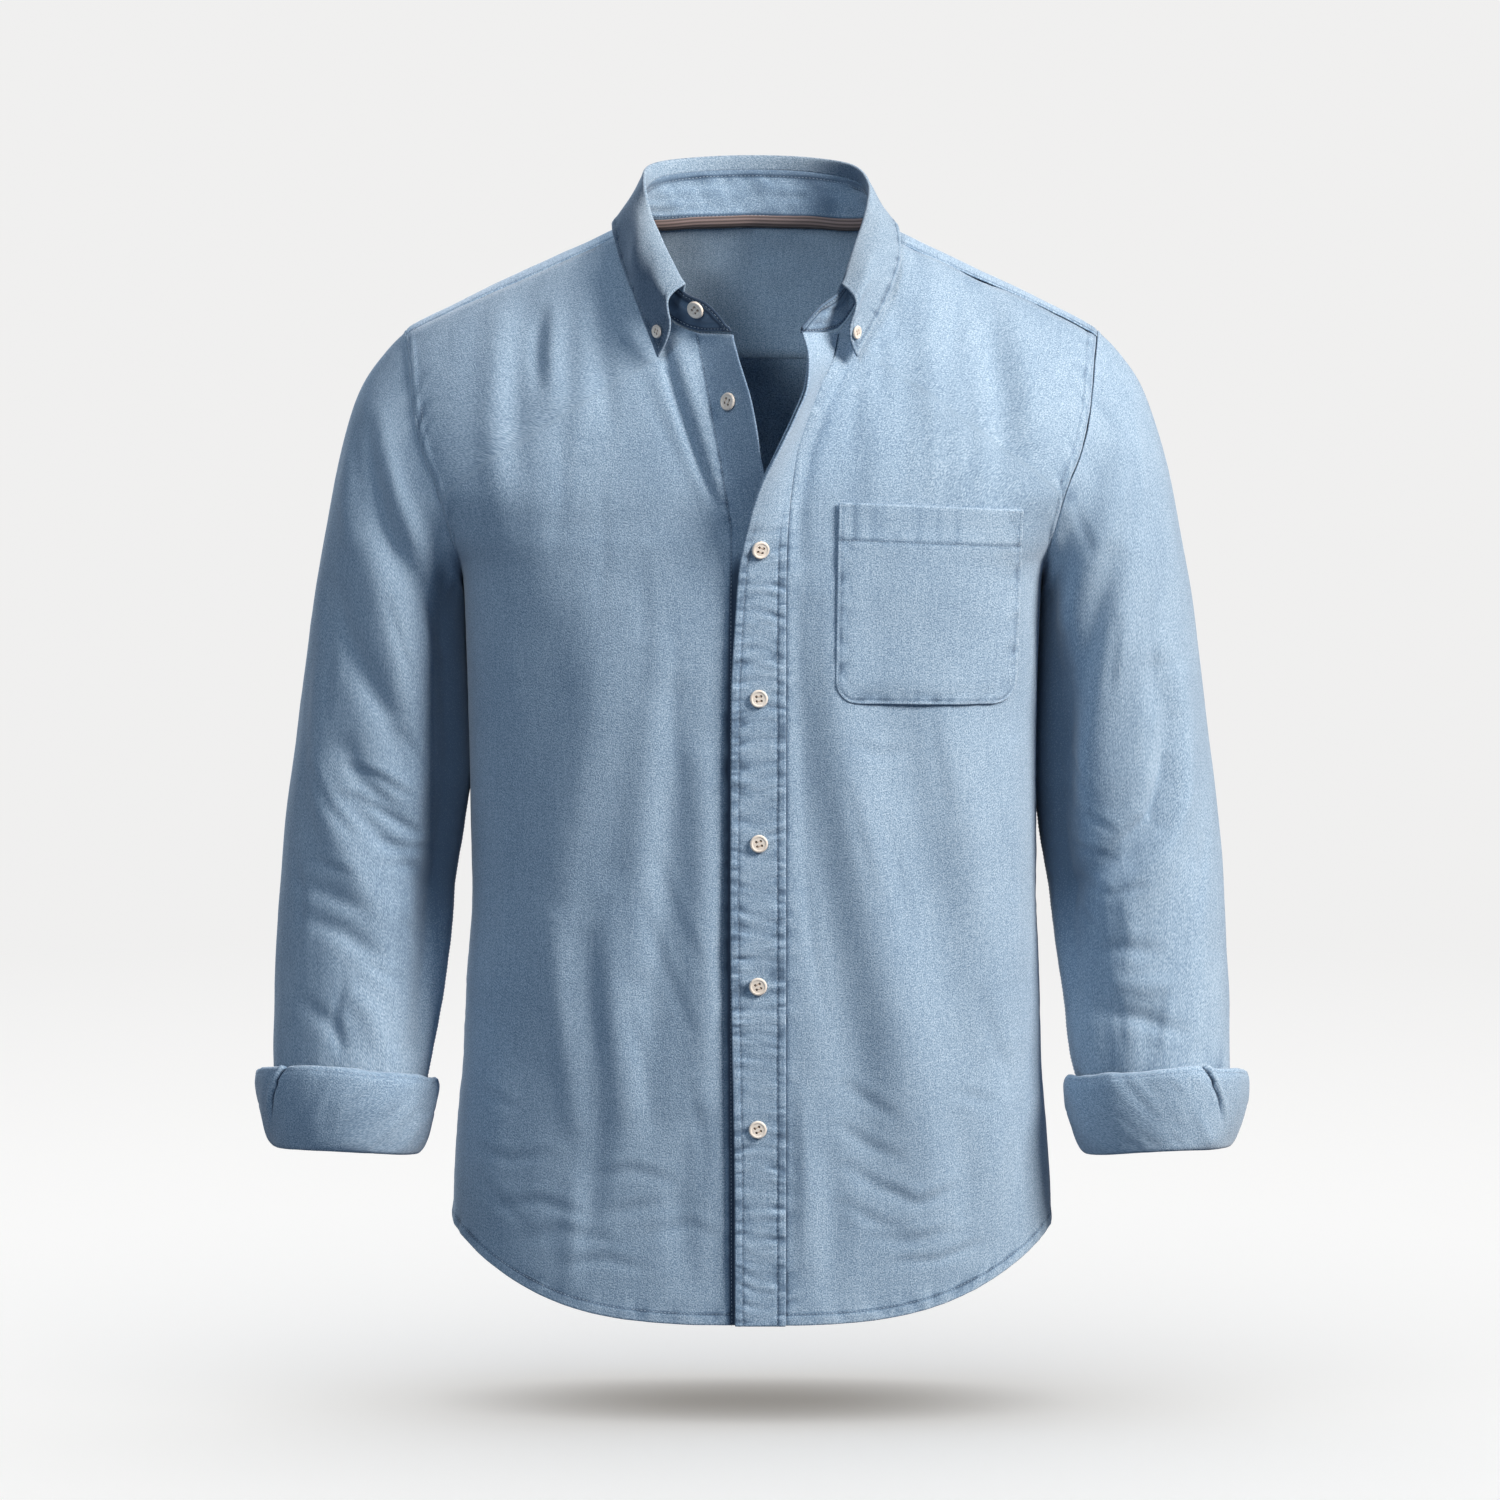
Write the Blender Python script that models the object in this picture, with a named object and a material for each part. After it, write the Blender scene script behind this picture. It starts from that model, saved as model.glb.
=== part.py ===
"""Button-down twill shirt with rolled cuffs, filled out and open at the neck.

Tables and sizes are in millimetres and the meshes are made in metres.
X runs to the wearer's left, Y to the wearer's back and Z up.  The origin is
between the two shoulder lines, where the shirt rests on whoever wears it.
"""
import math
from collections import namedtuple

import bmesh
import bpy
import numpy as np
from mathutils import Matrix, Vector
from mathutils.bvhtree import BVHTree
from mathutils.interpolate import poly_3d_calc

MM = 0.001
VIEW_Y = -400.0  # a level in front of the whole shirt

# Cloth and seams
WALL = 1.2
COLLAR_WALL = 1.8
PLACKET_WALL = 1.4
CUFF_WALL = 1.8
TAPE_WALL = 0.8
SEAM_GAP = 0.3
LAP = 2.1  # how far the left front stands off the right front that it covers
LAP_INNER = 34.0  # it stands off in full up to this x, and not at all past the next
LAP_OUTER = 80.0
SHARP_EDGE = math.radians(50)

# Torso
CAP_POWER = 1.8  # roundness of the shoulder from front to back
RIDGE_Y = 14.0  # shoulder line, behind the middle
UNDERARM_Z = -226.0
SIDE_HEM_Z = -652.0
YOKE_FRONT_TURN = 0.2  # front yoke seam, a little forward of the shoulder line
YOKE_BACK_Z = -86.0
YOKE_BACK_DROP = 6.0  # how much lower that seam ends at the armholes
HEM_DIP = 56.0  # shirt-tail curve below the side seams
HEM_POWER = 3.4
HEM_RUN = 0.3  # share of the side seam over which the hem's curve levels out
SIDE_HOLD = 4  # how near its side seam a panel is drawn out to the torso's widest line
SLOPE_START = 0.55  # share of it past which the fronts' rows turn to the shoulder's slope
BACK_SLOPE_START = 0.6

Section = namedtuple("Section", "z half front back power")
TORSO = [
    Section(60, 236, 84, 80, 2.3),
    Section(0, 238, 90, 92, 2.3),
    Section(-60, 241, 98, 99, 2.3),
    Section(-100, 243, 104, 103, 2.3),
    Section(-140, 242, 108, 106, 2.3),
    Section(-165, 236, 110, 108, 2.35),
    Section(-185, 219, 111, 109, 2.5),
    Section(-200, 204, 112, 109, 2.7),
    Section(-213, 193, 112, 109, 2.85),
    Section(-226, 189.4, 112, 109, 2.9),
    Section(-260, 187.6, 112, 108, 2.8),
    Section(-320, 186.0, 111, 106, 2.7),
    Section(-376, 185.3, 110, 104, 2.6),
    Section(-430, 185.0, 109, 102, 2.5),
    Section(-496, 188.0, 107, 101, 2.5),
    Section(-536, 189.5, 105, 101, 2.5),
    Section(-603, 194.6, 101, 99, 2.5),
    Section(-650, 196.3, 98, 97, 2.5),
    Section(-730, 197.0, 95, 95, 2.5),
]

Ridge = namedtuple("Ridge", "x z reach_front reach_back")
SHOULDER = [
    Ridge(0, 42, 190, 150),
    Ridge(40, 29, 190, 150),
    Ridge(62, 17.5, 188, 148),
    Ridge(80, 8.4, 184, 145),
    Ridge(99, -0.9, 176, 140),
    Ridge(141, -20.6, 154, 126),
    Ridge(170, -33.7, 138, 115),
    Ridge(197, -46.9, 122, 105),
    Ridge(221.5, -60.1, 108, 95),
    Ridge(236.6, -73.0, 100, 90),
    Ridge(262, -104.0, 90, 85),
]

Armhole = namedtuple("Armhole", "z x")
ARMHOLE = [
    Armhole(-64.0, 227.0),
    Armhole(-80, 224.4),
    Armhole(-110, 221.0),
    Armhole(-139, 214.6),
    Armhole(-160, 206.0),
    Armhole(-185, 198.2),
    Armhole(-211, 191.6),
    Armhole(-226, 189.4),
]

# Front edges: the strip beside each edge stands forward where the neck is open
Edge = namedtuple("Edge", "z edge_x strip_x forward")
RIGHT_EDGE = [
    Edge(-63, -12.3, -34.4, 14),
    Edge(-77, -8.4, -31.5, 17),
    Edge(-102, -0.7, -26.8, 20),
    Edge(-122, 3.2, -23.3, 19),
    Edge(-140, 5.8, -19.8, 15),
    Edge(-159, 10.5, -16.8, 8),
    Edge(-172, 14.6, -14.6, 2.5),
    Edge(-188, 18.5, -12.3, 0.0),
    Edge(-206, 22.4, -12.3, 0),
    Edge(-232, 23.3, -12.3, 0),
    Edge(-720, 23.3, -12.0, 0),
]
LEFT_EDGE = [
    Edge(-59, 31.0, 55.0, 14),
    Edge(-76.5, 34.8, 50.5, 22),
    Edge(-92, 33.5, 42.5, 29),
    Edge(-110, 26.4, 35.5, 31),
    Edge(-134, 14.8, 27.6, 30),
    Edge(-155, 4.5, 24.7, 25),
    Edge(-172, -1.3, 23.0, 18),
    Edge(-192, -5.2, 22.0, 9),
    Edge(-212, -8.4, 21.6, 4),
    Edge(-244, -10.5, 21.4, 1),
    Edge(-296, -13.0, 21.4, 0),
    Edge(-433, -13.6, 21.4, 0),
    Edge(-627, -10.8, 21.5, 0),
    Edge(-720, -10.6, 21.6, 0),
]
STRIP_CURVE = 1.2

# Neckline from the front edge strip to the yoke, in front view
Neck = namedtuple("Neck", "x z")
RIGHT_NECK = [
    Neck(-34.4, -61.4),
    Neck(-50.0, -55.5),
    Neck(-62.5, -42.0),
    Neck(-70.5, -26.0),
    Neck(-75.5, -10.5),
]
LEFT_NECK = [
    Neck(55.0, -61.5),
    Neck(64.5, -50.0),
    Neck(72.5, -34.0),
    Neck(77.5, -18.0),
    Neck(80.5, -6.0),
]
NECK_SIDE_RIGHT = -78.0
NECK_SIDE_LEFT = 82.0
# Back neckline, the same each way from its middle
BackNeck = namedtuple("BackNeck", "out z")
BACK_NECK = [
    BackNeck(0.0, 6.5),
    BackNeck(0.35, 6.0),
    BackNeck(0.62, 5.2),
    BackNeck(0.83, 4.8),
    BackNeck(0.96, 6.2),
]

# Collar stations run from the right front, round the back, to the left front.
# The seam is on the neckline; top is the fold line, belly the middle of the
# leaf and rim its outer edge.
Collar = namedtuple("Collar", "seam top_x top_y top_z belly_x belly_y belly_z rim_x rim_y rim_z")
COLLAR = [
    Collar(0.150, -43.5, -84, -30.0, -53.6, -95, -47.5, -60.6, -85.5, -76.0),
    Collar(0.205, -52.5, -70, -15.5, -66.0, -79, -28, -68.5, -75, -56.0),
    Collar(0.265, -61.0, -48, 1.5, -75.0, -57, -8, -76.5, -60, -35.5),
    Collar(0.325, -67.5, -22, 16.5, -79.0, -27, 8, -85.5, -34, -14.2),
    Collar(0.385, -70.0, 6, 34.5, -78.5, 6, 24, -91.0, 2, 7.0),
    Collar(0.440, -64.0, 34, 43.0, -72.0, 38, 28, -81.0, 41, 5.5),
    Collar(0.500, -36.0, 57, 46.5, -41.0, 64, 28, -46.0, 69, 0.5),
    Collar(0.560, 2.5, 65, 47.5, 2.5, 72, 28, 2.5, 76, 0.0),
    Collar(0.620, 40.0, 57, 46.0, 45.5, 64, 28, 50.0, 69, 0.5),
    Collar(0.680, 67.5, 34, 41.0, 76.0, 38, 27, 84.0, 41, 4.0),
    Collar(0.735, 76.0, 6, 29.5, 84.5, 6, 19, 95.0, 1, 5.5),
    Collar(0.790, 73.5, -22, 11.0, 88.0, -27, 3, 96.0, -30, -15.5),
    Collar(0.845, 67.0, -48, -6.0, 83.0, -56, -14, 89.5, -53, -34.5),
    Collar(0.895, 62.0, -68, -19.0, 76.0, -78, -28.5, 79.5, -70, -54.2),
    Collar(0.935, 57.0, -82, -31.0, 65.0, -95, -49.5, 67.3, -84.5, -76.0),
]
# Ends of the stand, in front of the leaf, with rounded corners
StandEnd = namedtuple("StandEnd", "seam top_x top_y top_z")
STAND_RIGHT_END = [
    StandEnd(0.0, -14.5, -94, -57.5),
    StandEnd(0.04, -19.0, -94, -48.5),
    StandEnd(0.095, -29.5, -91, -37.5),
]
STAND_LEFT_END = [
    StandEnd(0.970, 44.5, -93, -40.0),
    StandEnd(1.0, 33.2, -96, -52.5),
]
STAND_TOP_GAP = 3.8  # the stand ends this far under the fold
LEAN_LEAST = 0.35
LEAF_START = 4  # neckline points left bare at the stand's right end
LEAF_END = 2
LEAF_SWING = 4.0  # each point's front edge swings out, then in
LEAF_SWING_RUN = 4  # neckline points over which that dies away
LEAF_FOOT = 1.5
LEAF_CROWN = 1.5
LEAF_TURN = 2.2
NECK_MIDDLE = np.array([2.0, 0.0, 0.0])
TAPE_RISE = 4.5
TAPE_EASE = 0.9  # stands off the band, which is twisted at its corners
TAPE_FALL = 5.0
TAPE_INSET = 3  # yoke rays left bare at each end of the tape

# Sleeves: sections from the armhole to the rolled cuff
Sleeve = namedtuple("Sleeve", "outer_x outer_z inner_x inner_z middle_y front back tilt")
SLEEVE = [
    Sleeve(227.0, -64.0, 189.4, -226.0, 6, 68, 66, 0),
    Sleeve(240.5, -78.0, 191.6, -232.0, 6, 67, 66, 0),
    Sleeve(255.0, -99.5, 191.8, -239.0, 6, 66, 66, 0),
    Sleeve(266.5, -132.0, 191.6, -249.0, 6, 66, 66, 0),
    Sleeve(277.4, -178.0, 191.2, -268.0, 6, 65, 65, 0),
    Sleeve(287.2, -231.0, 190.6, -290.0, 6, 64, 64, 0),
    Sleeve(295.0, -284.0, 190.0, -318.0, 6, 63, 63, 0),
    Sleeve(301.2, -337.0, 189.6, -352.0, 6, 62, 62, 0),
    Sleeve(306.4, -380.0, 190.8, -388.0, 5, 61, 61, 0.02),
    Sleeve(309.6, -420.0, 196.4, -424.0, 1, 60, 60, 0.06),
    Sleeve(312.2, -458.0, 200.0, -460.0, -5, 58, 58, 0.11),
    Sleeve(314.0, -495.0, 204.8, -496.0, -11, 56, 56, 0.15),
    Sleeve(314.6, -530.0, 209.6, -530.0, -17, 54, 54, 0.17),
    Sleeve(315.2, -561.9, 217.5, -566.7, -23, 51, 51, 0.17),
]
SMALL_TURN = 0.0001  # keeps the first point of each ring on the front's side
SLEEVE_LOW = 0.6  # share of a half turn past which the head clears the underarm
HEAD_CLEAR = 0.12  # shares of the length kept free of folds at its two ends
END_CLEAR = 0.07
SLEEVE_SET = 1.0  # the sleeve head starts this far outside the armhole's edge
FOLD_FACING = (0.15, 0.5)  # how far a sleeve's face turns to a view before its folds act
HEAD_SECTIONS = 4  # sections over which the armhole's own shape fades out

# Rolled cuff: profile of the turned-up band, inside first
CuffRow = namedtuple("CuffRow", "half_x half_y along")
CUFF = [
    CuffRow(48.6, 50.6, 12.6),
    CuffRow(46.2, 48.6, 28.0),
    CuffRow(44.0, 46.6, 42.5),
    CuffRow(45.4, 47.8, 48.0),
    CuffRow(48.4, 50.4, 46.5),
    CuffRow(52.8, 54.4, 37.0),
    CuffRow(57.6, 58.2, 23.0),
    CuffRow(60.0, 60.2, 9.0),
    CuffRow(59.6, 59.6, 2.0),
    CuffRow(57.6, 57.6, 0.0),
]
CUFF_OUTSIDE = (4, 7)  # rows over which the profile becomes the outer layer
CUFF_TOP = (266.6, -22.0, -552.5)
CUFF_FALL = (1.0, -7.5, -47.5)  # from the top middle to the bottom middle
CUFF_TILT_X = 0.05
CUFF_TILT_Y = 0.17
CUFF_LAP = 2.6  # step where the band's end laps over its start
CUFF_LAP_ANGLE = 34.0
CUFF_LAP_SLANT = 16.0
CUFF_LAP_RUN = 70.0

# Pocket
POCKET_TOP_LEFT = (56.2, -168.9)
POCKET_TOP_RIGHT = (175.0, -175.1)
POCKET_BOTTOM_LEFT = (53.4, -298.2)
POCKET_BOTTOM_RIGHT = (170.6, -302.0)
POCKET_CORNER = 14.0
POCKET_HEIGHT = 127.0
POCKET_ROWS = [0.0, 1.5, 4.5, 9.0, 14.0]
POCKET_COLUMNS = 12
POCKET_EASE = 0.35  # more than a seam's gap, over the curve of the panel
POCKET_BODY_ROWS = 8

# Buttons
BUTTON_RADIUS = 5.9
COLLAR_BUTTON_RADIUS = 4.4
BUTTON_HEIGHT = 2.4
BUTTON_SIDES = 16
BUTTON_SHARP_EDGE = math.radians(40)
BUTTON_SEAT = 0.45  # the thread's gap under a button
ButtonRow = namedtuple("ButtonRow", "radius height")
BUTTON_PROFILE = [
    ButtonRow(0.80, 0.00),
    ButtonRow(1.00, 0.36),
    ButtonRow(0.92, 0.98),
    ButtonRow(0.72, 0.96),
    ButtonRow(0.60, 0.66),
]
PLACKET_BUTTONS = [(5.2, -198.6), (4.5, -295.4), (4.5, -390.0), (4.0, -483.4), (3.7, -577.8)]
STAND_BUTTON = (-36.0, -44.8)
STAND_BUTTON_EASE = 0.5  # the stand curves under this button
OPEN_BUTTON = (-14.9, -103.6)
COLLAR_BUTTON_RIGHT = (-60.8, -59.3)
COLLAR_BUTTON_LEFT = (67.2, -60.0)

# Folds: troughs (depth > 0) and ridges (depth < 0), each along a line in the
# front or back view, dying away at both ends
FOLD_END = 0.12
FOLD_FADE = 0.8
Fold = namedtuple("Fold", "x0 z0 x1 z1 width depth")
FRONT_RIGHT_FOLDS = [
    Fold(-52, -88, -25, -182, 9, 7.0),
    Fold(-38, -95, -20, -150, 7, -3.0),
    Fold(-140, -62, -136, -112, 9, 3.5),
    Fold(-132, -62, -129, -100, 7, -3.0),
    Fold(-170, -190, -120, -420, 26, 4.0),
    Fold(-108, -270, -128, -420, 20, -3.5),
    Fold(-62, -240, -74, -560, 24, 3.0),
    Fold(-118, -470, -126, -560, 13, 3.5),
    Fold(-150, -430, -160, -640, 20, -3.0),
    Fold(-95, -590, -110, -665, 15, 3.0),
    Fold(-50, -560, -44, -680, 18, -2.5),
]
FRONT_LEFT_FOLDS = [
    Fold(62, -84, 40, -165, 10, 6.0),
    Fold(56, -100, 60, -150, 9, -3.0),
    Fold(150, -45, 160, -135, 12, 4.0),
    Fold(172, -60, 178, -150, 10, -3.0),
    Fold(110, -50, 112, -130, 12, 2.5),
    Fold(70, -330, 120, -610, 22, 3.5),
    Fold(100, -320, 150, -600, 24, -4.0),
    Fold(165, -330, 160, -520, 18, 3.0),
    Fold(60, -620, 140, -655, 10, 3.0),
    Fold(45, -590, 120, -632, 9, -2.5),
    Fold(40, -430, 52, -560, 18, -2.5),
]
BACK_FOLDS = [
    Fold(-118, -120, -100, -330, 20, 4.0),
    Fold(120, -118, 98, -340, 22, 4.0),
    Fold(-70, -300, -84, -560, 24, -3.5),
    Fold(66, -280, 80, -590, 24, 3.5),
    Fold(150, -330, 138, -560, 20, -3.5),
    Fold(-152, -320, -140, -600, 20, 3.5),
    Fold(-20, -420, 24, -650, 26, 3.0),
    Fold(100, -560, 112, -670, 16, -2.5),
]
BACK_FOLD_START = 34.0  # below the yoke seam
PLEAT_START = 14.0
PLEAT_HALF = 18.0
PLEAT_TURN = 4.0
PLEAT_RISE = 3.0
PLEAT_END_Z = -330.0
SLEEVE_RIGHT_FOLDS = [
    Fold(-252, -205, -228, -310, 12, -5.0),
    Fold(-236, -215, -212, -300, 10, 5.0),
    Fold(-276, -260, -270, -385, 14, -4.5),
    Fold(-270, -385, -232, -440, 12, -4.0),
    Fold(-262, -300, -240, -395, 14, 6.0),
    Fold(-258, -362, -216, -382, 8, 5.0),
    Fold(-250, -396, -212, -408, 8, 5.0),
    Fold(-292, -410, -286, -520, 14, 3.0),
    Fold(-240, -455, -246, -535, 11, 3.5),
]
SLEEVE_LEFT_FOLDS = [
    Fold(266, -280, 273, -352, 12, 6.5),
    Fold(273, -352, 234, -430, 12, 6.0),
    Fold(205, -275, 208, -345, 9, 5.0),
    Fold(219, -295, 217, -355, 9, 5.0),
    Fold(232, -250, 226, -290, 9, 4.0),
    Fold(286, -260, 292, -380, 13, -4.0),
    Fold(246, -300, 244, -370, 12, -4.0),
    Fold(214, -185, 228, -222, 9, 4.0),
    Fold(262, -440, 256, -530, 12, 3.5),
    Fold(290, -420, 286, -520, 12, -3.0),
]
SLEEVE_BACK_FOLDS = [
    Fold(226, -200, 250, -300, 13, 5.0),
    Fold(262, -230, 280, -330, 13, -4.0),
    Fold(205, -372, 262, -398, 9, 5.0),
    Fold(210, -402, 258, -420, 9, 4.5),
    Fold(284, -400, 276, -510, 13, 3.5),
    Fold(240, -450, 246, -530, 12, -3.0),
]

# Mesh fineness, and where the fronts' rows meet their inner and outer edges
LOWER_INNER = 0.67
LOWER_OUTER = 0.56
CORNER_OUTER = 0.82
FRONT_COLUMNS = 14
STRIP_COLUMNS = 3
LOWER_ROWS = 10
UPPER_ROWS = 12
FRONT_ROWS = LOWER_ROWS + UPPER_ROWS
NECK_ROWS = 6
BACK_COLUMNS = 22
BACK_ROWS = 20
YOKE_RAYS = 24
YOKE_STEPS = 6
ARMHOLE_RAYS = 0.42  # share of each side's rays that end on the armhole
TURN_LENGTH = 90.0  # about how far a full turn is at the neck, to space the rays
SLEEVE_SIDES = 22
SLEEVE_RINGS = 19
CUFF_SIDES = 28
LEAF_STEPS = 5
STAND_RISE_STEPS = 2


def hermite(t, start, end, leave, arrive):
    """A smooth step from start to end with the two slopes given."""
    return ((1 + 2 * t) * (1 - t) ** 2 * start + t * (1 - t) ** 2 * leave
            + t * t * (3 - 2 * t) * end + t * t * (t - 1) * arrive)


def smooth_table(rows, key, value):
    """Read one column of a table against another, without overshoot."""
    ordered = sorted(rows, key=lambda row: getattr(row, key))
    keys = np.array([getattr(row, key) for row in ordered], float)
    values = np.array([getattr(row, value) for row in ordered], float)
    steps = np.diff(keys)
    slopes = np.diff(values) / steps
    tangents = np.empty_like(values)
    tangents[0] = slopes[0]
    tangents[-1] = slopes[-1]
    before = slopes[:-1]
    after = slopes[1:]
    agree = before * after > 0
    total = np.where(agree, before + after, 1.0)
    tangents[1:-1] = np.where(agree, 2 * before * after / total, 0.0)

    def read(at):
        at = np.clip(np.asarray(at, float), keys[0], keys[-1])
        cell = np.clip(np.searchsorted(keys, at, side="right") - 1, 0, len(steps) - 1)
        t = (at - keys[cell]) / steps[cell]
        return hermite(t, values[cell], values[cell + 1], steps[cell] * tangents[cell],
                       steps[cell] * tangents[cell + 1])

    return read


def even_curve(rows, places):
    """Points on a smooth curve through rows, at places from 0 to 1 of its length."""
    points = np.array(rows, float)
    padded = np.vstack([2 * points[0] - points[1], points, 2 * points[-1] - points[-2]])
    fine = []
    for i in range(len(points) - 1):
        a, b, c, d = padded[i:i + 4]
        for t in np.linspace(0, 1, 16, endpoint=False):
            fine.append(0.5 * (2 * b + (c - a) * t + (2 * a - 5 * b + 4 * c - d) * t ** 2
                               + (3 * b - a - 3 * c + d) * t ** 3))
    fine.append(points[-1])
    fine = np.array(fine)
    run = np.concatenate([[0.0], np.cumsum(np.linalg.norm(np.diff(fine, axis=0), axis=1))])
    run /= run[-1]
    return np.column_stack([np.interp(places, run, fine[:, i]) for i in range(fine.shape[1])])


def blend(low, high, at):
    """0 at low, 1 at high, with an eased run between them."""
    t = np.clip((np.asarray(at, float) - low) / (high - low), 0, 1)
    return t * t * (3 - 2 * t)


torso_half = smooth_table(TORSO, "z", "half")
torso_front = smooth_table(TORSO, "z", "front")
torso_back = smooth_table(TORSO, "z", "back")
torso_power = smooth_table(TORSO, "z", "power")
ridge_z = smooth_table(SHOULDER, "x", "z")
reach_front = smooth_table(SHOULDER, "x", "reach_front")
reach_back = smooth_table(SHOULDER, "x", "reach_back")
armhole_x = smooth_table(ARMHOLE, "z", "x")


def section_y(x, z, face):
    """Depth of the level section at height z, toward the front (-1) or back (1)."""
    across = np.clip(np.abs(x) / torso_half(z), 0, 1)
    depth = np.where(face < 0, torso_front(z), torso_back(z))
    power = torso_power(z)
    return face * depth * (1 - across ** power) ** (1 / power)


def reach(x, face):
    return np.where(face < 0, reach_front(np.abs(x)), reach_back(np.abs(x)))


def turn_at(x, z, face):
    """How far round the shoulder a point is: 0 on its line, 1 on the chest or back."""
    drop = np.clip((ridge_z(np.abs(x)) - z) / reach(x, face), 0, 1)
    return (1 - (1 - drop) ** CAP_POWER) ** (1 / CAP_POWER)


def torso(x, z, face):
    """Points of the body surface from the front view or the back view."""
    x, z = np.broadcast_arrays(np.asarray(x, float), np.asarray(z, float))
    turn = turn_at(x, z, face)
    return np.stack([x, RIDGE_Y + turn * (section_y(x, z, face) - RIDGE_Y), z], -1)


def over_shoulder(x, turn):
    """Points of the body surface by their signed turn round the shoulder line."""
    face = np.where(turn < 0, -1, 1)
    drop = 1 - (1 - np.abs(turn) ** CAP_POWER) ** (1 / CAP_POWER)
    z = ridge_z(np.abs(x)) - reach(x, face) * drop
    y = RIDGE_Y + np.abs(turn) * (section_y(x, z, face) - RIDGE_Y)
    return np.stack([x, y, z], -1)


def hem_z(x):
    across = np.clip(np.abs(x) / torso_half(SIDE_HEM_Z), 0, 1)
    return SIDE_HEM_Z - HEM_DIP * (1 - across ** HEM_POWER)


def seam_top(side, face):
    """Where the yoke's seam on this face meets the armhole."""
    if face > 0:
        z = YOKE_BACK_Z - YOKE_BACK_DROP
        return armhole_x(z), z
    x = float(armhole_x(ARMHOLE[0].z))
    z = float(over_shoulder(np.array(x), np.array(-YOKE_FRONT_TURN))[2])
    return float(armhole_x(z)), z


def grid_quads(rows, columns, start=0, closed=False):
    quads = []
    for j in range(rows - 1):
        for i in range(columns if closed else columns - 1):
            k = (i + 1) % columns
            quads.append((start + j * columns + i, start + j * columns + k,
                          start + (j + 1) * columns + k, start + (j + 1) * columns + i))
    return quads


def point_normals(points, quads):
    normals = np.zeros_like(points)
    for quad in quads:
        corners = [points[i] for i in quad]
        normal = np.cross(corners[2] - corners[0], corners[-1] - corners[1])
        for i in quad:
            normals[i] += normal
    return normals / np.linalg.norm(normals, axis=1)[:, None]


def facing(points, quads, middle):
    """Order the quads so that they face away from the middle line given."""
    normals = point_normals(points, quads)
    if np.sum(normals * (points - middle)) < 0:
        return [quad[::-1] for quad in quads]
    return quads


def pressed(points, normals, folds, seen):
    """Move the points in along their normals at each trough, and out at each ridge."""
    shift = np.zeros(len(points))
    flat = points[:, [0, 2]]
    for fold in folds:
        start = np.array([fold.x0, fold.z0], float)
        run = np.array([fold.x1, fold.z1], float) - start
        along = np.clip((flat - start) @ run / (run @ run), 0, 1)
        away = np.linalg.norm(flat - start - along[:, None] * run, axis=1)
        fade = np.sin(np.pi * (FOLD_END + (1 - 2 * FOLD_END) * along)) ** FOLD_FADE
        shift -= fold.depth * fade * np.exp(-(away / fold.width) ** 2)
    return points + normals * (shift * seen)[:, None]


def cloth(name, points, quads, wall, material, lift=0.0, normals=None):
    """Close a sheet into a wall of even thickness, its edges shut."""
    if normals is None:
        normals = point_normals(points, quads)
    outer = points + normals * (lift + wall / 2)
    inner = points + normals * (lift - wall / 2)
    count = len(points)
    faces = []
    edges = {}
    for a, b, c, d in quads:
        faces += [(a, b, c), (a, c, d)]
        faces += [(count + a, count + c, count + b), (count + a, count + d, count + c)]
        for edge in ((a, b), (b, c), (c, d), (d, a)):
            edges[edge] = edges.get(edge, 0) + 1
    for a, b in edges:
        if (b, a) not in edges:
            faces += [(b, a, count + a), (b, count + a, count + b)]
    mesh = bpy.data.meshes.new(name)
    used = sorted({i for face in faces for i in face})
    place = {old: new for new, old in enumerate(used)}
    vertices = np.vstack([outer, inner])[used] * MM
    mesh.from_pydata(vertices.tolist(), [], [tuple(place[i] for i in face) for face in faces])
    mesh.materials.append(material)
    mesh.shade_smooth()
    mesh.set_sharp_from_angle(angle=SHARP_EDGE)
    return add_object(name, mesh)


def add_object(name, mesh):
    piece = bpy.data.objects.new(name, mesh)
    bpy.context.scene.collection.objects.link(piece)
    return piece


def finish(name, colour, roughness):
    material = bpy.data.materials.new(name)
    material.use_nodes = True
    shader = material.node_tree.nodes["Principled BSDF"]
    shader.inputs["Base Color"].default_value = (*colour, 1)
    shader.inputs["Roughness"].default_value = roughness
    shader.inputs["Metallic"].default_value = 0.0
    material.diffuse_color = (*colour, 1)
    return material


def strip_points(side, z, place):
    """Points of the strip beside a front edge; place runs from its seam (0) to the edge (1)."""
    rows = LEFT_EDGE if side > 0 else RIGHT_EDGE
    seam_x = smooth_table(rows, "z", "strip_x")(z)
    edge_x = smooth_table(rows, "z", "edge_x")(z)
    forward = smooth_table(rows, "z", "forward")(z)
    points = torso(seam_x + place * (edge_x - seam_x), z, -1)
    points[..., 1] -= forward * place ** STRIP_CURVE
    return points


def lap_lift(side, points):
    """The left front stands off the right front where it covers it."""
    if side < 0:
        return points
    lifted = points.copy()
    lifted[..., 1] -= LAP * (1 - blend(LAP_INNER, LAP_OUTER, points[..., 0]))
    return lifted


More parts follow.
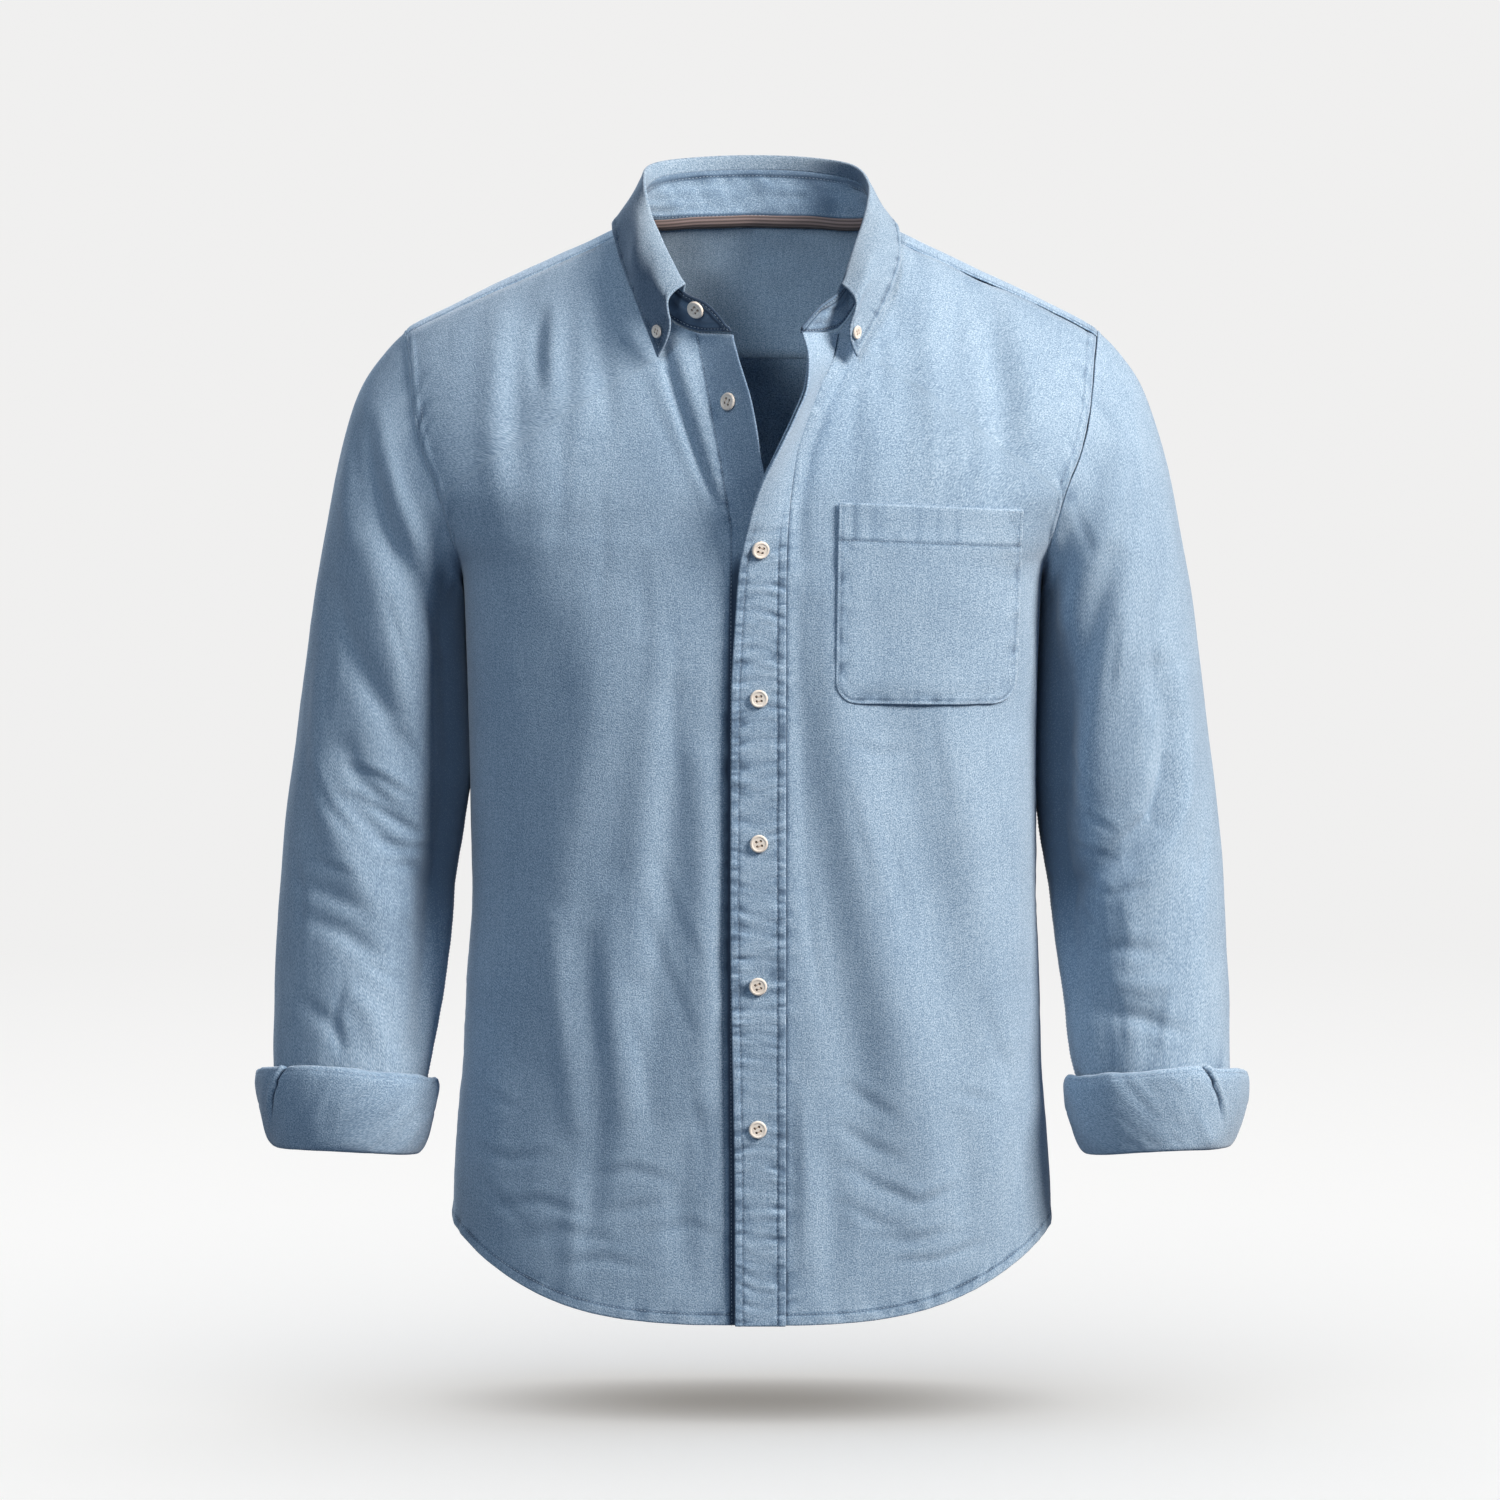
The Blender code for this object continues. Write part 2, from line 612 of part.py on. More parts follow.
def front_grid(side):
    """Sheet of one front: its main grid, then its edge strip."""
    neck = LEFT_NECK if side > 0 else RIGHT_NECK
    edge = LEFT_EDGE if side > 0 else RIGHT_EDGE
    neck_end = (NECK_SIDE_LEFT if side > 0 else NECK_SIDE_RIGHT)
    end = over_shoulder(np.array(neck_end), np.array(-YOKE_FRONT_TURN))
    top_x, top_z = seam_top(side, -1)
    neck_line = even_curve([(row.x, row.z) for row in neck] + [(end[0], end[2])],
                           np.linspace(0, 1, NECK_ROWS + 1))
    corner_z = neck[0].z
    inner_share = np.concatenate([np.linspace(0, LOWER_INNER, LOWER_ROWS + 1)[:-1],
                                  np.linspace(LOWER_INNER, 1, UPPER_ROWS + 1)])
    outer_share = np.concatenate([np.linspace(0, LOWER_OUTER, LOWER_ROWS + 1)[:-1],
                                  np.linspace(LOWER_OUTER, CORNER_OUTER, UPPER_ROWS + 1)])
    inner_hem = float(hem_z(smooth_table(edge, "z", "strip_x")(SIDE_HEM_Z)))
    rows = FRONT_ROWS + NECK_ROWS + 1
    across = np.linspace(0, 1, FRONT_COLUMNS + 1)
    seam_x = smooth_table(edge, "z", "strip_x")
    main = []
    strips = []
    for j in range(rows):
        if j <= FRONT_ROWS:
            share = outer_share[j]
            inner_z = corner_z + (1 - inner_share[j]) * (inner_hem - corner_z)
            inner_x = float(seam_x(inner_z))
        else:
            share = CORNER_OUTER + (1 - CORNER_OUTER) * (j - FRONT_ROWS) / NECK_ROWS
            inner_x, inner_z = neck_line[j - FRONT_ROWS]
        outer_z = SIDE_HEM_Z + share * (top_z - SIDE_HEM_Z)
        outer_x = float(torso_half(outer_z))
        if outer_z > UNDERARM_Z:
            outer_x = float(armhole_x(outer_z))
        level = inner_z + across * (outer_z - inner_z)
        lowest = inner_hem + across * (SIDE_HEM_Z - inner_hem)
        half = float(torso_half(outer_z))
        inner_angle = math.asin(inner_x / half)
        outer_angle = side * (math.asin(min(1, outer_x / half)) - SEAM_GAP / 2 / half)
        angle = inner_angle + across * (outer_angle - inner_angle)
        x = half * np.sin(angle)
        z = level + (hem_z(x) - lowest) * (1 - blend(0, HEM_RUN, share))
        inner_drop = float(ridge_z(abs(inner_x))) - inner_z
        outer_drop = float(ridge_z(outer_x)) - outer_z
        sloped = ridge_z(np.abs(x)) - (inner_drop + across * (outer_drop - inner_drop))
        z = z + (sloped - z) * blend(SLOPE_START, 1.0, share)
        x = x + (torso_half(z) * np.sin(angle) - x) * across ** SIDE_HOLD
        main.append(torso(x, z, -1))
        if j <= FRONT_ROWS:
            place = np.linspace(1, 0, STRIP_COLUMNS + 1)[:-1]
            strips.append(strip_points(side, np.full(STRIP_COLUMNS, inner_z), place))
    columns = FRONT_COLUMNS + 1
    points = np.vstack([np.vstack(main), np.vstack(strips)])
    quads = grid_quads(rows, columns)
    start = rows * columns
    quads += grid_quads(FRONT_ROWS + 1, STRIP_COLUMNS, start)
    for j in range(FRONT_ROWS):
        last = start + j * STRIP_COLUMNS + STRIP_COLUMNS - 1
        quads.append((last, j * columns, (j + 1) * columns, last + STRIP_COLUMNS))
    points = lap_lift(side, points)
    quads = facing(points, quads, np.array([0, 0, 0]) + points * [0, 0, 1])
    normals = point_normals(points, quads)
    folds = FRONT_LEFT_FOLDS if side > 0 else FRONT_RIGHT_FOLDS
    free = np.ones(len(points))
    free[start:] = 0
    for j in range(rows):
        free[j * columns] = 0
    points = pressed(points, normals, folds, free)
    return points, quads, start


def front(side, material):
    name = "front_left" if side > 0 else "front_right"
    points, quads, start = front_grid(side)
    return cloth(name, points, quads, WALL, material)


def placket(material):
    """The buttonhole band on the left front, made from the edge strip's points."""
    points, quads, start = front_grid(1)
    normals = point_normals(points, quads)
    columns = FRONT_COLUMNS + 1
    keep = []
    for j in range(FRONT_ROWS + 1):
        keep += [start + j * STRIP_COLUMNS + i for i in range(STRIP_COLUMNS)] + [j * columns]
    band = grid_quads(FRONT_ROWS + 1, STRIP_COLUMNS + 1)
    band = facing(points[keep], band, points[keep] * [1, 0, 1])
    lift = WALL / 2 + SEAM_GAP + PLACKET_WALL / 2
    return cloth("placket", points[keep], band, PLACKET_WALL, material, lift, normals[keep])


def outer_spots(piece, x, z):
    """Where the front view's x, z meet a wall's outer face, with its smooth normals."""
    mesh = piece.data
    half = len(mesh.vertices) // 2
    points = np.array([vertex.co for vertex in mesh.vertices])[:half] / MM
    triangles = [tuple(face.vertices) for face in mesh.polygons if max(face.vertices) < half]
    normals = point_normals(points, triangles)
    tree = BVHTree.FromPolygons(points.tolist(), triangles)
    spots = []
    outward = []
    for place_x, place_z in zip(x, z):
        spot, facet, number, far = tree.ray_cast(Vector((place_x, VIEW_Y, place_z)), Vector((0, 1, 0)))
        corners = triangles[number]
        weights = poly_3d_calc([Vector(points[i]) for i in corners], spot)
        spots.append(spot)
        outward.append(sum(weight * normals[i] for weight, i in zip(weights, corners)))
    return np.array(spots), unit(np.array(outward))


def pocket(panel, material):
    """Patch pocket on the left front's outer face, with rounded lower corners."""
    rows = []
    heights = POCKET_ROWS + list(np.linspace(POCKET_CORNER, POCKET_HEIGHT, POCKET_BODY_ROWS + 1)[1:])
    top = heights[-1]
    for height in heights:
        below = max(0.0, POCKET_CORNER - height)
        inset = POCKET_CORNER - math.sqrt(POCKET_CORNER ** 2 - below ** 2)
        share = height / top
        left = np.array(POCKET_BOTTOM_LEFT) + share * (np.array(POCKET_TOP_LEFT) - POCKET_BOTTOM_LEFT)
        right = np.array(POCKET_BOTTOM_RIGHT) + share * (np.array(POCKET_TOP_RIGHT) - POCKET_BOTTOM_RIGHT)
        run = right - left
        inset /= np.linalg.norm(run)
        for place in np.linspace(inset, 1 - inset, POCKET_COLUMNS + 1):
            rows.append(left + place * run)
    rows = np.array(rows)
    points, normals = outer_spots(panel, rows[:, 0], rows[:, 1])
    quads = facing(points, grid_quads(len(heights), POCKET_COLUMNS + 1), points * [0, 0, 1])
    lift = SEAM_GAP + POCKET_EASE + WALL / 2
    return cloth("pocket", points, quads, WALL, material, lift, normals)


def back(material):
    """Back panel below the yoke, with a soft box pleat at its middle."""
    across = np.linspace(-1, 1, BACK_COLUMNS + 1)
    grid = []
    for share in np.linspace(0, 1, BACK_ROWS + 1):
        outer_z = SIDE_HEM_Z + share * (YOKE_BACK_Z - YOKE_BACK_DROP - SIDE_HEM_Z)
        outer_x = float(torso_half(outer_z))
        if outer_z > UNDERARM_Z:
            outer_x = float(armhole_x(outer_z))
        limit = math.asin(min(1, outer_x / float(torso_half(outer_z)))) - SEAM_GAP / 2 / outer_x
        x = torso_half(outer_z) * np.sin(across * limit)
        seam = YOKE_BACK_Z - SEAM_GAP - YOKE_BACK_DROP * (np.abs(x) / armhole_x(YOKE_BACK_Z)) ** 2
        top = seam - YOKE_BACK_Z + YOKE_BACK_DROP
        z = outer_z + top * blend(BACK_SLOPE_START, 1.0, share)
        z = z + (hem_z(x) - SIDE_HEM_Z) * (1 - blend(0, HEM_RUN, share))
        x = x + (torso_half(z) * np.sin(across * limit) - x) * np.abs(across) ** SIDE_HOLD
        grid.append(torso(x, z, 1))
    points = np.vstack(grid)
    quads = facing(points, grid_quads(BACK_ROWS + 1, BACK_COLUMNS + 1), points * [0, 0, 1])
    normals = point_normals(points, quads)
    below_seam = YOKE_BACK_Z - points[:, 2]
    points = pressed(points, normals, BACK_FOLDS, blend(2, BACK_FOLD_START, below_seam))
    open_pleat = blend(PLEAT_END_Z, PLEAT_END_Z / 2, points[:, 2]) * blend(2, PLEAT_START, below_seam)
    box = 1 - blend(PLEAT_HALF, PLEAT_HALF + PLEAT_TURN, np.abs(points[:, 0]))
    points = points + normals * (PLEAT_RISE * open_pleat * box)[:, None]
    return cloth("back", points, quads, WALL, material)


def neck_ring():
    """Neckline points and outward directions, from the right front round to the left."""
    parts = []
    for side in (-1, 1):
        points, quads, start = front_grid(side)
        normals = point_normals(points, quads)
        first = start + FRONT_ROWS * STRIP_COLUMNS
        picks = list(range(first, first + STRIP_COLUMNS))
        picks += [j * (FRONT_COLUMNS + 1) for j in range(FRONT_ROWS, FRONT_ROWS + NECK_ROWS)]
        parts.append(np.hstack([points[picks], normals[picks]]))
    sheet, quads = yoke_sheet()
    normals = point_normals(sheet, quads)
    inner = slice(0, None, YOKE_STEPS + 1)
    around = np.hstack([sheet[inner], normals[inner]])
    ring = np.vstack([parts[0], around, parts[1][::-1]])
    return ring[:, :3], ring[:, 3:]


def yoke_sheet():
    """Rays over the shoulders, from the neckline to the armholes and back seam."""
    half = YOKE_RAYS // 2
    points = []
    for side, neck_x in ((-1, NECK_SIDE_RIGHT), (1, NECK_SIDE_LEFT)):
        rows = [(neck_x, -YOKE_FRONT_TURN), (neck_x, 0.0)]
        for row in reversed(BACK_NECK):
            x = neck_x * row.out
            rows.append((x, float(turn_at(x, row.z, 1))))
        scale = np.array([1, 1 / TURN_LENGTH])
        ring = even_curve(np.array(rows) / scale, np.linspace(0, 1, half + 1)) * scale
        rays = []
        for i in range(half + 1):
            share = i / half
            if share <= ARMHOLE_RAYS:
                z_back = YOKE_BACK_Z - YOKE_BACK_DROP
                turn_end = float(turn_at(float(armhole_x(z_back)), z_back, 1))
                turn = -YOKE_FRONT_TURN + (share / ARMHOLE_RAYS) * (turn_end + YOKE_FRONT_TURN)
                x = float(armhole_x(ARMHOLE[0].z))
                for _ in range(3):
                    x = float(armhole_x(over_shoulder(np.array(x), np.array(turn))[2]))
            else:
                x = float(armhole_x(YOKE_BACK_Z)) * (1 - (share - ARMHOLE_RAYS) / (1 - ARMHOLE_RAYS))
                z = YOKE_BACK_Z - YOKE_BACK_DROP * (x / float(armhole_x(YOKE_BACK_Z))) ** 2
                turn = float(turn_at(x, z, 1))
            start = ring[i]
            end = np.array([side * x, turn])
            steps = np.linspace(0, 1, YOKE_STEPS + 1)[:, None]
            ray = start + steps * (end - start)
            rays.append(over_shoulder(ray[:, 0], ray[:, 1]))
        points.append(rays)
    rays = points[0] + points[1][::-1][1:]
    sheet = np.vstack(rays)
    # the first and last rays keep clear of the fronts' top edges
    for ray in (0, len(rays) - 1):
        start = ray * (YOKE_STEPS + 1)
        sheet[start:start + YOKE_STEPS + 1, 1] += SEAM_GAP
    quads = grid_quads(len(rays), YOKE_STEPS + 1)
    return sheet, facing(sheet, quads, np.array([0, 0, -200.0]))


def yoke(material):
    return cloth("yoke", *yoke_sheet(), WALL, material)


def unit(vectors):
    return vectors / np.linalg.norm(vectors, axis=1)[:, None]


def collar_rows():
    """Collar curves at each neckline point: foot, stand foot, fold, belly and rim."""
    ring, ring_out = neck_ring()
    run = np.concatenate([[0.0], np.cumsum(np.linalg.norm(np.diff(ring, axis=0), axis=1))])
    run /= run[-1]
    on_leaf = slice(LEAF_START, len(run) - LEAF_END)
    leaf_run = run[on_leaf]
    seam = np.interp(run, leaf_run[[0, -1]], [COLLAR[0].seam, COLLAR[-1].seam])
    shape = through(np.array(COLLAR, float), seam)
    at = np.interp(run, np.concatenate([[0], leaf_run[[0, -1]], [1]]),
                   [0, COLLAR[0].seam, COLLAR[-1].seam, 1])
    ends = [StandEnd(row.seam, row.top_x, row.top_y, row.top_z) for row in COLLAR]
    top = through(np.array(STAND_RIGHT_END + ends + STAND_LEFT_END, float), at)
    rise = unit(top - ring)
    lean = np.sum(rise * ring_out, axis=1)
    tilt = np.sqrt(np.maximum(0, 1 - lean ** 2))
    rise_by = (WALL / 2 + SEAM_GAP + tilt * COLLAR_WALL / 2) / np.maximum(lean, LEAN_LEAST)
    foot = ring + rise * rise_by[:, None]
    return ring, foot, top, rise, shape[:, 3:6], shape[:, 6:9], on_leaf


def through(rows, places):
    """Read the other columns of rows at places along their first column, on a smooth curve."""
    keys = rows[:, 0]
    slopes = np.gradient(rows[:, 1:], keys, axis=0)
    places = np.clip(places, keys[0], keys[-1])
    cell = np.clip(np.searchsorted(keys, places, side="right") - 1, 0, len(keys) - 2)
    step = (keys[cell + 1] - keys[cell])[:, None]
    t = (places[:, None] - keys[cell][:, None]) / step
    return hermite(t, rows[cell, 1:], rows[cell + 1, 1:], step * slopes[cell], step * slopes[cell + 1])


def stand_sheet(rows):
    """Band up from the neckline to the fold, round at its ends."""
    ring, foot, top, rise, belly, rim, on_leaf = rows
    length = np.linalg.norm(top - foot, axis=1)[:, None]
    head = top - rise * np.minimum(STAND_TOP_GAP, 0.5 * length)
    levels = [foot + (head - foot) * share for share in np.linspace(0, 1, STAND_RISE_STEPS + 1)]
    points = np.vstack(levels)
    return points, facing(points, grid_quads(len(levels), len(ring)), NECK_MIDDLE)


def stand(material):
    return cloth("collar_stand", *stand_sheet(collar_rows()), COLLAR_WALL, material)


def leaf(material):
    """Collar leaf: up from the stand, over the fold and down to its points."""
    ring, foot, top, rise, belly, rim, on_leaf = collar_rows()
    top, rise, belly, rim = top[on_leaf], rise[on_leaf], belly[on_leaf], rim[on_leaf]
    out = belly - top
    out = unit(out - np.sum(out * rise, axis=1)[:, None] * rise)
    start = top - rise * LEAF_FOOT
    crown = top + rise * LEAF_CROWN + out * LEAF_TURN
    levels = [start, crown]
    control = belly * 2 - (crown + rim) / 2
    place = np.arange(len(top))
    near_left = blend(len(top) - 1 - LEAF_SWING_RUN, len(top) - 1, place)
    near_right = blend(LEAF_SWING_RUN, 0, place)
    for t in np.linspace(0, 1, LEAF_STEPS + 1)[1:]:
        level = (1 - t) ** 2 * crown + 2 * t * (1 - t) * control + t * t * rim
        level[:, 0] += LEAF_SWING * math.sin(2 * math.pi * t) * (near_left - near_right)
        levels.append(level)
    points = np.vstack(levels)
    quads = facing(points, grid_quads(len(levels), len(top)), NECK_MIDDLE)
    return cloth("collar_leaf", points, quads, COLLAR_WALL, material)


def tape(material):
    """Tape over the neck seam, inside the back."""
    rows = collar_rows()
    ring = rows[0]
    band, band_quads = stand_sheet(rows)
    into = -point_normals(band, band_quads) * (COLLAR_WALL / 2 + TAPE_EASE + TAPE_WALL / 2)
    sheet, quads = yoke_sheet()
    rays = YOKE_STEPS + 1
    held = np.arange(TAPE_INSET, YOKE_RAYS + 1 - TAPE_INSET)
    below = unit(sheet[held * rays + 1] - sheet[held * rays])
    inside = -point_normals(sheet, quads)[held * rays] * (WALL / 2 + SEAM_GAP + TAPE_WALL / 2)
    held = held + STRIP_COLUMNS + NECK_ROWS
    step = band[held + len(ring)] - band[held]
    share = TAPE_RISE / np.linalg.norm(step, axis=1)[:, None]
    upper = band[held] + step * share + into[held] + (into[held + len(ring)] - into[held]) * share
    middle = ring[held] + into[held] + inside
    lower = ring[held] + below * TAPE_FALL + inside
    points = np.vstack([lower, middle, upper])
    quads = facing(points, grid_quads(3, len(held)), NECK_MIDDLE)
    return cloth("neck_tape", points, quads, TAPE_WALL, material)


def armhole_loop(angles):
    """Armhole seam by angle: 0 at the shoulder, then front, underarm and back."""
    top = ARMHOLE[0].z
    z = top + (UNDERARM_Z - top) * (1 - np.cos(angles)) / 2
    x = armhole_x(z)
    front_half = torso(x, z, -1)
    back_half = torso(x, z, 1)
    return np.where((np.sin(angles) > 0)[:, None], front_half, back_half)


def sleeve_rings():
    angles = np.linspace(0, 2 * np.pi, SLEEVE_SIDES, endpoint=False) + SMALL_TURN
    table = np.array(SLEEVE, float)
    first = None
    rings = []
    spots = np.linspace(0, 1, SLEEVE_RINGS + 1)
    fine = even_curve(np.hstack([table, np.arange(len(table))[:, None] * 1.0]), spots)
    loop = armhole_loop(angles)
    for row in fine:
        outer_x, outer_z, inner_x, inner_z, middle_y, ahead, behind, tilt, station = row
        along = (1 + np.cos(angles)) / 2
        y = -np.sin(angles) * np.where(np.sin(angles) > 0, ahead, behind)
        ring = np.stack([inner_x + along * (outer_x - inner_x), middle_y + y,
                         inner_z + along * (outer_z - inner_z) - tilt * y], -1)
        if first is None:
            first = ring
        ring = ring + (1 - blend(0, HEAD_SECTIONS, station)) * (loop - first)
        rings.append(ring)
    low = blend(SLEEVE_LOW * np.pi, np.pi, np.abs((angles + np.pi) % (2 * np.pi) - np.pi))
    rings[0][:, 0] += SLEEVE_SET + (WALL + SEAM_GAP) * low
    return rings


def sleeve(side, material):
    rings = sleeve_rings()
    points = np.vstack(rings)
    points[:, 0] *= side
    quads = grid_quads(len(rings), SLEEVE_SIDES, closed=True)
    middles = np.vstack([np.repeat(ring.mean(axis=0)[None], len(ring), axis=0) for ring in rings])
    middles[:, 0] *= side
    quads = facing(points, quads, middles)
    normals = point_normals(points, quads)
    ring_share = np.repeat(np.linspace(0, 1, len(rings)), SLEEVE_SIDES)
    clear = blend(0, HEAD_CLEAR, ring_share) * (1 - blend(1 - END_CLEAR, 1.0, ring_share))
    outward = blend(*FOLD_FACING, np.abs(normals[:, 1]))
    front_side = (normals[:, 1] < 0) * clear * outward
    back_side = (normals[:, 1] >= 0) * clear * outward
    folds = SLEEVE_LEFT_FOLDS if side > 0 else SLEEVE_RIGHT_FOLDS
    behind = [fold._replace(x0=fold.x0 * side, x1=fold.x1 * side) for fold in SLEEVE_BACK_FOLDS]
    shaped = pressed(points, normals, folds, front_side)
    shaped += pressed(points, normals, behind, back_side) - points
    name = "sleeve_left" if side > 0 else "sleeve_right"
    return cloth(name, shaped, quads, WALL, material)


def cuff(side, material):
    """Turned-up cuff: down inside, round the fold and up outside, lapped at its end."""
    angles = np.linspace(0, 2 * np.pi, CUFF_SIDES, endpoint=False)
    rows = []
    length = abs(CUFF_FALL[2])
    for number, row in enumerate(CUFF):
        share = row.along / length
        middle = np.array(CUFF_TOP) + share * np.array(CUFF_FALL)
        lap_at = math.radians(CUFF_LAP_ANGLE + CUFF_LAP_SLANT * share)
        past = (angles - lap_at) % (2 * np.pi)
        outside = blend(*CUFF_OUTSIDE, number)
        raised = CUFF_LAP * outside * (1 - blend(0, math.radians(CUFF_LAP_RUN), past))
        x = (row.half_x + raised) * np.sin(angles)
        y = -(row.half_y + raised) * np.cos(angles)
        z = middle[2] - CUFF_TILT_Y * y + CUFF_TILT_X * x
        rows.append(np.stack([middle[0] + x, middle[1] + y, z], -1))
    points = np.vstack(rows)
    points[:, 0] *= side
    quads = grid_quads(len(rows), CUFF_SIDES, closed=True)
    start = CUFF_SIDES * CUFF_OUTSIDE[1]
    middle = np.array(CUFF_TOP) * [side, 1, 1] + np.array(CUFF_FALL) / 2
    normals = point_normals(points, quads)
    shell = slice(start, start + CUFF_SIDES)
    if np.sum(normals[shell] * (points[shell] - middle)) < 0:
        quads = [quad[::-1] for quad in quads]
    name = "cuff_left" if side > 0 else "cuff_right"
    return cloth(name, points, quads, CUFF_WALL, material)


def button_mesh(radius, material):
    mesh = bpy.data.meshes.new("button")
    shape = bmesh.new()
    rings = []
    for row in BUTTON_PROFILE:
        ring = []
        for i in range(BUTTON_SIDES):
            angle = 2 * math.pi * i / BUTTON_SIDES
            spot = Vector((math.cos(angle) * row.radius * radius, math.sin(angle) * row.radius * radius,
                           row.height * BUTTON_HEIGHT))
            ring.append(shape.verts.new(spot * MM))
        rings.append(ring)
    for low, high in zip(rings, rings[1:]):
        for i in range(BUTTON_SIDES):
            k = (i + 1) % BUTTON_SIDES
            shape.faces.new((low[i], low[k], high[k], high[i]))
    shape.faces.new(rings[0][::-1])
    shape.faces.new(rings[-1])
    shape.to_mesh(mesh)
    shape.free()
    mesh.materials.append(material)
    mesh.shade_smooth()
    mesh.set_sharp_from_angle(angle=BUTTON_SHARP_EDGE)
    return mesh


def sew_button(name, mesh, piece, place, lift):
    """Stand a button on the outer face of the piece that it is sewn to."""
    button = add_object(name, mesh)
    spots, normals = outer_spots(piece, [place[0]], [place[1]])
    turn = Vector((0, 0, 1)).rotation_difference(Vector(normals[0]))
    seat = Matrix.Translation(Vector((spots[0] + normals[0] * lift) * MM))
    button.matrix_world = seat @ turn.to_matrix().to_4x4()
    return button


def build():
    for item in list(bpy.data.objects):
        bpy.data.objects.remove(item, do_unlink=True)
    twill = finish("blue_twill", (0.235, 0.33, 0.45), 0.9)
    band = finish("blue_twill_band", (0.27, 0.37, 0.49), 0.88)
    brown = finish("brown_tape", (0.11, 0.085, 0.085), 0.85)
    horn = finish("pale_button", (0.72, 0.62, 0.50), 0.45)
    right = front(-1, twill)
    left = front(1, twill)
    strip = placket(band)
    pocket(left, twill)
    back(twill)
    yoke(twill)
    base = stand(band)
    flap = leaf(twill)
    tape(brown)
    for side in (-1, 1):
        sleeve(side, twill)
        cuff(side, band)
    small = button_mesh(COLLAR_BUTTON_RADIUS, horn)
    large = button_mesh(BUTTON_RADIUS, horn)
    sew_button("button_front_1", large, base, STAND_BUTTON, BUTTON_SEAT + STAND_BUTTON_EASE)
    sew_button("button_front_2", large, right, OPEN_BUTTON, BUTTON_SEAT)
    for number, place in enumerate(PLACKET_BUTTONS):
        sew_button(f"button_front_{number + 3}", large, strip, place, BUTTON_SEAT)
    sew_button("button_collar_right", small, flap, COLLAR_BUTTON_RIGHT, BUTTON_SEAT)
    sew_button("button_collar_left", small, flap, COLLAR_BUTTON_LEFT, BUTTON_SEAT)


build()
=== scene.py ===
import math

import bpy
import numpy as np
from mathutils import Matrix, Vector


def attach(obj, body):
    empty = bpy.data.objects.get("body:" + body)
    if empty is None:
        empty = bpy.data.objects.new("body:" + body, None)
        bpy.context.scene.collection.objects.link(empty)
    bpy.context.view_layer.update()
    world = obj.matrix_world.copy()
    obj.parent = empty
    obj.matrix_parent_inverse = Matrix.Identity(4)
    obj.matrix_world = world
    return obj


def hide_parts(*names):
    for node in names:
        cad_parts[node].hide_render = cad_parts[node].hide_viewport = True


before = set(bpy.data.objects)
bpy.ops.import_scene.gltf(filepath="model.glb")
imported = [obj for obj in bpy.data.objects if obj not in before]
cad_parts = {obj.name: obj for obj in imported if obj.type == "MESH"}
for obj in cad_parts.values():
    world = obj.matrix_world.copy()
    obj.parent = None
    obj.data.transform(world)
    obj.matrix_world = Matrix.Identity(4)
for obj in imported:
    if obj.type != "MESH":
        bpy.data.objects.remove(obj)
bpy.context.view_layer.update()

# sizes are in mm: x to the image's right, y to the back, z up
mm = 0.001
view = {"pitch": 5.5, "distance": 6000.0, "mmPerPixel": 0.66, "target": (-1.3, 0.0, -340.0)}
print("shirt: frame loaded")


# curves and noise

def hermite(t, start, end, leave, arrive):
    return ((1 + 2 * t) * (1 - t) ** 2 * start + t * (1 - t) ** 2 * leave
            + t * t * (3 - 2 * t) * end + t * t * (t - 1) * arrive)


def blend(low, high, at):
    t = np.clip((np.asarray(at, float) - low) / (high - low), 0, 1)
    return t * t * (3 - 2 * t)


def bell(distance, middle, width):
    return np.exp(-((distance - middle) / width) ** 2)


def curveOf(rows, key, value):  # one column of a table read against another
    ordered = sorted(rows, key=lambda row: row[key])
    keys = np.array([row[key] for row in ordered], float)
    values = np.array([row[value] for row in ordered], float)
    steps = np.diff(keys)
    slopes = np.diff(values) / steps
    tangents = np.concatenate([slopes[:1], np.zeros(len(values) - 2), slopes[-1:]])
    before, after = slopes[:-1], slopes[1:]
    agree = before * after > 0
    tangents[1:-1] = np.where(agree, 2 * before * after / np.where(agree, before + after, 1.0), 0.0)

    def read(at):
        at = np.clip(np.asarray(at, float), keys[0], keys[-1])
        cell = np.clip(np.searchsorted(keys, at, side="right") - 1, 0, len(steps) - 1)
        t = (at - keys[cell]) / steps[cell]
        return hermite(t, values[cell], values[cell + 1], steps[cell] * tangents[cell],
                       steps[cell] * tangents[cell + 1])

    return read


def evenCurve(rows, places):  # a smooth curve through rows, read by share of its length
    points = np.array(rows, float)
    padded = np.vstack([2 * points[0] - points[1], points, 2 * points[-1] - points[-2]])
    fine = []
    for i in range(len(points) - 1):
        a, b, c, d = padded[i:i + 4]
        t = np.linspace(0, 1, 16, endpoint=False)[:, None]
        fine.append(0.5 * (2 * b + (c - a) * t + (2 * a - 5 * b + 4 * c - d) * t ** 2
                           + (3 * b - a - 3 * c + d) * t ** 3))
    fine = np.vstack(fine + [points[-1:]])
    run = np.concatenate([[0.0], np.cumsum(np.linalg.norm(np.diff(fine, axis=0), axis=1))])
    return np.column_stack([np.interp(places, run / run[-1], column) for column in fine.T])


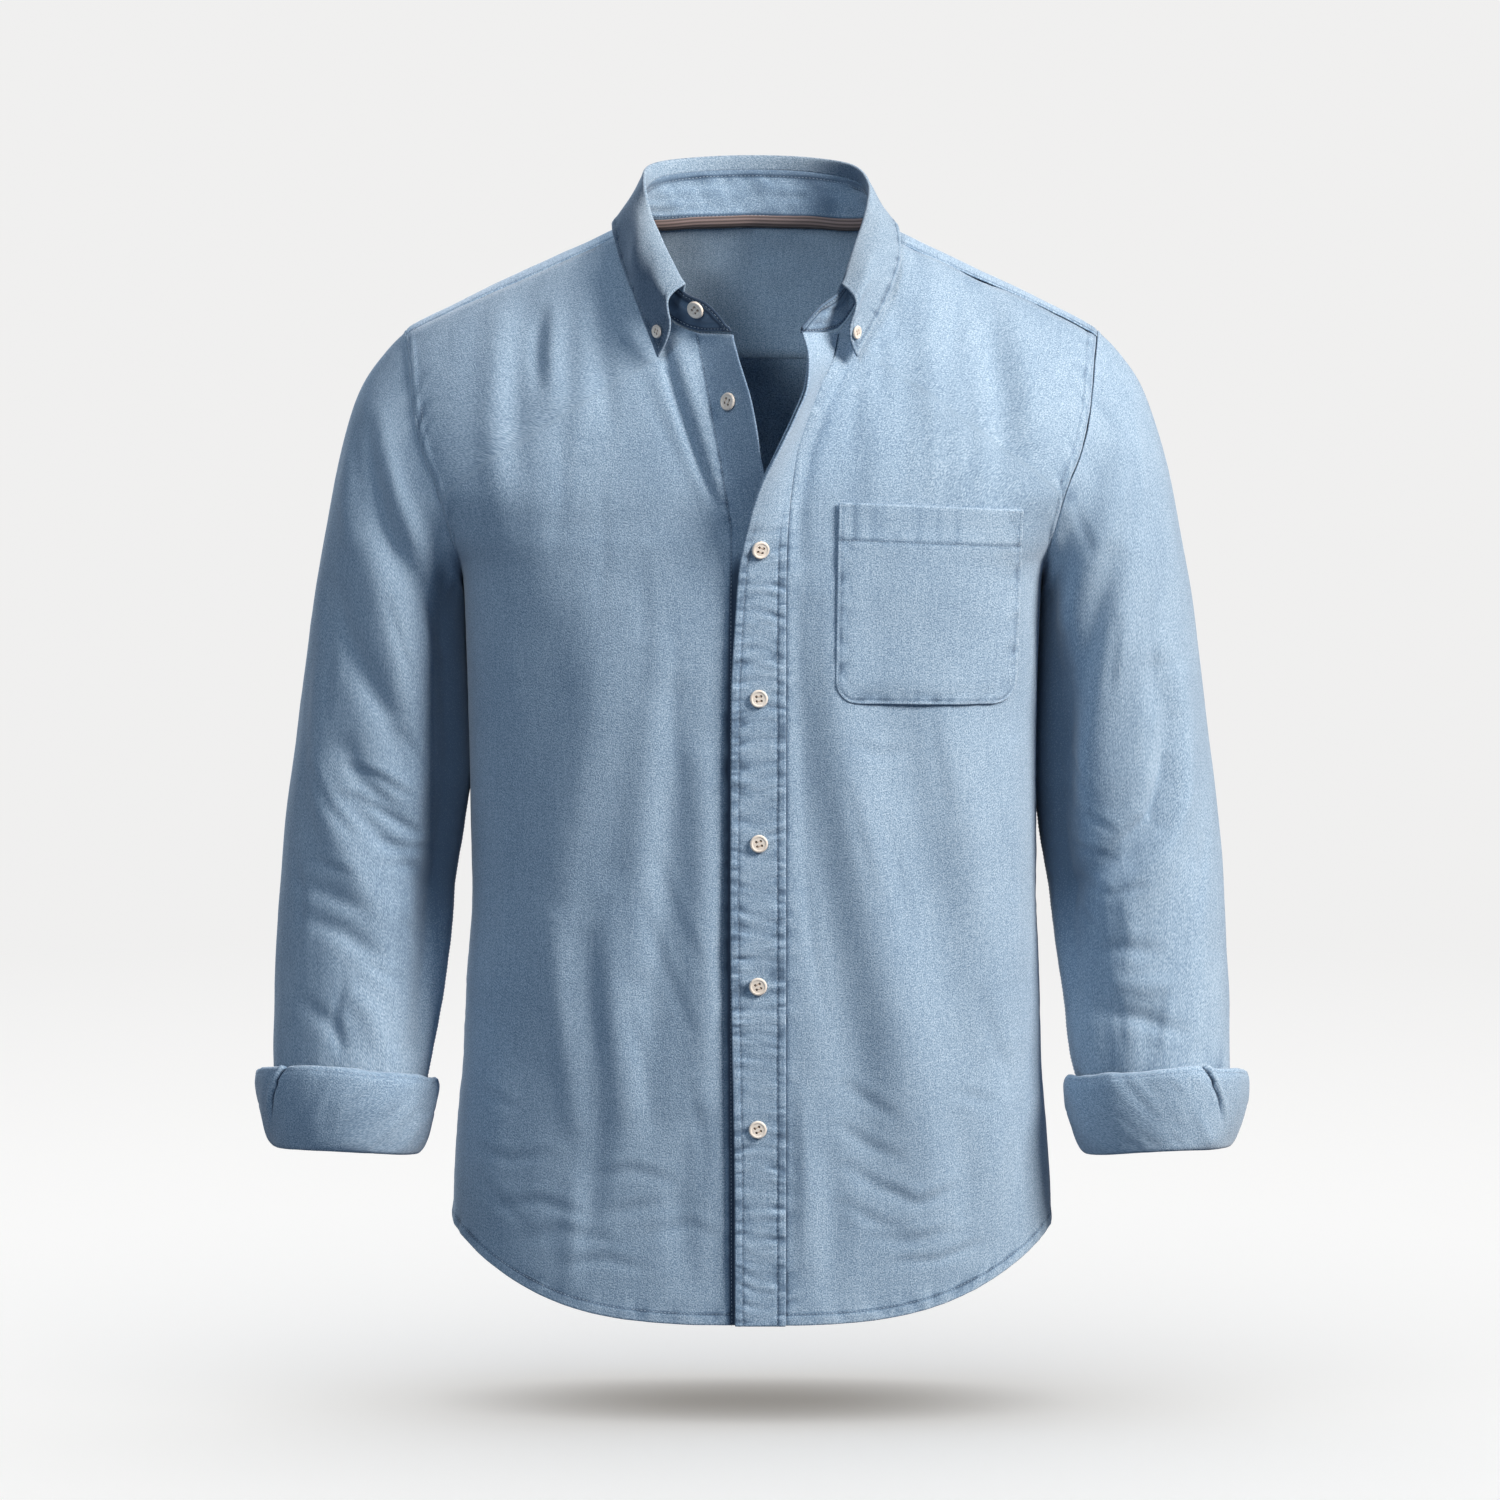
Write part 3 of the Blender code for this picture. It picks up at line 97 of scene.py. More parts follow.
def through(rows, places):  # the other columns at places along the first, on a smooth curve
    rows = np.array(rows, float)
    keys = rows[:, 0]
    slopes = np.gradient(rows[:, 1:], keys, axis=0)
    places = np.clip(places, keys[0], keys[-1])
    cell = np.clip(np.searchsorted(keys, places, side="right") - 1, 0, len(keys) - 2)
    step = (keys[cell + 1] - keys[cell])[:, None]
    t = (places[:, None] - keys[cell][:, None]) / step
    return hermite(t, rows[cell, 1:], rows[cell + 1, 1:], step * slopes[cell], step * slopes[cell + 1])


def unit(vectors):
    return vectors / np.maximum(np.linalg.norm(vectors, axis=-1), 1e-9)[..., None]


bumps = {"cells": 97, "start": (31.3, 17.7)}


def softNoise(u, v, size, seed, loop=None):  # smooth bumps from -1 to 1, closing on a loop's length
    most, (left, foot) = bumps["cells"], bumps["start"]
    lattice = np.random.default_rng(seed).random((most, most)) * 2 - 1
    cells = max(2, min(most, round(loop / size))) if loop else most
    step = loop / cells if loop else size
    x, y = np.broadcast_arrays(np.asarray(u, float) / step + left, np.asarray(v, float) / size + foot)
    i, j = np.floor(x).astype(int), np.floor(y).astype(int)
    fx, fy = x - i, y - j
    fx, fy = fx * fx * (3 - 2 * fx), fy * fy * (3 - 2 * fy)
    here, after, j, up = i % cells, (i + 1) % cells, j % most, (j + 1) % most
    low = lattice[here, j] * (1 - fx) + lattice[after, j] * fx
    high = lattice[here, up] * (1 - fx) + lattice[after, up] * fx
    return low * (1 - fy) + high * fy


def layers(u, v, rows, seed=0, loop=None):  # rows of strength, size, lean, stretch and the row's own seed
    return sum(strength * softNoise(u + lean * v, v * stretch, size, own + seed, loop)
               for strength, size, lean, stretch, own in rows)


washed = {  # fine upright creases of washed cotton, with a few level ones
    "upright": [(0.22, 9.0, 0, 0.12, 0), (0.10, 4.6, 0, 0.16, 1)], "level": [(0.10, 7.0, 0, 1, 2)],
    "levelStretch": 0.14, "patches": [(0.5, 48, 0, 0.6, 3)], "least": 0.6,
}


def crinkle(u, v, seed, loop=None):
    stretch = washed["levelStretch"]
    level = layers(u * stretch, v, washed["level"], seed, loop and loop * stretch)
    strength = washed["least"] + layers(u, v, washed["patches"], seed, loop)
    return (layers(u, v, washed["upright"], seed, loop) + level) * strength


foldForm = {"ends": 0.12, "fade": 0.8, "bankAt": 1.7, "bankWidth": 0.9}


def foldShift(x, z, folds):  # rows of width, depth, bank and the points of the fold's path
    shift = np.zeros(np.shape(x))
    for width, depth, bank, *path in folds:
        path = np.array(path, float)
        steps = np.diff(path, axis=0)
        lengths = np.linalg.norm(steps, axis=1)
        run = np.concatenate([[0.0], np.cumsum(lengths)]) / lengths.sum()
        nearest = np.full(shift.shape, np.inf)
        along = np.zeros(shift.shape)
        side = np.ones(shift.shape)
        for k, step in enumerate(steps):
            rx, rz = x - path[k, 0], z - path[k, 1]
            t = np.clip((rx * step[0] + rz * step[1]) / lengths[k] ** 2, 0, 1)
            away = np.hypot(rx - t * step[0], rz - t * step[1])
            closer = away < nearest
            nearest = np.where(closer, away, nearest)
            along = np.where(closer, run[k] + t * (run[k + 1] - run[k]), along)
            side = np.where(closer, np.sign(step[0] * rz - step[1] * rx), side)
        fade = np.sin(np.pi * (foldForm["ends"] + (1 - 2 * foldForm["ends"]) * along)) ** foldForm["fade"]
        hollow = bell(nearest, 0, width)
        raised = bell(nearest * side, foldForm["bankAt"] * width, foldForm["bankWidth"] * width)
        shift -= depth * fade * (hollow - bank * raised)
    return shift


# cloth sheets

# shade: how much darker the rounded rim is painted, painted shade on the cloth's edges
rimForm = {"reach": 0.35, "shade": 0.5}


def gridNormals(points, closed=False, mask=None):
    after = np.concatenate([points, points[:, :1]], 1) if closed else points
    a, b, c, d = after[:-1, :-1], after[:-1, 1:], after[1:, 1:], after[1:, :-1]
    face = np.cross(c - a, d - b)
    if mask is not None:
        face = face * mask[..., None]
    total = np.zeros_like(after)
    for rows, columns in ((slice(0, -1), slice(0, -1)), (slice(0, -1), slice(1, None)),
                          (slice(1, None), slice(1, None)), (slice(1, None), slice(0, -1))):
        total[rows, columns] += face
    if closed:
        total[:, 0] += total[:, -1]
        total = total[:, :-1]
    return unit(total)


def lengthsOf(points, axis):
    steps = np.linalg.norm(np.diff(points, axis=axis), axis=-1)
    return np.concatenate([np.zeros_like(np.take(steps, [0], axis)), np.cumsum(steps, axis)], axis)


def newSheet(points, middle, wall, closed=False, mask=None):
    normals = gridNormals(points, closed, mask)
    turned = float(np.sum(normals * (points - middle))) < 0
    loop = np.concatenate([points, points[:, :1]], 1) if closed else points
    return {"points": points, "normals": -normals if turned else normals, "turned": turned,
            "wall": wall, "closed": closed, "mask": mask, "tone": np.zeros(points.shape[:2]),
            "across": lengthsOf(loop, 1), "along": lengthsOf(points, 0)}


def raiseSheet(sheet, shift, tone=0.0):
    sheet["points"] = sheet["points"] + sheet["normals"] * shift[..., None]
    sheet["tone"] = sheet["tone"] + tone
    normals = gridNormals(sheet["points"], sheet["closed"], sheet["mask"])
    sheet["normals"] = -normals if sheet["turned"] else normals


def everySecond(count, closed):
    chosen = list(range(0, count, 2))
    if not closed and chosen[-1] != count - 1:
        chosen.append(count - 1)
    return np.array(chosen + [count] if closed else chosen)


def cellsOf(grid):
    return np.stack([grid[:-1, :-1], grid[:-1, 1:], grid[1:, 1:], grid[1:, :-1]], 2)


def openEdges(quads, count):  # the edges of one quad only, in its order
    starts, ends = quads.ravel(), np.roll(quads, -1, axis=1).ravel()
    keys = np.minimum(starts, ends) * count + np.maximum(starts, ends)
    first, times = np.unique(keys, return_index=True, return_counts=True)[1:]
    return starts[first[times == 1]], ends[first[times == 1]]


def sheetObject(name, sheet, material):  # an outer face, a rounded rim and a coarser inner face
    points, normals, closed = sheet["points"], sheet["normals"], sheet["closed"]
    rows, columns = points.shape[:2]
    count = rows * columns
    number = np.arange(count).reshape(rows, columns)
    across, along = sheet["across"], sheet["along"]
    if closed:
        number = np.concatenate([number, number[:, :1]], 1)
        along = np.concatenate([along, along[:, :1]], 1)
    spots = np.stack([across, along], -1)
    mask = np.ones((rows - 1, number.shape[1] - 1)) if sheet["mask"] is None else sheet["mask"]
    coarse = np.ix_(everySecond(rows, False), everySecond(columns, closed))
    faces, uvs = [], []
    for grid, spot, keep in ((number, spots, mask > 0),
                             (number[coarse], spots[coarse], mask[coarse[0][:-1], coarse[1][:, :-1]] > 0)):
        faces.append(cellsOf(grid)[keep])
        uvs.append(cellsOf(spot)[keep])
        if sheet["turned"]:
            faces[-1], uvs[-1] = faces[-1][:, ::-1], uvs[-1][:, ::-1]
    p, q = openEdges(faces[0], count)
    flat, facing = points.reshape(-1, 3), normals.reshape(-1, 3)
    away = np.cross(unit(flat[q] - flat[p]), facing[p])
    pull = np.zeros((count, 3))
    np.add.at(pull, p, away)
    np.add.at(pull, q, away)
    rimPoints = np.unique(np.concatenate([p, q]))
    rim = np.zeros(count, int)
    rim[rimPoints] = np.arange(len(rimPoints)) + 2 * count
    middle = flat[rimPoints] + unit(pull[rimPoints]) * sheet["wall"] * rimForm["reach"]
    thick = facing * sheet["wall"] / 2
    vertices = np.vstack([flat + thick, flat - thick, middle])
    spotOf = spots[:, :columns].reshape(-1, 2)
    a, b = openEdges(faces[1], count)
    over = b % columns - a % columns
    over = (over + columns // 2) % columns - columns // 2 if closed else over
    down = b // columns - a // columns
    double = np.abs(over) + np.abs(down) == 2
    half = (a // columns + down // 2) * columns + (a % columns + over // 2) % columns
    near = np.where(double, half, a)
    a2, half = a[double], half[double]
    inner, innerUv = faces[1][:, ::-1] + count, uvs[1][:, ::-1]
    quads = np.vstack([faces[0], inner, np.stack([q, p, rim[p], rim[q]], 1),
                       np.stack([rim[b], rim[near], a + count, b + count], 1)])
    quadUvs = np.vstack([uvs[0], innerUv, spotOf[np.stack([q, p, p, q], 1)],
                         spotOf[np.stack([b, near, a, b], 1)]])
    corners = np.stack([rim[half], rim[a2], a2 + count], 1)
    cornerUvs = spotOf[np.stack([half, a2, a2], 1)]
    tone = sheet["tone"].ravel()
    # the rounded rim is painted darker: painted shade on the cloth's edges
    tones = np.concatenate([tone, tone, tone[rimPoints] - rimForm["shade"]])
    used = np.zeros(len(vertices), bool)
    used[quads.ravel()] = True
    place = np.cumsum(used) - 1
    return meshObject(name, vertices[used], [place[quads], place[corners]], [quadUvs * mm, cornerUvs * mm],
                      tones[used], material)


def meshObject(name, vertices, faces, uvs, tones, material):
    mesh = bpy.data.meshes.new(name)
    mesh.vertices.add(len(vertices))
    mesh.vertices.foreach_set("co", (vertices * mm).astype(np.float32).ravel())
    corners = np.concatenate([part.ravel() for part in faces])
    sides = np.concatenate([np.full(len(part), part.shape[1]) for part in faces])
    mesh.loops.add(len(corners))
    mesh.loops.foreach_set("vertex_index", corners.astype(np.int32))
    mesh.polygons.add(len(sides))
    mesh.polygons.foreach_set("loop_start", (np.cumsum(sides) - sides).astype(np.int32))
    mesh.update(calc_edges=True)
    if uvs is not None:
        layer = mesh.uv_layers.new(name="cloth")
        layer.data.foreach_set("uv", np.concatenate([part.ravel() for part in uvs]).astype(np.float32))
    if tones is not None:
        mark = mesh.attributes.new("tone", "FLOAT", "POINT")
        mark.data.foreach_set("value", np.asarray(tones, np.float32))
    mesh.materials.append(material)
    mesh.shade_smooth()
    piece = bpy.data.objects.new(name, mesh)
    bpy.context.scene.collection.objects.link(piece)
    return piece


sheets = {}
stitchLines = []
stitching = {"pitch": 2.6, "length": 1.8, "thickness": 0.36, "lift": 0.1,
             "buttonPitch": 0.3, "buttonLength": 0.8, "buttonThread": 0.3}


def sew(sheet, rows, columns):  # a line of stitches on a sheet's outer face, by row and column
    points = sheet["points"] + sheet["normals"] * (sheet["wall"] / 2 + stitching["lift"])
    if sheet["closed"]:
        points = np.concatenate([points, points[:, :1]], 1)
    rows, columns = np.broadcast_arrays(np.asarray(rows, float), np.asarray(columns, float))
    i = np.clip(np.floor(rows).astype(int), 0, points.shape[0] - 2)
    j = np.clip(np.floor(columns).astype(int), 0, points.shape[1] - 2)
    s, t = (rows - i)[:, None], (columns - j)[:, None]
    stitchLines.append((points[i, j] * (1 - t) + points[i, j + 1] * t) * (1 - s)
                       + (points[i + 1, j] * (1 - t) + points[i + 1, j + 1] * t) * s)


def placesAt(lines, distances):  # on each line of lengths, the place at its distance
    distances = np.broadcast_to(distances, len(lines))
    return np.array([np.interp(far, line, np.arange(len(line))) for far, line in zip(distances, lines)])


def sewAlong(sheet, along, columns, distances):
    sew(sheet, placesAt(along[:, columns].T, distances), columns)


def sewDown(sheet, across, rows, distances):
    sew(sheet, rows, placesAt(across[rows], distances))


seamKeys = ("band", "lines", "lift", "groove", "pucker", "wave", "reach", "fade", "grooveShade")
seams = {key: dict(zip(seamKeys, row)) for key, row in {
    "hem": (8.0, [7.0], 0.5, 0.4, 0.9, 6.0, 7.0, 0.5, 1.4),
    "armhole": (7.0, [1.4, 6.2], 0.6, 0.4, 0.8, 6.0, 10.0, 0.5, 0.5),
    "side": (5.0, [4.2], 0.35, 0.3, 0.45, 10.0, 9.0, 0.3, 0.5),
    "underarm": (5.0, [4.2], 0.3, 0.3, 0.45, 10.0, 9.0, 0.3, 0.5),
    "frontTop": (1.0, [], 0.0, 0.3, 0.35, 11.0, 16.0, 0.15, 1.4),
    "neck": (1.0, [], 0.0, 0.3, 0.5, 8.0, 9.0, 0.1, 1.4),
    "strip": (1.0, [1.2], 0.15, 0.3, 0.6, 5.0, 7.0, 0.2, 1.4),
    "yoke": (3.0, [1.6], 0.3, 0.35, 0.45, 9.0, 8.0, 0.4, 1.4),
    "sleeveHead": (1.0, [], 0.0, 0.3, 0.8, 9.0, 14.0, 0.25, 1.4),
    "cuff": (1.0, [], 0.0, 0.3, 0.9, 13.0, 20.0, 0.1, 1.4)}.items()}


def seamRelief(distance, along, seed, seam, on, loop):
    # a pressed band beside a seam, grooves under its stitching, puckers that die away; painted shade in the
    # pucker hollows and along the stitch grooves, lighter wear at the seam
    band, wave = seam["band"], seam["wave"]
    shift = seam["lift"] * (1 - blend(band - 1.2, band + 1.0, distance)) * blend(-0.5, 0.8, distance)
    for line in seam["lines"]:
        shift = shift - seam["groove"] * bell(distance, line, 0.9)
    lean = softNoise(along, 0, 60, seed + 5, loop) * 0.8
    ripple = layers(along + lean * distance, distance, [(1, wave, 0, 0.22, 0), (0.5, wave * 0.45, 0, 0.3, 1)],
                    seed, loop)
    strength = 0.55 + 0.45 * softNoise(along, 0, wave * 6, seed + 2, loop)
    middle = band * 0.5
    spread = bell(distance, middle, np.where(distance < middle, middle + 1.5, seam["reach"]))
    pucker = seam["pucker"] * ripple * strength * spread
    # painted shade in the pucker hollows, a faint painted highlight on their crests; the seam and its band
    # lighter with wear
    tone = (1.5 * np.minimum(pucker, 0.1) + 0.45 * seam["fade"] * bell(distance, 0, 1.6)
            + 0.20 * seam["fade"] * (1 - blend(band, band + 2, distance)))
    # painted shade along each stitch groove
    for line in seam["lines"]:
        tone = tone - seam["grooveShade"] * bell(distance, line, 1.1)
    return (shift + pucker) * on, tone * on


def withSeams(shift, tone, rows, more=0, loop=None):  # rows of seam, distance, place along it, seed, share
    for key, distance, along, seed, on in rows:
        raised, light = seamRelief(distance, along, seed + more, seams[key], on, loop)
        shift, tone = shift + raised, tone + light
    return shift, tone


# the body of the shirt

torso = {
    "capPower": 1.8, "ridgeY": 14.0, "underarmZ": -226.0, "sideHemZ": -652.0,
    "hemDip": 56.0, "hemPower": 3.4, "sideHold": 4, "hemRun": 0.3,
    "sections": [  # z, half width, front, back, power
        (60, 236, 84, 80, 2.3), (0, 238, 90, 92, 2.3), (-60, 241, 98, 99, 2.3),
        (-100, 243, 104, 103, 2.3), (-140, 242, 108, 106, 2.3), (-165, 236, 110, 108, 2.35),
        (-185, 219, 111, 109, 2.5), (-200, 204, 112, 109, 2.7), (-213, 193, 112, 109, 2.85),
        (-226, 189.4, 112, 109, 2.9), (-260, 187.6, 112, 108, 2.8), (-320, 186.0, 111, 106, 2.7),
        (-376, 185.3, 110, 104, 2.6), (-430, 185.0, 109, 102, 2.5), (-496, 188.0, 107, 101, 2.5),
        (-536, 189.5, 105, 101, 2.5), (-603, 194.6, 101, 99, 2.5), (-650, 196.3, 98, 97, 2.5),
        (-730, 197.0, 95, 95, 2.5)],
    "shoulder": [  # x, z, reach to the front, reach to the back
        (0, 42, 190, 150), (40, 29, 190, 150), (62, 17.5, 188, 148), (80, 8.4, 184, 145),
        (99, -0.9, 176, 140), (141, -20.6, 154, 126), (170, -33.7, 138, 115), (197, -46.9, 122, 105),
        (221.5, -60.1, 108, 95), (236.6, -73.0, 100, 90), (262, -104.0, 90, 85)],
    "armhole": [  # z, x
        (-64.0, 227.0), (-80, 224.4), (-110, 221.0), (-139, 214.6), (-160, 206.0), (-185, 198.2),
        (-211, 191.6), (-226, 189.4)],
}
torsoHalf = curveOf(torso["sections"], 0, 1)
torsoFront = curveOf(torso["sections"], 0, 2)
torsoBack = curveOf(torso["sections"], 0, 3)
torsoPower = curveOf(torso["sections"], 0, 4)
ridgeZ = curveOf(torso["shoulder"], 0, 1)
reachFront = curveOf(torso["shoulder"], 0, 2)
reachBack = curveOf(torso["shoulder"], 0, 3)
armholeX = curveOf(torso["armhole"], 0, 1)


def sectionY(x, z, face):
    across = np.clip(np.abs(x) / torsoHalf(z), 0, 1)
    depth = np.where(face < 0, torsoFront(z), torsoBack(z))
    return face * depth * (1 - across ** torsoPower(z)) ** (1 / torsoPower(z))


def reachOf(x, face):
    return np.where(face < 0, reachFront(np.abs(x)), reachBack(np.abs(x)))


def turnAt(x, z, face):  # 0 on the shoulder line, 1 on the chest or back
    drop = np.clip((ridgeZ(np.abs(x)) - z) / reachOf(x, face), 0, 1)
    return (1 - (1 - drop) ** torso["capPower"]) ** (1 / torso["capPower"])


def torsoPoint(x, z, face):
    x, z = np.broadcast_arrays(np.asarray(x, float), np.asarray(z, float))
    turn = turnAt(x, z, face)
    return np.stack([x, torso["ridgeY"] + turn * (sectionY(x, z, face) - torso["ridgeY"]), z], -1)


def overShoulder(x, turn):
    face = np.where(turn < 0, -1, 1)
    drop = 1 - (1 - np.clip(np.abs(turn), 0, 1) ** torso["capPower"]) ** (1 / torso["capPower"])
    z = ridgeZ(np.abs(x)) - reachOf(x, face) * drop
    y = torso["ridgeY"] + np.abs(turn) * (sectionY(x, z, face) - torso["ridgeY"])
    return np.stack([x, y, z], -1)


def hemZ(x):
    across = np.clip(np.abs(x) / torsoHalf(torso["sideHemZ"]), 0, 1)
    return torso["sideHemZ"] - torso["hemDip"] * (1 - across ** torso["hemPower"])


# fronts

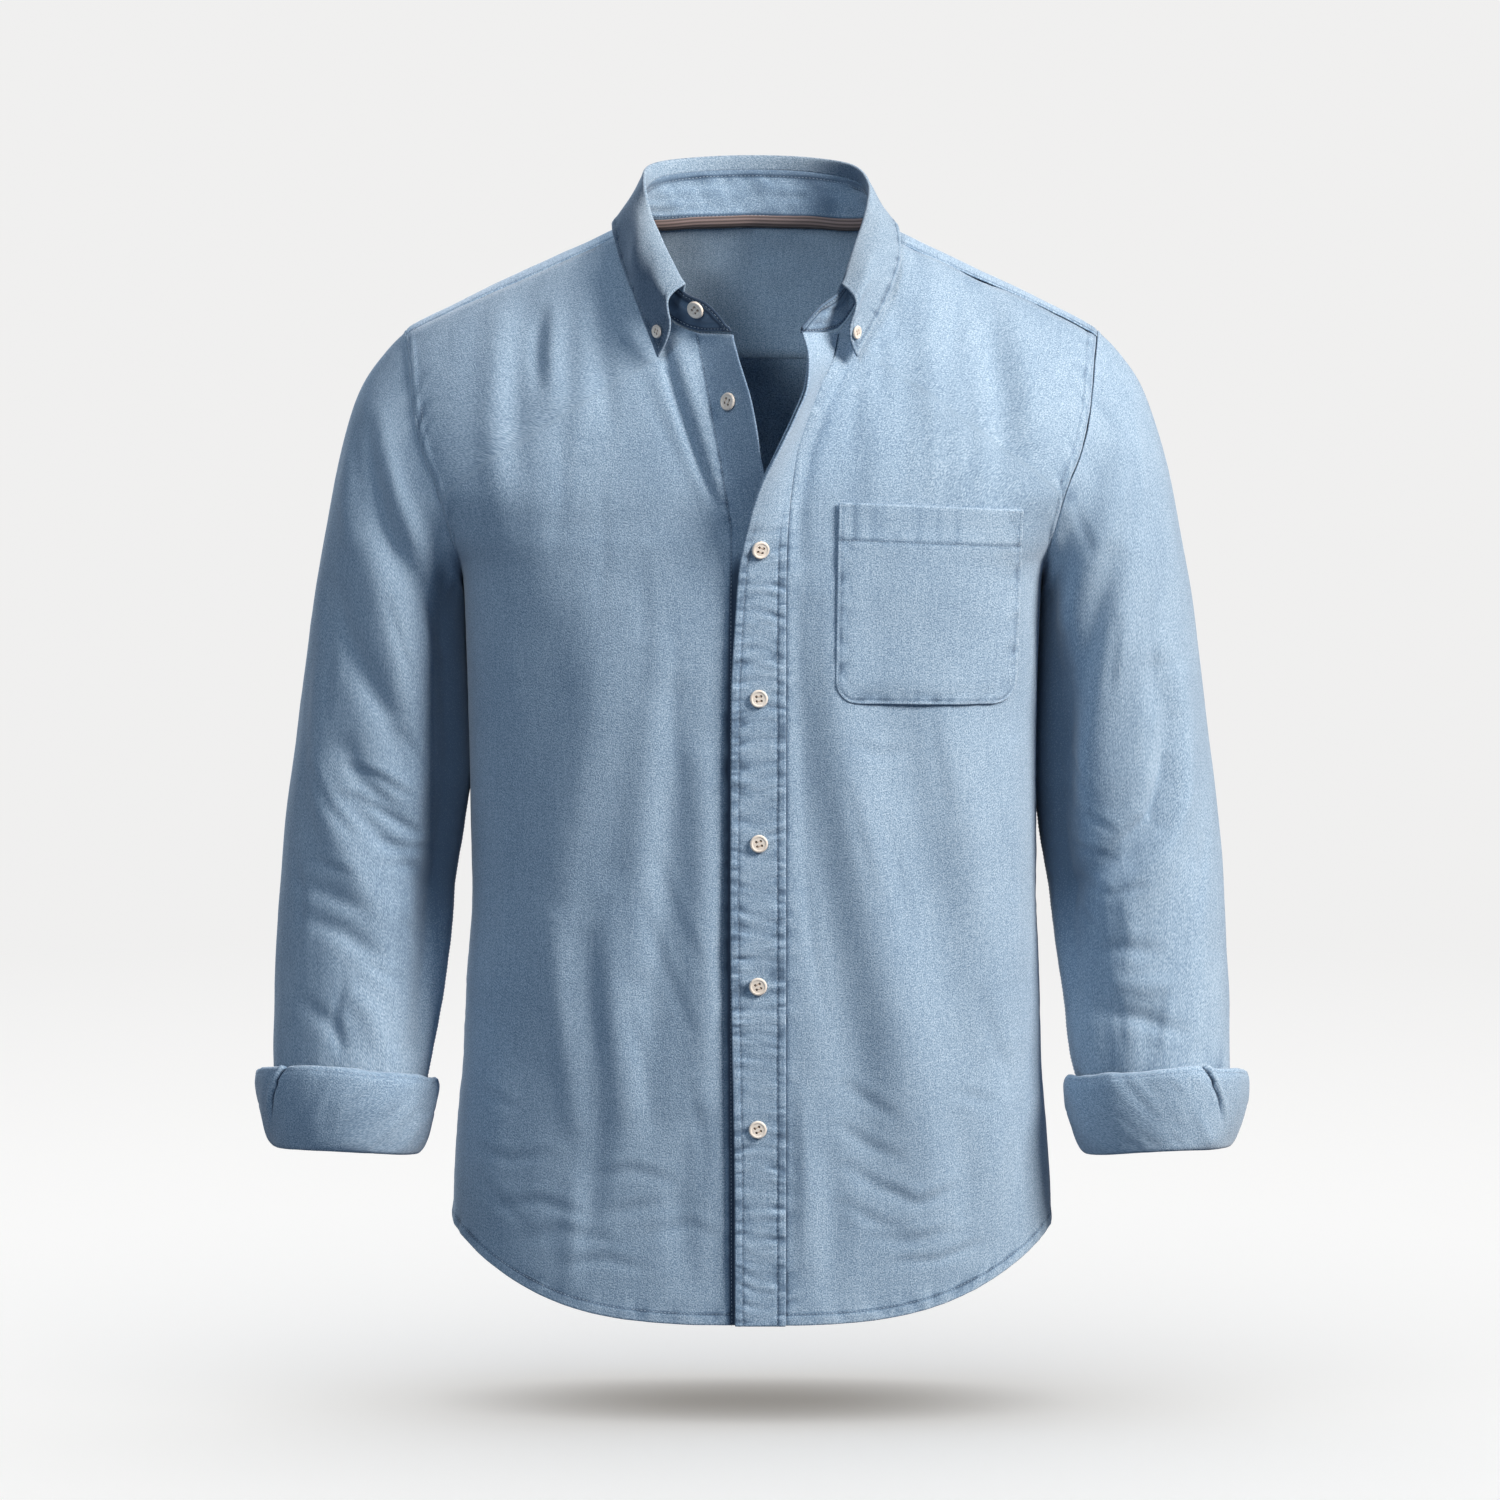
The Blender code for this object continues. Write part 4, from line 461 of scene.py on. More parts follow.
fronts = {
    "wall": 1.2, "seamGap": 0.3, "lap": 2.1, "lapInner": 34.0, "lapOuter": 80.0, "yokeTurn": 0.2,
    "rows": (176, 90, 32), "rowPower": 1.4, "columns": 108, "stripColumns": 24, "stripCurve": 1.2,
    "innerShare": 0.67, "outerShare": 0.56, "cornerShare": 0.82, "slopeStart": 0.55,
    "neckSide": {-1: -78.0, 1: 82.0},
    "edge": {  # z, edge x, strip x, forward
        -1: [(-63, -12.3, -34.4, 14), (-77, -8.4, -31.5, 17), (-102, -0.7, -26.8, 20),
             (-122, 3.2, -23.3, 19), (-140, 5.8, -19.8, 15), (-159, 10.5, -16.8, 8),
             (-172, 14.6, -14.6, 2.5), (-188, 18.5, -12.3, 0.0), (-206, 22.4, -12.3, 0),
             (-232, 23.3, -12.3, 0), (-720, 23.3, -12.0, 0)],
        1: [(-59, 31.0, 55.0, 14), (-76.5, 34.8, 50.5, 22), (-92, 33.5, 42.5, 29),
            (-110, 26.4, 35.5, 31), (-134, 14.8, 27.6, 30), (-155, 4.5, 24.7, 25),
            (-172, -1.3, 23.0, 18), (-192, -5.2, 22.0, 9), (-212, -8.4, 21.6, 4),
            (-244, -10.5, 21.4, 1), (-296, -13.0, 21.4, 0), (-433, -13.6, 21.4, 0),
            (-627, -10.8, 21.5, 0), (-720, -10.6, 21.6, 0)]},
    "neck": {  # x, z
        -1: [(-34.4, -61.4), (-50.0, -55.5), (-62.5, -42.0), (-70.5, -26.0), (-75.5, -10.5)],
        1: [(55.0, -61.5), (64.5, -50.0), (72.5, -34.0), (77.5, -18.0), (80.5, -6.0)]},
    "folds": {  # width, depth, bank, then the points of the path
        -1: [(19.8, -3.2, 0, (-94, -245), (-101, -297), (-112, -356), (-123, -408), (-134, -460),
                              (-146, -512)),
            (23.8, 3, 0, (-134, -297), (-150, -375), (-164, -447)),
            (8.6, -2.8, 0, (-128, -444), (-125, -493), (-121, -532), (-116, -575)),
            (11.2, -3, 0, (-91, -427), (-91, -473), (-87, -526), (-82, -565)),
            (7.3, 2.2, 0, (-106, -457), (-104, -499), (-99, -539)),
            (13.2, -3, 0, (-63, -265), (-66, -336), (-71, -401), (-73, -467)),
            (13.2, 3.6, 0, (-50, -297), (-53, -362), (-57, -427), (-62, -499), (-66, -571)),
            (9.9, -2.6, 0, (-34, -336), (-31, -401), (-30, -480), (-31, -558)),
            (5.9, 3.2, 0, (-138, -52), (-139, -70), (-138, -93)),
            (7.9, -2.8, 0, (-128, -50), (-130, -77), (-129, -106)),
            (9.9, -2.4, 0, (-166, -57), (-169, -122), (-164, -187)),
            (7.9, 1.8, 0, (-150, -44), (-154, -103), (-151, -148)),
            (7.3, -1.5, 0, (-111, -38), (-110, -83), (-112, -135)),
            (6.6, 1.6, 0, (-96, -28), (-97, -70), (-93, -116)),
            (4, 4.2, 0, (-58, -67), (-52, -91), (-43, -118), (-34, -144), (-22, -174)),
            (7.3, -3, 0, (-49, -62), (-41, -90), (-32, -118), (-25, -145), (-18, -174)),
            (9.9, 2.6, 0, (-98, -552), (-100, -591), (-107, -634)),
            (7.3, -2, 0, (-115, -617), (-117, -650), (-119, -683)),
            (11.9, -2.2, 0, (-164, -545), (-169, -591), (-173, -637)),
            (10.6, 2.2, 0, (-40, -578), (-47, -624), (-43, -677)),
            (4.6, 3.6, 0, (-12, -232), (-14, -336), (-16, -467), (-14, -585), (-13, -690))],
        1: [(22.4, -6.5, 0, (47, -232), (52, -291), (62, -349), (73, -401), (84, -460), (98, -526),
                             (109, -585), (119, -644)),
            (17.8, 3.6, 0, (28, -206), (30, -271), (36, -336), (44, -401), (54, -467), (64, -532),
                            (72, -598)),
            (19.8, -4.5, 0, (125, -307), (136, -356), (145, -408), (155, -460), (164, -519)),
            (17.2, 2.4, 0, (99, -323), (112, -388), (123, -454), (135, -519)),
            (13.2, -2.6, 0, (166, -336), (170, -401), (173, -467)),
            (7.9, 3.8, 0, (133, -37), (132, -57), (130, -82)),
            (9.9, -2.8, 0, (115, -28), (115, -64), (118, -106)),
            (11.2, 4.8, 0, (148, -38), (156, -70), (163, -103), (164, -135), (159, -162)),
            (10.6, -3, 0, (172, -51), (179, -90), (183, -128)),
            (5.9, 2.2, 0, (91, -15), (91, -38), (93, -61)),
            (8.6, -2, 0, (78, -103), (80, -135), (76, -167)),
            (7.9, 5.5, 0, (61, -77), (46, -106), (35, -135), (27, -167), (25, -200)),
            (7.3, 1.6, 0, (99, -90), (101, -128), (98, -162)),
            (10.6, -2.2, 0, (161, -552), (159, -598), (151, -644)),
            (9.2, 2, 0, (51, -598), (55, -644), (51, -683)),
            (8.6, -2.2, 0, (31, -558), (35, -611), (33, -663)),
            (9.9, 2, 0, (135, -578), (139, -617), (129, -657))]},
    "creases": {  # the finer ones
        -1: [(4.5, 0.68, 0.4, (-182, -596), (-159, -603), (-134, -598)),
            (4.5, 0.81, 0.4, (-165, -634), (-138, -629), (-117, -635)),
            (5.3, 0.74, 0.4, (-151, -655), (-125, -648), (-98, -652)),
            (4.5, 0.68, 0.4, (-99, -611), (-78, -606), (-55, -612)),
            (4.5, 0.56, 0.4, (-91, -635), (-65, -629)),
            (4.5, 0.62, 0.3, (-125, -671), (-96, -666), (-73, -671)),
            (4.5, 0.62, 0.4, (-180, -558), (-156, -568)), (4.5, 0.56, 0.3, (-183, -499), (-164, -514)),
            (4.5, 0.62, 0.4, (-73, -427), (-60, -467), (-40, -512)),
            (4.5, 0.56, 0.4, (-63, -401), (-49, -437), (-34, -470)),
            (4.5, 0.56, 0.3, (-82, -499), (-72, -532), (-68, -565)),
            (4.5, 0.5, 0.3, (-49, -258), (-52, -310), (-47, -349)),
            (5.3, 0.56, 0.3, (-72, -206), (-69, -258), (-71, -297)),
            (4.5, 0.5, 0.3, (-98, -154), (-96, -206), (-100, -245)),
            (4.5, 0.5, 0.3, (-124, -122), (-123, -167), (-127, -206)),
            (5.3, 0.62, 0.3, (-72, -90), (-54, -128), (-34, -171)),
            (4.5, 0.56, 0.3, (-178, -375), (-170, -427), (-174, -467)),
            (4.5, 0.5, 0.3, (-40, -552), (-31, -591), (-34, -631)),
            (4.5, 0.5, 0.4, (-68, -648), (-40, -642), (-23, -650)),
            (4.5, 0.56, 0.4, (-177, -617), (-151, -645))],
        1: [(4.3, 0.83, 0.4, (61, -550), (77, -561), (92, -571)),
            (4.3, 0.83, 0.4, (59, -578), (76, -590), (95, -598)),
            (4.3, 0.83, 0.4, (62, -604), (82, -617), (99, -623)),
            (4.3, 0.75, 0.4, (62, -629), (83, -642), (102, -648)),
            (4.3, 0.9, 0.5, (89, -621), (108, -629), (130, -620)),
            (4.3, 0.75, 0.5, (78, -650), (102, -654), (128, -648)),
            (3.4, 0.68, 0.4, (96, -667), (122, -667), (146, -658)),
            (4.3, 0.68, 0.3, (135, -557), (155, -565)),
            (4.3, 0.68, 0.3, (65, -326), (83, -334), (98, -331)),
            (4.3, 0.68, 0.4, (61, -356), (71, -395), (78, -427)),
            (4.3, 0.6, 0.3, (86, -375), (95, -414), (100, -454)),
            (4.3, 0.6, 0.3, (115, -297), (119, -336), (127, -375)),
            (4.3, 0.75, 0.3, (70, -81), (67, -109), (63, -136)),
            (4.3, 0.68, 0.3, (108, -103), (111, -135), (109, -163)),
            (4.3, 0.68, 0.3, (138, -96), (142, -128), (141, -162)),
            (4.3, 0.68, 0.3, (125, -38), (123, -70), (125, -109)),
            (4.3, 0.68, 0.3, (85, -32), (83, -70), (85, -103)),
            (4.3, 0.6, 0.3, (171, -232), (172, -284), (170, -323)),
            (4.3, 0.68, 0.4, (147, -493), (159, -532), (168, -558)),
            (4.3, 0.6, 0.3, (35, -414), (39, -460), (46, -499))]},
    "closer": 0.09, "underReach": 0.93, "foldFrom": {-1: 5, 1: 14}, "fineFrom": (2, 12), "driftFrom": 30,
    "drift": [(1.1, 62, 0, 0.55, 11), (0.6, 27, 0, 0.4, 21)], "creaseShade": 0.05, "armholeBlend": 4,
    "hidden": {"shade": 2.2, "at": -1.5, "width": 3.6, "z": (196, 216)},  # painted shadow under the left front's edge
    "inside": {"shade": 0.45, "edge": 0.4, "z": (190, 215)},  # painted shade inside the open neck
}


def seamTop():  # where the yoke's front seam meets the armhole
    return float(overShoulder(armholeX(torso["armhole"][0][0]), np.array(-fronts["yokeTurn"]))[2])


def onArmhole(z):  # 1 beside the armhole, 0 below the underarm
    return blend(torso["underarmZ"] - fronts["armholeBlend"], torso["underarmZ"] + fronts["armholeBlend"], z)


def besideArmhole(points):  # the rows whose ends lie on the armhole
    return np.arange(points.shape[0])[points[:, -1, 2] > torso["underarmZ"] + 2]


def stripPoints(side, z, place):  # from the strip's seam (0) to the front's edge (1)
    rows = fronts["edge"][side]
    seamX, edgeX, forward = (curveOf(rows, 0, k)(z) for k in (2, 1, 3))
    points = torsoPoint(seamX + place * (edgeX - seamX), z, -1)
    points[..., 1] -= forward * place ** fronts["stripCurve"]
    return points


def lapped(side, points):  # the left front stands off the right front that it covers
    if side > 0:
        points = points.copy()
        points[..., 1] -= fronts["lap"] * (1 - blend(fronts["lapInner"], fronts["lapOuter"], points[..., 0]))
    return points


def frontLevels(side):
    low, up, neckRows = fronts["rows"]
    neck = fronts["neck"][side]
    end = overShoulder(np.array(fronts["neckSide"][side]), np.array(-fronts["yokeTurn"]))
    neckLine = evenCurve(neck + [(end[0], end[2])], np.linspace(0, 1, neckRows + 1))
    seamX = curveOf(fronts["edge"][side], 0, 2)
    innerHem = float(hemZ(seamX(torso["sideHemZ"])))
    lower = np.linspace(0, 1, low + 1)[:-1] ** fronts["rowPower"]  # closer rows at the hem
    shareIn = np.concatenate([lower * fronts["innerShare"], np.linspace(fronts["innerShare"], 1, up + 1)])
    shareOut = np.concatenate([lower * fronts["outerShare"],
                               np.linspace(fronts["outerShare"], fronts["cornerShare"], up + 1)])
    innerZ = neck[0][1] + (1 - shareIn) * (innerHem - neck[0][1])
    innerX = seamX(innerZ)
    rest = fronts["cornerShare"] + (1 - fronts["cornerShare"]) * np.arange(1, neckRows + 1) / neckRows
    return (np.concatenate([innerX, neckLine[1:, 0]]), np.concatenate([innerZ, neckLine[1:, 1]]),
            np.concatenate([shareOut, rest]), innerHem, low + up + 1)


def frontSheet(side, reach=1.0):
    innerX, innerZ, share, innerHem, stripRows = frontLevels(side)
    across = np.linspace(0, 1, fronts["columns"] + 1)
    across = (across - fronts["closer"] * np.sin(2 * np.pi * across))[None]  # closer columns at both seams
    outerZ = torso["sideHemZ"] + share * (seamTop() - torso["sideHemZ"])
    outerX = np.where(outerZ > torso["underarmZ"], armholeX(outerZ), torsoHalf(outerZ))
    half = torsoHalf(outerZ)[:, None]
    level = innerZ[:, None] + across * (outerZ - innerZ)[:, None]
    lowest = innerHem + across * (torso["sideHemZ"] - innerHem)
    innerAngle = np.arcsin(innerX[:, None] / half)
    outerAngle = side * (np.arcsin(np.minimum(1, outerX[:, None] / half)) - fronts["seamGap"] / 2 / half)
    angle = innerAngle + across * (outerAngle - innerAngle)
    x = half * np.sin(angle)
    z = level + (hemZ(x) - lowest) * (1 - blend(0, torso["hemRun"], share))[:, None]
    innerDrop = (ridgeZ(np.abs(innerX)) - innerZ)[:, None]
    outerDrop = (ridgeZ(outerX) - outerZ)[:, None]
    sloped = ridgeZ(np.abs(x)) - (innerDrop + across * (outerDrop - innerDrop))
    z = z + (sloped - z) * blend(fronts["slopeStart"], 1.0, share)[:, None]
    x = x + (torsoHalf(z) * np.sin(angle) - x) * across ** torso["sideHold"]
    main = torsoPoint(x, z, -1)
    count = fronts["stripColumns"]
    place = reach * np.linspace(1, 0, count + 1)[:-1][None]
    strip = np.repeat(main[:, :1], count, axis=1)
    strip[:stripRows] = stripPoints(side, np.repeat(innerZ[:stripRows, None], count, 1), place)
    points = lapped(side, np.concatenate([strip, main], 1))
    mask = np.ones((points.shape[0] - 1, points.shape[1] - 1))
    mask[stripRows - 1:, :count] = 0
    sheet = newSheet(points, points * [0, 0, 1], fronts["wall"], mask=mask)
    sheet.update(strip=count, stripRows=stripRows)
    return sheet


def shapeFront(side):
    sheet = frontSheet(side, 1.0 if side < 0 else fronts["underReach"])
    count, stripRows = sheet["strip"], sheet["stripRows"]
    points, across, along = sheet["points"], sheet["across"], sheet["along"]
    x, z = points[..., 0], points[..., 2]
    fromStrip = across - across[:, count:count + 1]
    fromSide = across[:, -1:] - across
    fine = foldShift(x, z, fronts["creases"][side]) * blend(*fronts["fineFrom"], fromStrip)
    drift = layers(x, z, fronts["drift"], side) + crinkle(x, z, 31 + side)
    shift = (foldShift(x, z, fronts["folds"][side]) * blend(0, fronts["foldFrom"][side], fromStrip)
             + fine + drift * blend(0, fronts["driftFrom"], fromStrip))
    sheet["sideEdge"] = points[:, -1, 2].copy(), shift[:, -1].copy()
    # painted shade in the hollows of the fine creases, a faint painted highlight on their banks
    tone = fronts["creaseShade"] * fine
    if side < 0:  # painted shadow where it lies under the left front, and painted shade inside the neck
        hidden, inside = fronts["hidden"], fronts["inside"]
        covered = curveOf(fronts["edge"][1], 0, 1)(z)
        under = bell(x - covered, hidden["at"], hidden["width"]) * blend(*hidden["z"], -z)
        tone = tone - hidden["shade"] * under
        # painted shade on the strip inside the open neck
        tone = tone - (inside["shade"] * blend(-inside["edge"], inside["edge"], -fromStrip)
                       * (1 - blend(*inside["z"], -z)))
    beside = onArmhole(points[:, -1:, 2])
    rows = np.arange(points.shape[0])[:, None]
    main, fromSeam = (fromStrip >= 0) * 1.0, np.maximum(fromStrip, 0)
    shift, tone = withSeams(shift, tone, (
        ("hem", along, across, 41, 1.0),
        ("armhole", fromSide, along, 42, beside),
        ("side", fromSide, along, 43, 1 - beside),
        ("frontTop", along[-1:] - along, across, 44, main),
        ("neck", fromSeam, along, 45, (rows >= stripRows - 1) * 1.0),
        ("strip", fromSeam, along, 46, (rows < stripRows) * main)), 10 * side)
    raiseSheet(sheet, shift, tone)
    # stitching: hem, armhole, and on the right front the line under the strip
    sewAlong(sheet, along, np.arange(0 if side < 0 else count, points.shape[1]), seams["hem"]["lines"][0])
    rows = besideArmhole(points)
    for line in seams["armhole"]["lines"]:
        sewDown(sheet, across, rows, across[rows, -1] - line)
    if side < 0:
        rows = np.arange(0, stripRows)
        sewDown(sheet, across, rows, across[rows, count] + seams["strip"]["lines"][0])
    return sheet


# placket

placket = {"wall": 1.4, "stand": 0.7, "sewnTo": -178.0, "rows": (420, 190), "columns": 44,
           "edgeLine": 4.6, "seamLine": 4.9, "pucker": 0.8, "wave": 4.2, "ladder": 2.7, "raised": 0.35,
           "groove": 0.5, "bend": [(0.4, 34, 0, 0.3, 66)], "calmLeast": 0.12, "calmZ": (165, 215),
           "darkest": -1.15, "dimple": 0.5, "dimpleWidth": 9.0}


def shapePlacket():  # it stands off the body as the left front does
    seamX = curveOf(fronts["edge"][1], 0, 2)
    innerHem = float(hemZ(seamX(torso["sideHemZ"])))
    neckZ = fronts["neck"][1][0][1]
    turnZ = neckZ + (1 - fronts["innerShare"]) * (innerHem - neckZ)
    z = np.concatenate([np.linspace(innerHem, turnZ, placket["rows"][0])[:-1],
                        np.linspace(turnZ, neckZ, placket["rows"][1])])
    place = np.linspace(1, 0, placket["columns"] + 1)[None]
    points = lapped(1, stripPoints(1, np.repeat(z[:, None], place.size, 1), place))
    sheet = newSheet(points, points * [1, 0, 1], placket["wall"])
    fromEdge, along = sheet["across"], sheet["along"]
    width = fromEdge[:, -1:]
    least, wave = placket["calmLeast"], placket["wave"]
    calm = least + (1 - least) * blend(*placket["calmZ"], -points[..., 2])  # smoother where it stands open
    lift = fronts["wall"] / 2 + fronts["seamGap"] + placket["wall"] / 2 + placket["stand"]
    shift = np.full(points.shape[:2], lift)
    tone = np.zeros(points.shape[:2])
    for distance, line, seed in ((fromEdge, placket["edgeLine"], 61),
                                 (width - fromEdge, placket["seamLine"], 62)):
        lean = along + distance * 0.4 * softNoise(along, 0, 40, seed + 9)
        ripple = layers(lean, distance, [(1, wave, 0, 0.13, 0), (0.4, wave * 0.5, 0, 0.2, 1)], seed)
        strength = 0.6 + 0.4 * softNoise(along, 0, 45, seed + 2)
        pucker = placket["pucker"] * ripple * strength * (bell(distance, line, 6.5) + 0.22) * calm
        ladder = softNoise(along, distance * 0.1, placket["ladder"], seed + 4)
        ladder = ladder * (1 - blend(line - 0.8, line + 0.8, distance))
        seamLine = bell(distance, line, 0.8)
        shift = shift + pucker + 0.25 * ladder * calm - placket["groove"] * seamLine * calm
        shift = shift + placket["raised"] * (1 - blend(line - 1.5, line + 0.5, distance)) * calm
        # painted shade: dark blotches in the puckers beside each stitch line
        puckerBlotShade = np.maximum(0, -softNoise(lean, distance * 0.22, 5.0, seed + 7) - 0.15)
        # painted shade in the pucker and ladder hollows and along the stitch groove, a faint painted
        # highlight on their crests, a little darker outside each line
        tone = tone + calm * (1.6 * np.minimum(pucker, 0.05) + 1.2 * np.minimum(ladder, 0.12)
                              - 1.1 * puckerBlotShade * bell(distance, line, 5.5) - 0.15 * (distance < line)
                              - 1.1 * seamLine)
        tone = tone + 0.2 * bell(distance, 0, 0.8) * (0.6 + 0.6 * softNoise(along, 0, 3.0, seed + 6))
    for x, buttonZ in buttons["placket"]:  # a dimple under each button
        away = np.hypot(points[..., 0] - x, points[..., 2] - buttonZ)
        shift = shift - placket["dimple"] * bell(away, 0, placket["dimpleWidth"])
    shift = shift + layers(along, fromEdge, placket["bend"])
    raiseSheet(sheet, shift, np.maximum(tone, placket["darkest"]))
    rows = np.arange(points.shape[0])[points[:, 0, 2] < placket["sewnTo"]]
    for far in (placket["edgeLine"], width[rows, 0] - placket["seamLine"]):
        sewDown(sheet, fromEdge, rows, far)
    return sheet


# pocket

pocket = {"wall": 1.2, "topLeft": (56.2, -168.9), "topRight": (175.0, -175.1),
          "bottomLeft": (53.4, -298.2), "bottomRight": (170.6, -302.0), "corner": 14.0,
          "height": 127.0, "rows": 120, "columns": 110, "ease": 0.35, "hemLine": 23.5,
          "edgeLine": 1.6, "tack": 9.0, "foldShare": 0.8, "full": 0.9, "fullBy": 16,
          "bend": [(0.35, 24, 0, 0.7, 73)], "bendBy": 12}


def shapePocket():
    rows = np.linspace(0, 1, pocket["rows"] + 1)
    height = rows * pocket["height"]
    below = np.maximum(0, pocket["corner"] - height)
    inset = pocket["corner"] - np.sqrt(np.maximum(pocket["corner"] ** 2 - below ** 2, 0))
    low = [np.array(pocket[key]) for key in ("bottomLeft", "bottomRight")]
    high = [np.array(pocket[key]) for key in ("topLeft", "topRight")]
    left = low[0] + rows[:, None] * (high[0] - low[0])
    right = low[1] + rows[:, None] * (high[1] - low[1])
    inset = (inset / np.linalg.norm(right - left, axis=1))[:, None]
    place = inset + np.linspace(0, 1, pocket["columns"] + 1)[None] * (1 - 2 * inset)
    flat = left[:, None] + place[..., None] * (right - left)[:, None]
    x, z = flat[..., 0], flat[..., 1]
    points = lapped(1, torsoPoint(x, z, -1))
    sheet = newSheet(points, points * [0, 0, 1], pocket["wall"])
    width = np.linalg.norm(high[1] - high[0])
    u, v = place * width, np.repeat(height[:, None], place.shape[1], 1)
    fromSide = np.minimum(u, width - u)
    corner = np.hypot(np.maximum(0, pocket["corner"] - fromSide), np.maximum(0, pocket["corner"] - v))
    fromEdge = np.minimum(fromSide, v)
    inCorner = (fromSide < pocket["corner"]) & (v < pocket["corner"])
    fromEdge = np.where(inCorner, pocket["corner"] - corner, fromEdge)
    fromTop = pocket["height"] - v
    sheet["across"], sheet["along"] = u, v
    shift = (pocket["foldShare"] * foldShift(x, z, fronts["folds"][1]) + fronts["wall"] / 2
             + fronts["seamGap"] + pocket["ease"] + pocket["wall"] / 2)
    ripple = softNoise(u + 0.5 * v, v - 0.5 * u, 8.5, 71) + 0.5 * softNoise(u, v, 4.5, 72)
    near = bell(fromEdge, 3.0, 6.0)
    shift = shift + 0.45 * ripple * near - 0.35 * bell(fromEdge, pocket["edgeLine"], 0.8)
    shift = shift + pocket["full"] * blend(0, pocket["fullBy"], fromEdge)  # it stands a little full
    shift = shift + layers(u, v, pocket["bend"]) * blend(0, pocket["bendBy"], fromEdge)
    hem = pocket["hemLine"]
    shift = shift + 0.3 * (1 - blend(hem - 0.5, hem + 1.5, fromTop)) - 0.4 * bell(fromTop, hem, 0.9)
    shift = shift + 0.3 * softNoise(u, fromTop * 0.2, 7.5, 74) * bell(fromTop, hem, 5.0)
    # painted shade in the upright wrinkles of the hem band
    wrinkleShade = np.minimum(softNoise(u, fromTop * 0.12, 6.0, 75), 0.1) * (1 - blend(hem - 1, hem + 1, fromTop))
    # lighter wear at the edges and top; painted shade beside the stitching and in the pucker hollows, and a
    # painted shadow along the hem line
    tone = (0.26 * bell(fromEdge, 0, 1.4) + 0.22 * bell(fromTop, 0, 1.6)
            - 0.7 * bell(fromEdge, pocket["edgeLine"] + 1.0, 1.0) + 0.7 * np.minimum(ripple, 0.15) * near
            - bell(fromTop, hem, 1.0) + 0.9 * wrinkleShade)
    raiseSheet(sheet, shift, tone)
    # stitched round three sides, along its hem, and with a narrow triangle at each top corner
    rows, count, edge = np.arange(pocket["rows"] + 1), pocket["columns"], pocket["edgeLine"]
    perColumn, perRow = count / width, pocket["rows"] / pocket["height"]
    down = rows[rows >= edge * perRow][::-1]
    path = np.array([(row, edge * perColumn) for row in down]
                    + [(edge * perRow, column) for column in range(2, count - 1)]
                    + [(row, count - edge * perColumn) for row in down[::-1]])
    sew(sheet, path[:, 0], path[:, 1])
    hemRow, topRow = (pocket["height"] - hem) * perRow, pocket["rows"] - 1.5
    sew(sheet, hemRow, np.arange(2, count - 1))
    slant, short = np.linspace(0, 1, 24), np.linspace(0, 1, 8)
    for corner in (0, 1):
        for share, row in ((slant, hemRow + slant * (topRow - hemRow)), (short, topRow)):
            columns = (edge + share * (pocket["tack"] - edge)) * perColumn
            sew(sheet, row, count - columns if corner else columns)
    return sheet


# back and yoke

back = {"wall": 1.2, "rows": 180, "columns": 150, "seamZ": -86.0, "drop": 6.0, "slopeStart": 0.6,
        "pleatHalf": 18.0, "pleatTurn": 3.0, "pleatRise": 3.6, "pleatEnd": -380.0, "pleatStart": 14.0,
        "pleatShade": 1.1, "rowPower": 1.3, "closer": 0.1, "foldFrom": 2, "fineFrom": 10, "calmBy": 34,
        "drift": [(1.3, 58, 0, 0.5, 81), (0.5, 25, 0, 0.5, 82)], "otherSide": 900,
        "folds": [
            (17, 6.0, 0.0, (-118, -120), (-100, -330)), (16, 5.5, 0.0, (120, -118), (98, -340)),
            (17, -6.0, 0.0, (-70, -300), (-84, -560)), (18, 6.5, 0.0, (66, -280), (80, -590)),
            (16, -5.5, 0.0, (150, -330), (138, -560)), (15, 5.5, 0.0, (-152, -320), (-140, -600)),
            (19, 5.5, 0.0, (-20, -420), (24, -650)), (13, -4.0, 0.0, (100, -560), (112, -670)),
            (12, 4.0, 0.0, (-50, -480), (-42, -668)), (14, -5.0, 0.0, (22, -400), (48, -560))],
        "creases": [
            (5, 1.8, 0.5, (-132, -116), (-120, -180), (-122, -230)),
            (5, 1.7, 0.5, (138, -120), (128, -190)), (5, 1.5, 0.5, (-60, -330), (-72, -420)),
            (5, 1.8, 0.5, (-30, -360), (-26, -470)), (5, 1.7, 0.5, (34, -350), (40, -440)),
            (5, 1.5, 0.5, (96, -420), (104, -520)), (5, 1.7, 0.5, (-120, -470), (-104, -560)),
            (4, 1.5, 0.5, (-60, -620), (-84, -640)), (4, 1.4, 0.5, (60, -640), (92, -652)),
            (4, 1.4, 0.5, (8, -560), (14, -630))]}


def seamDrop(x):
    return back["drop"] * (np.abs(x) / armholeX(back["seamZ"])) ** 2


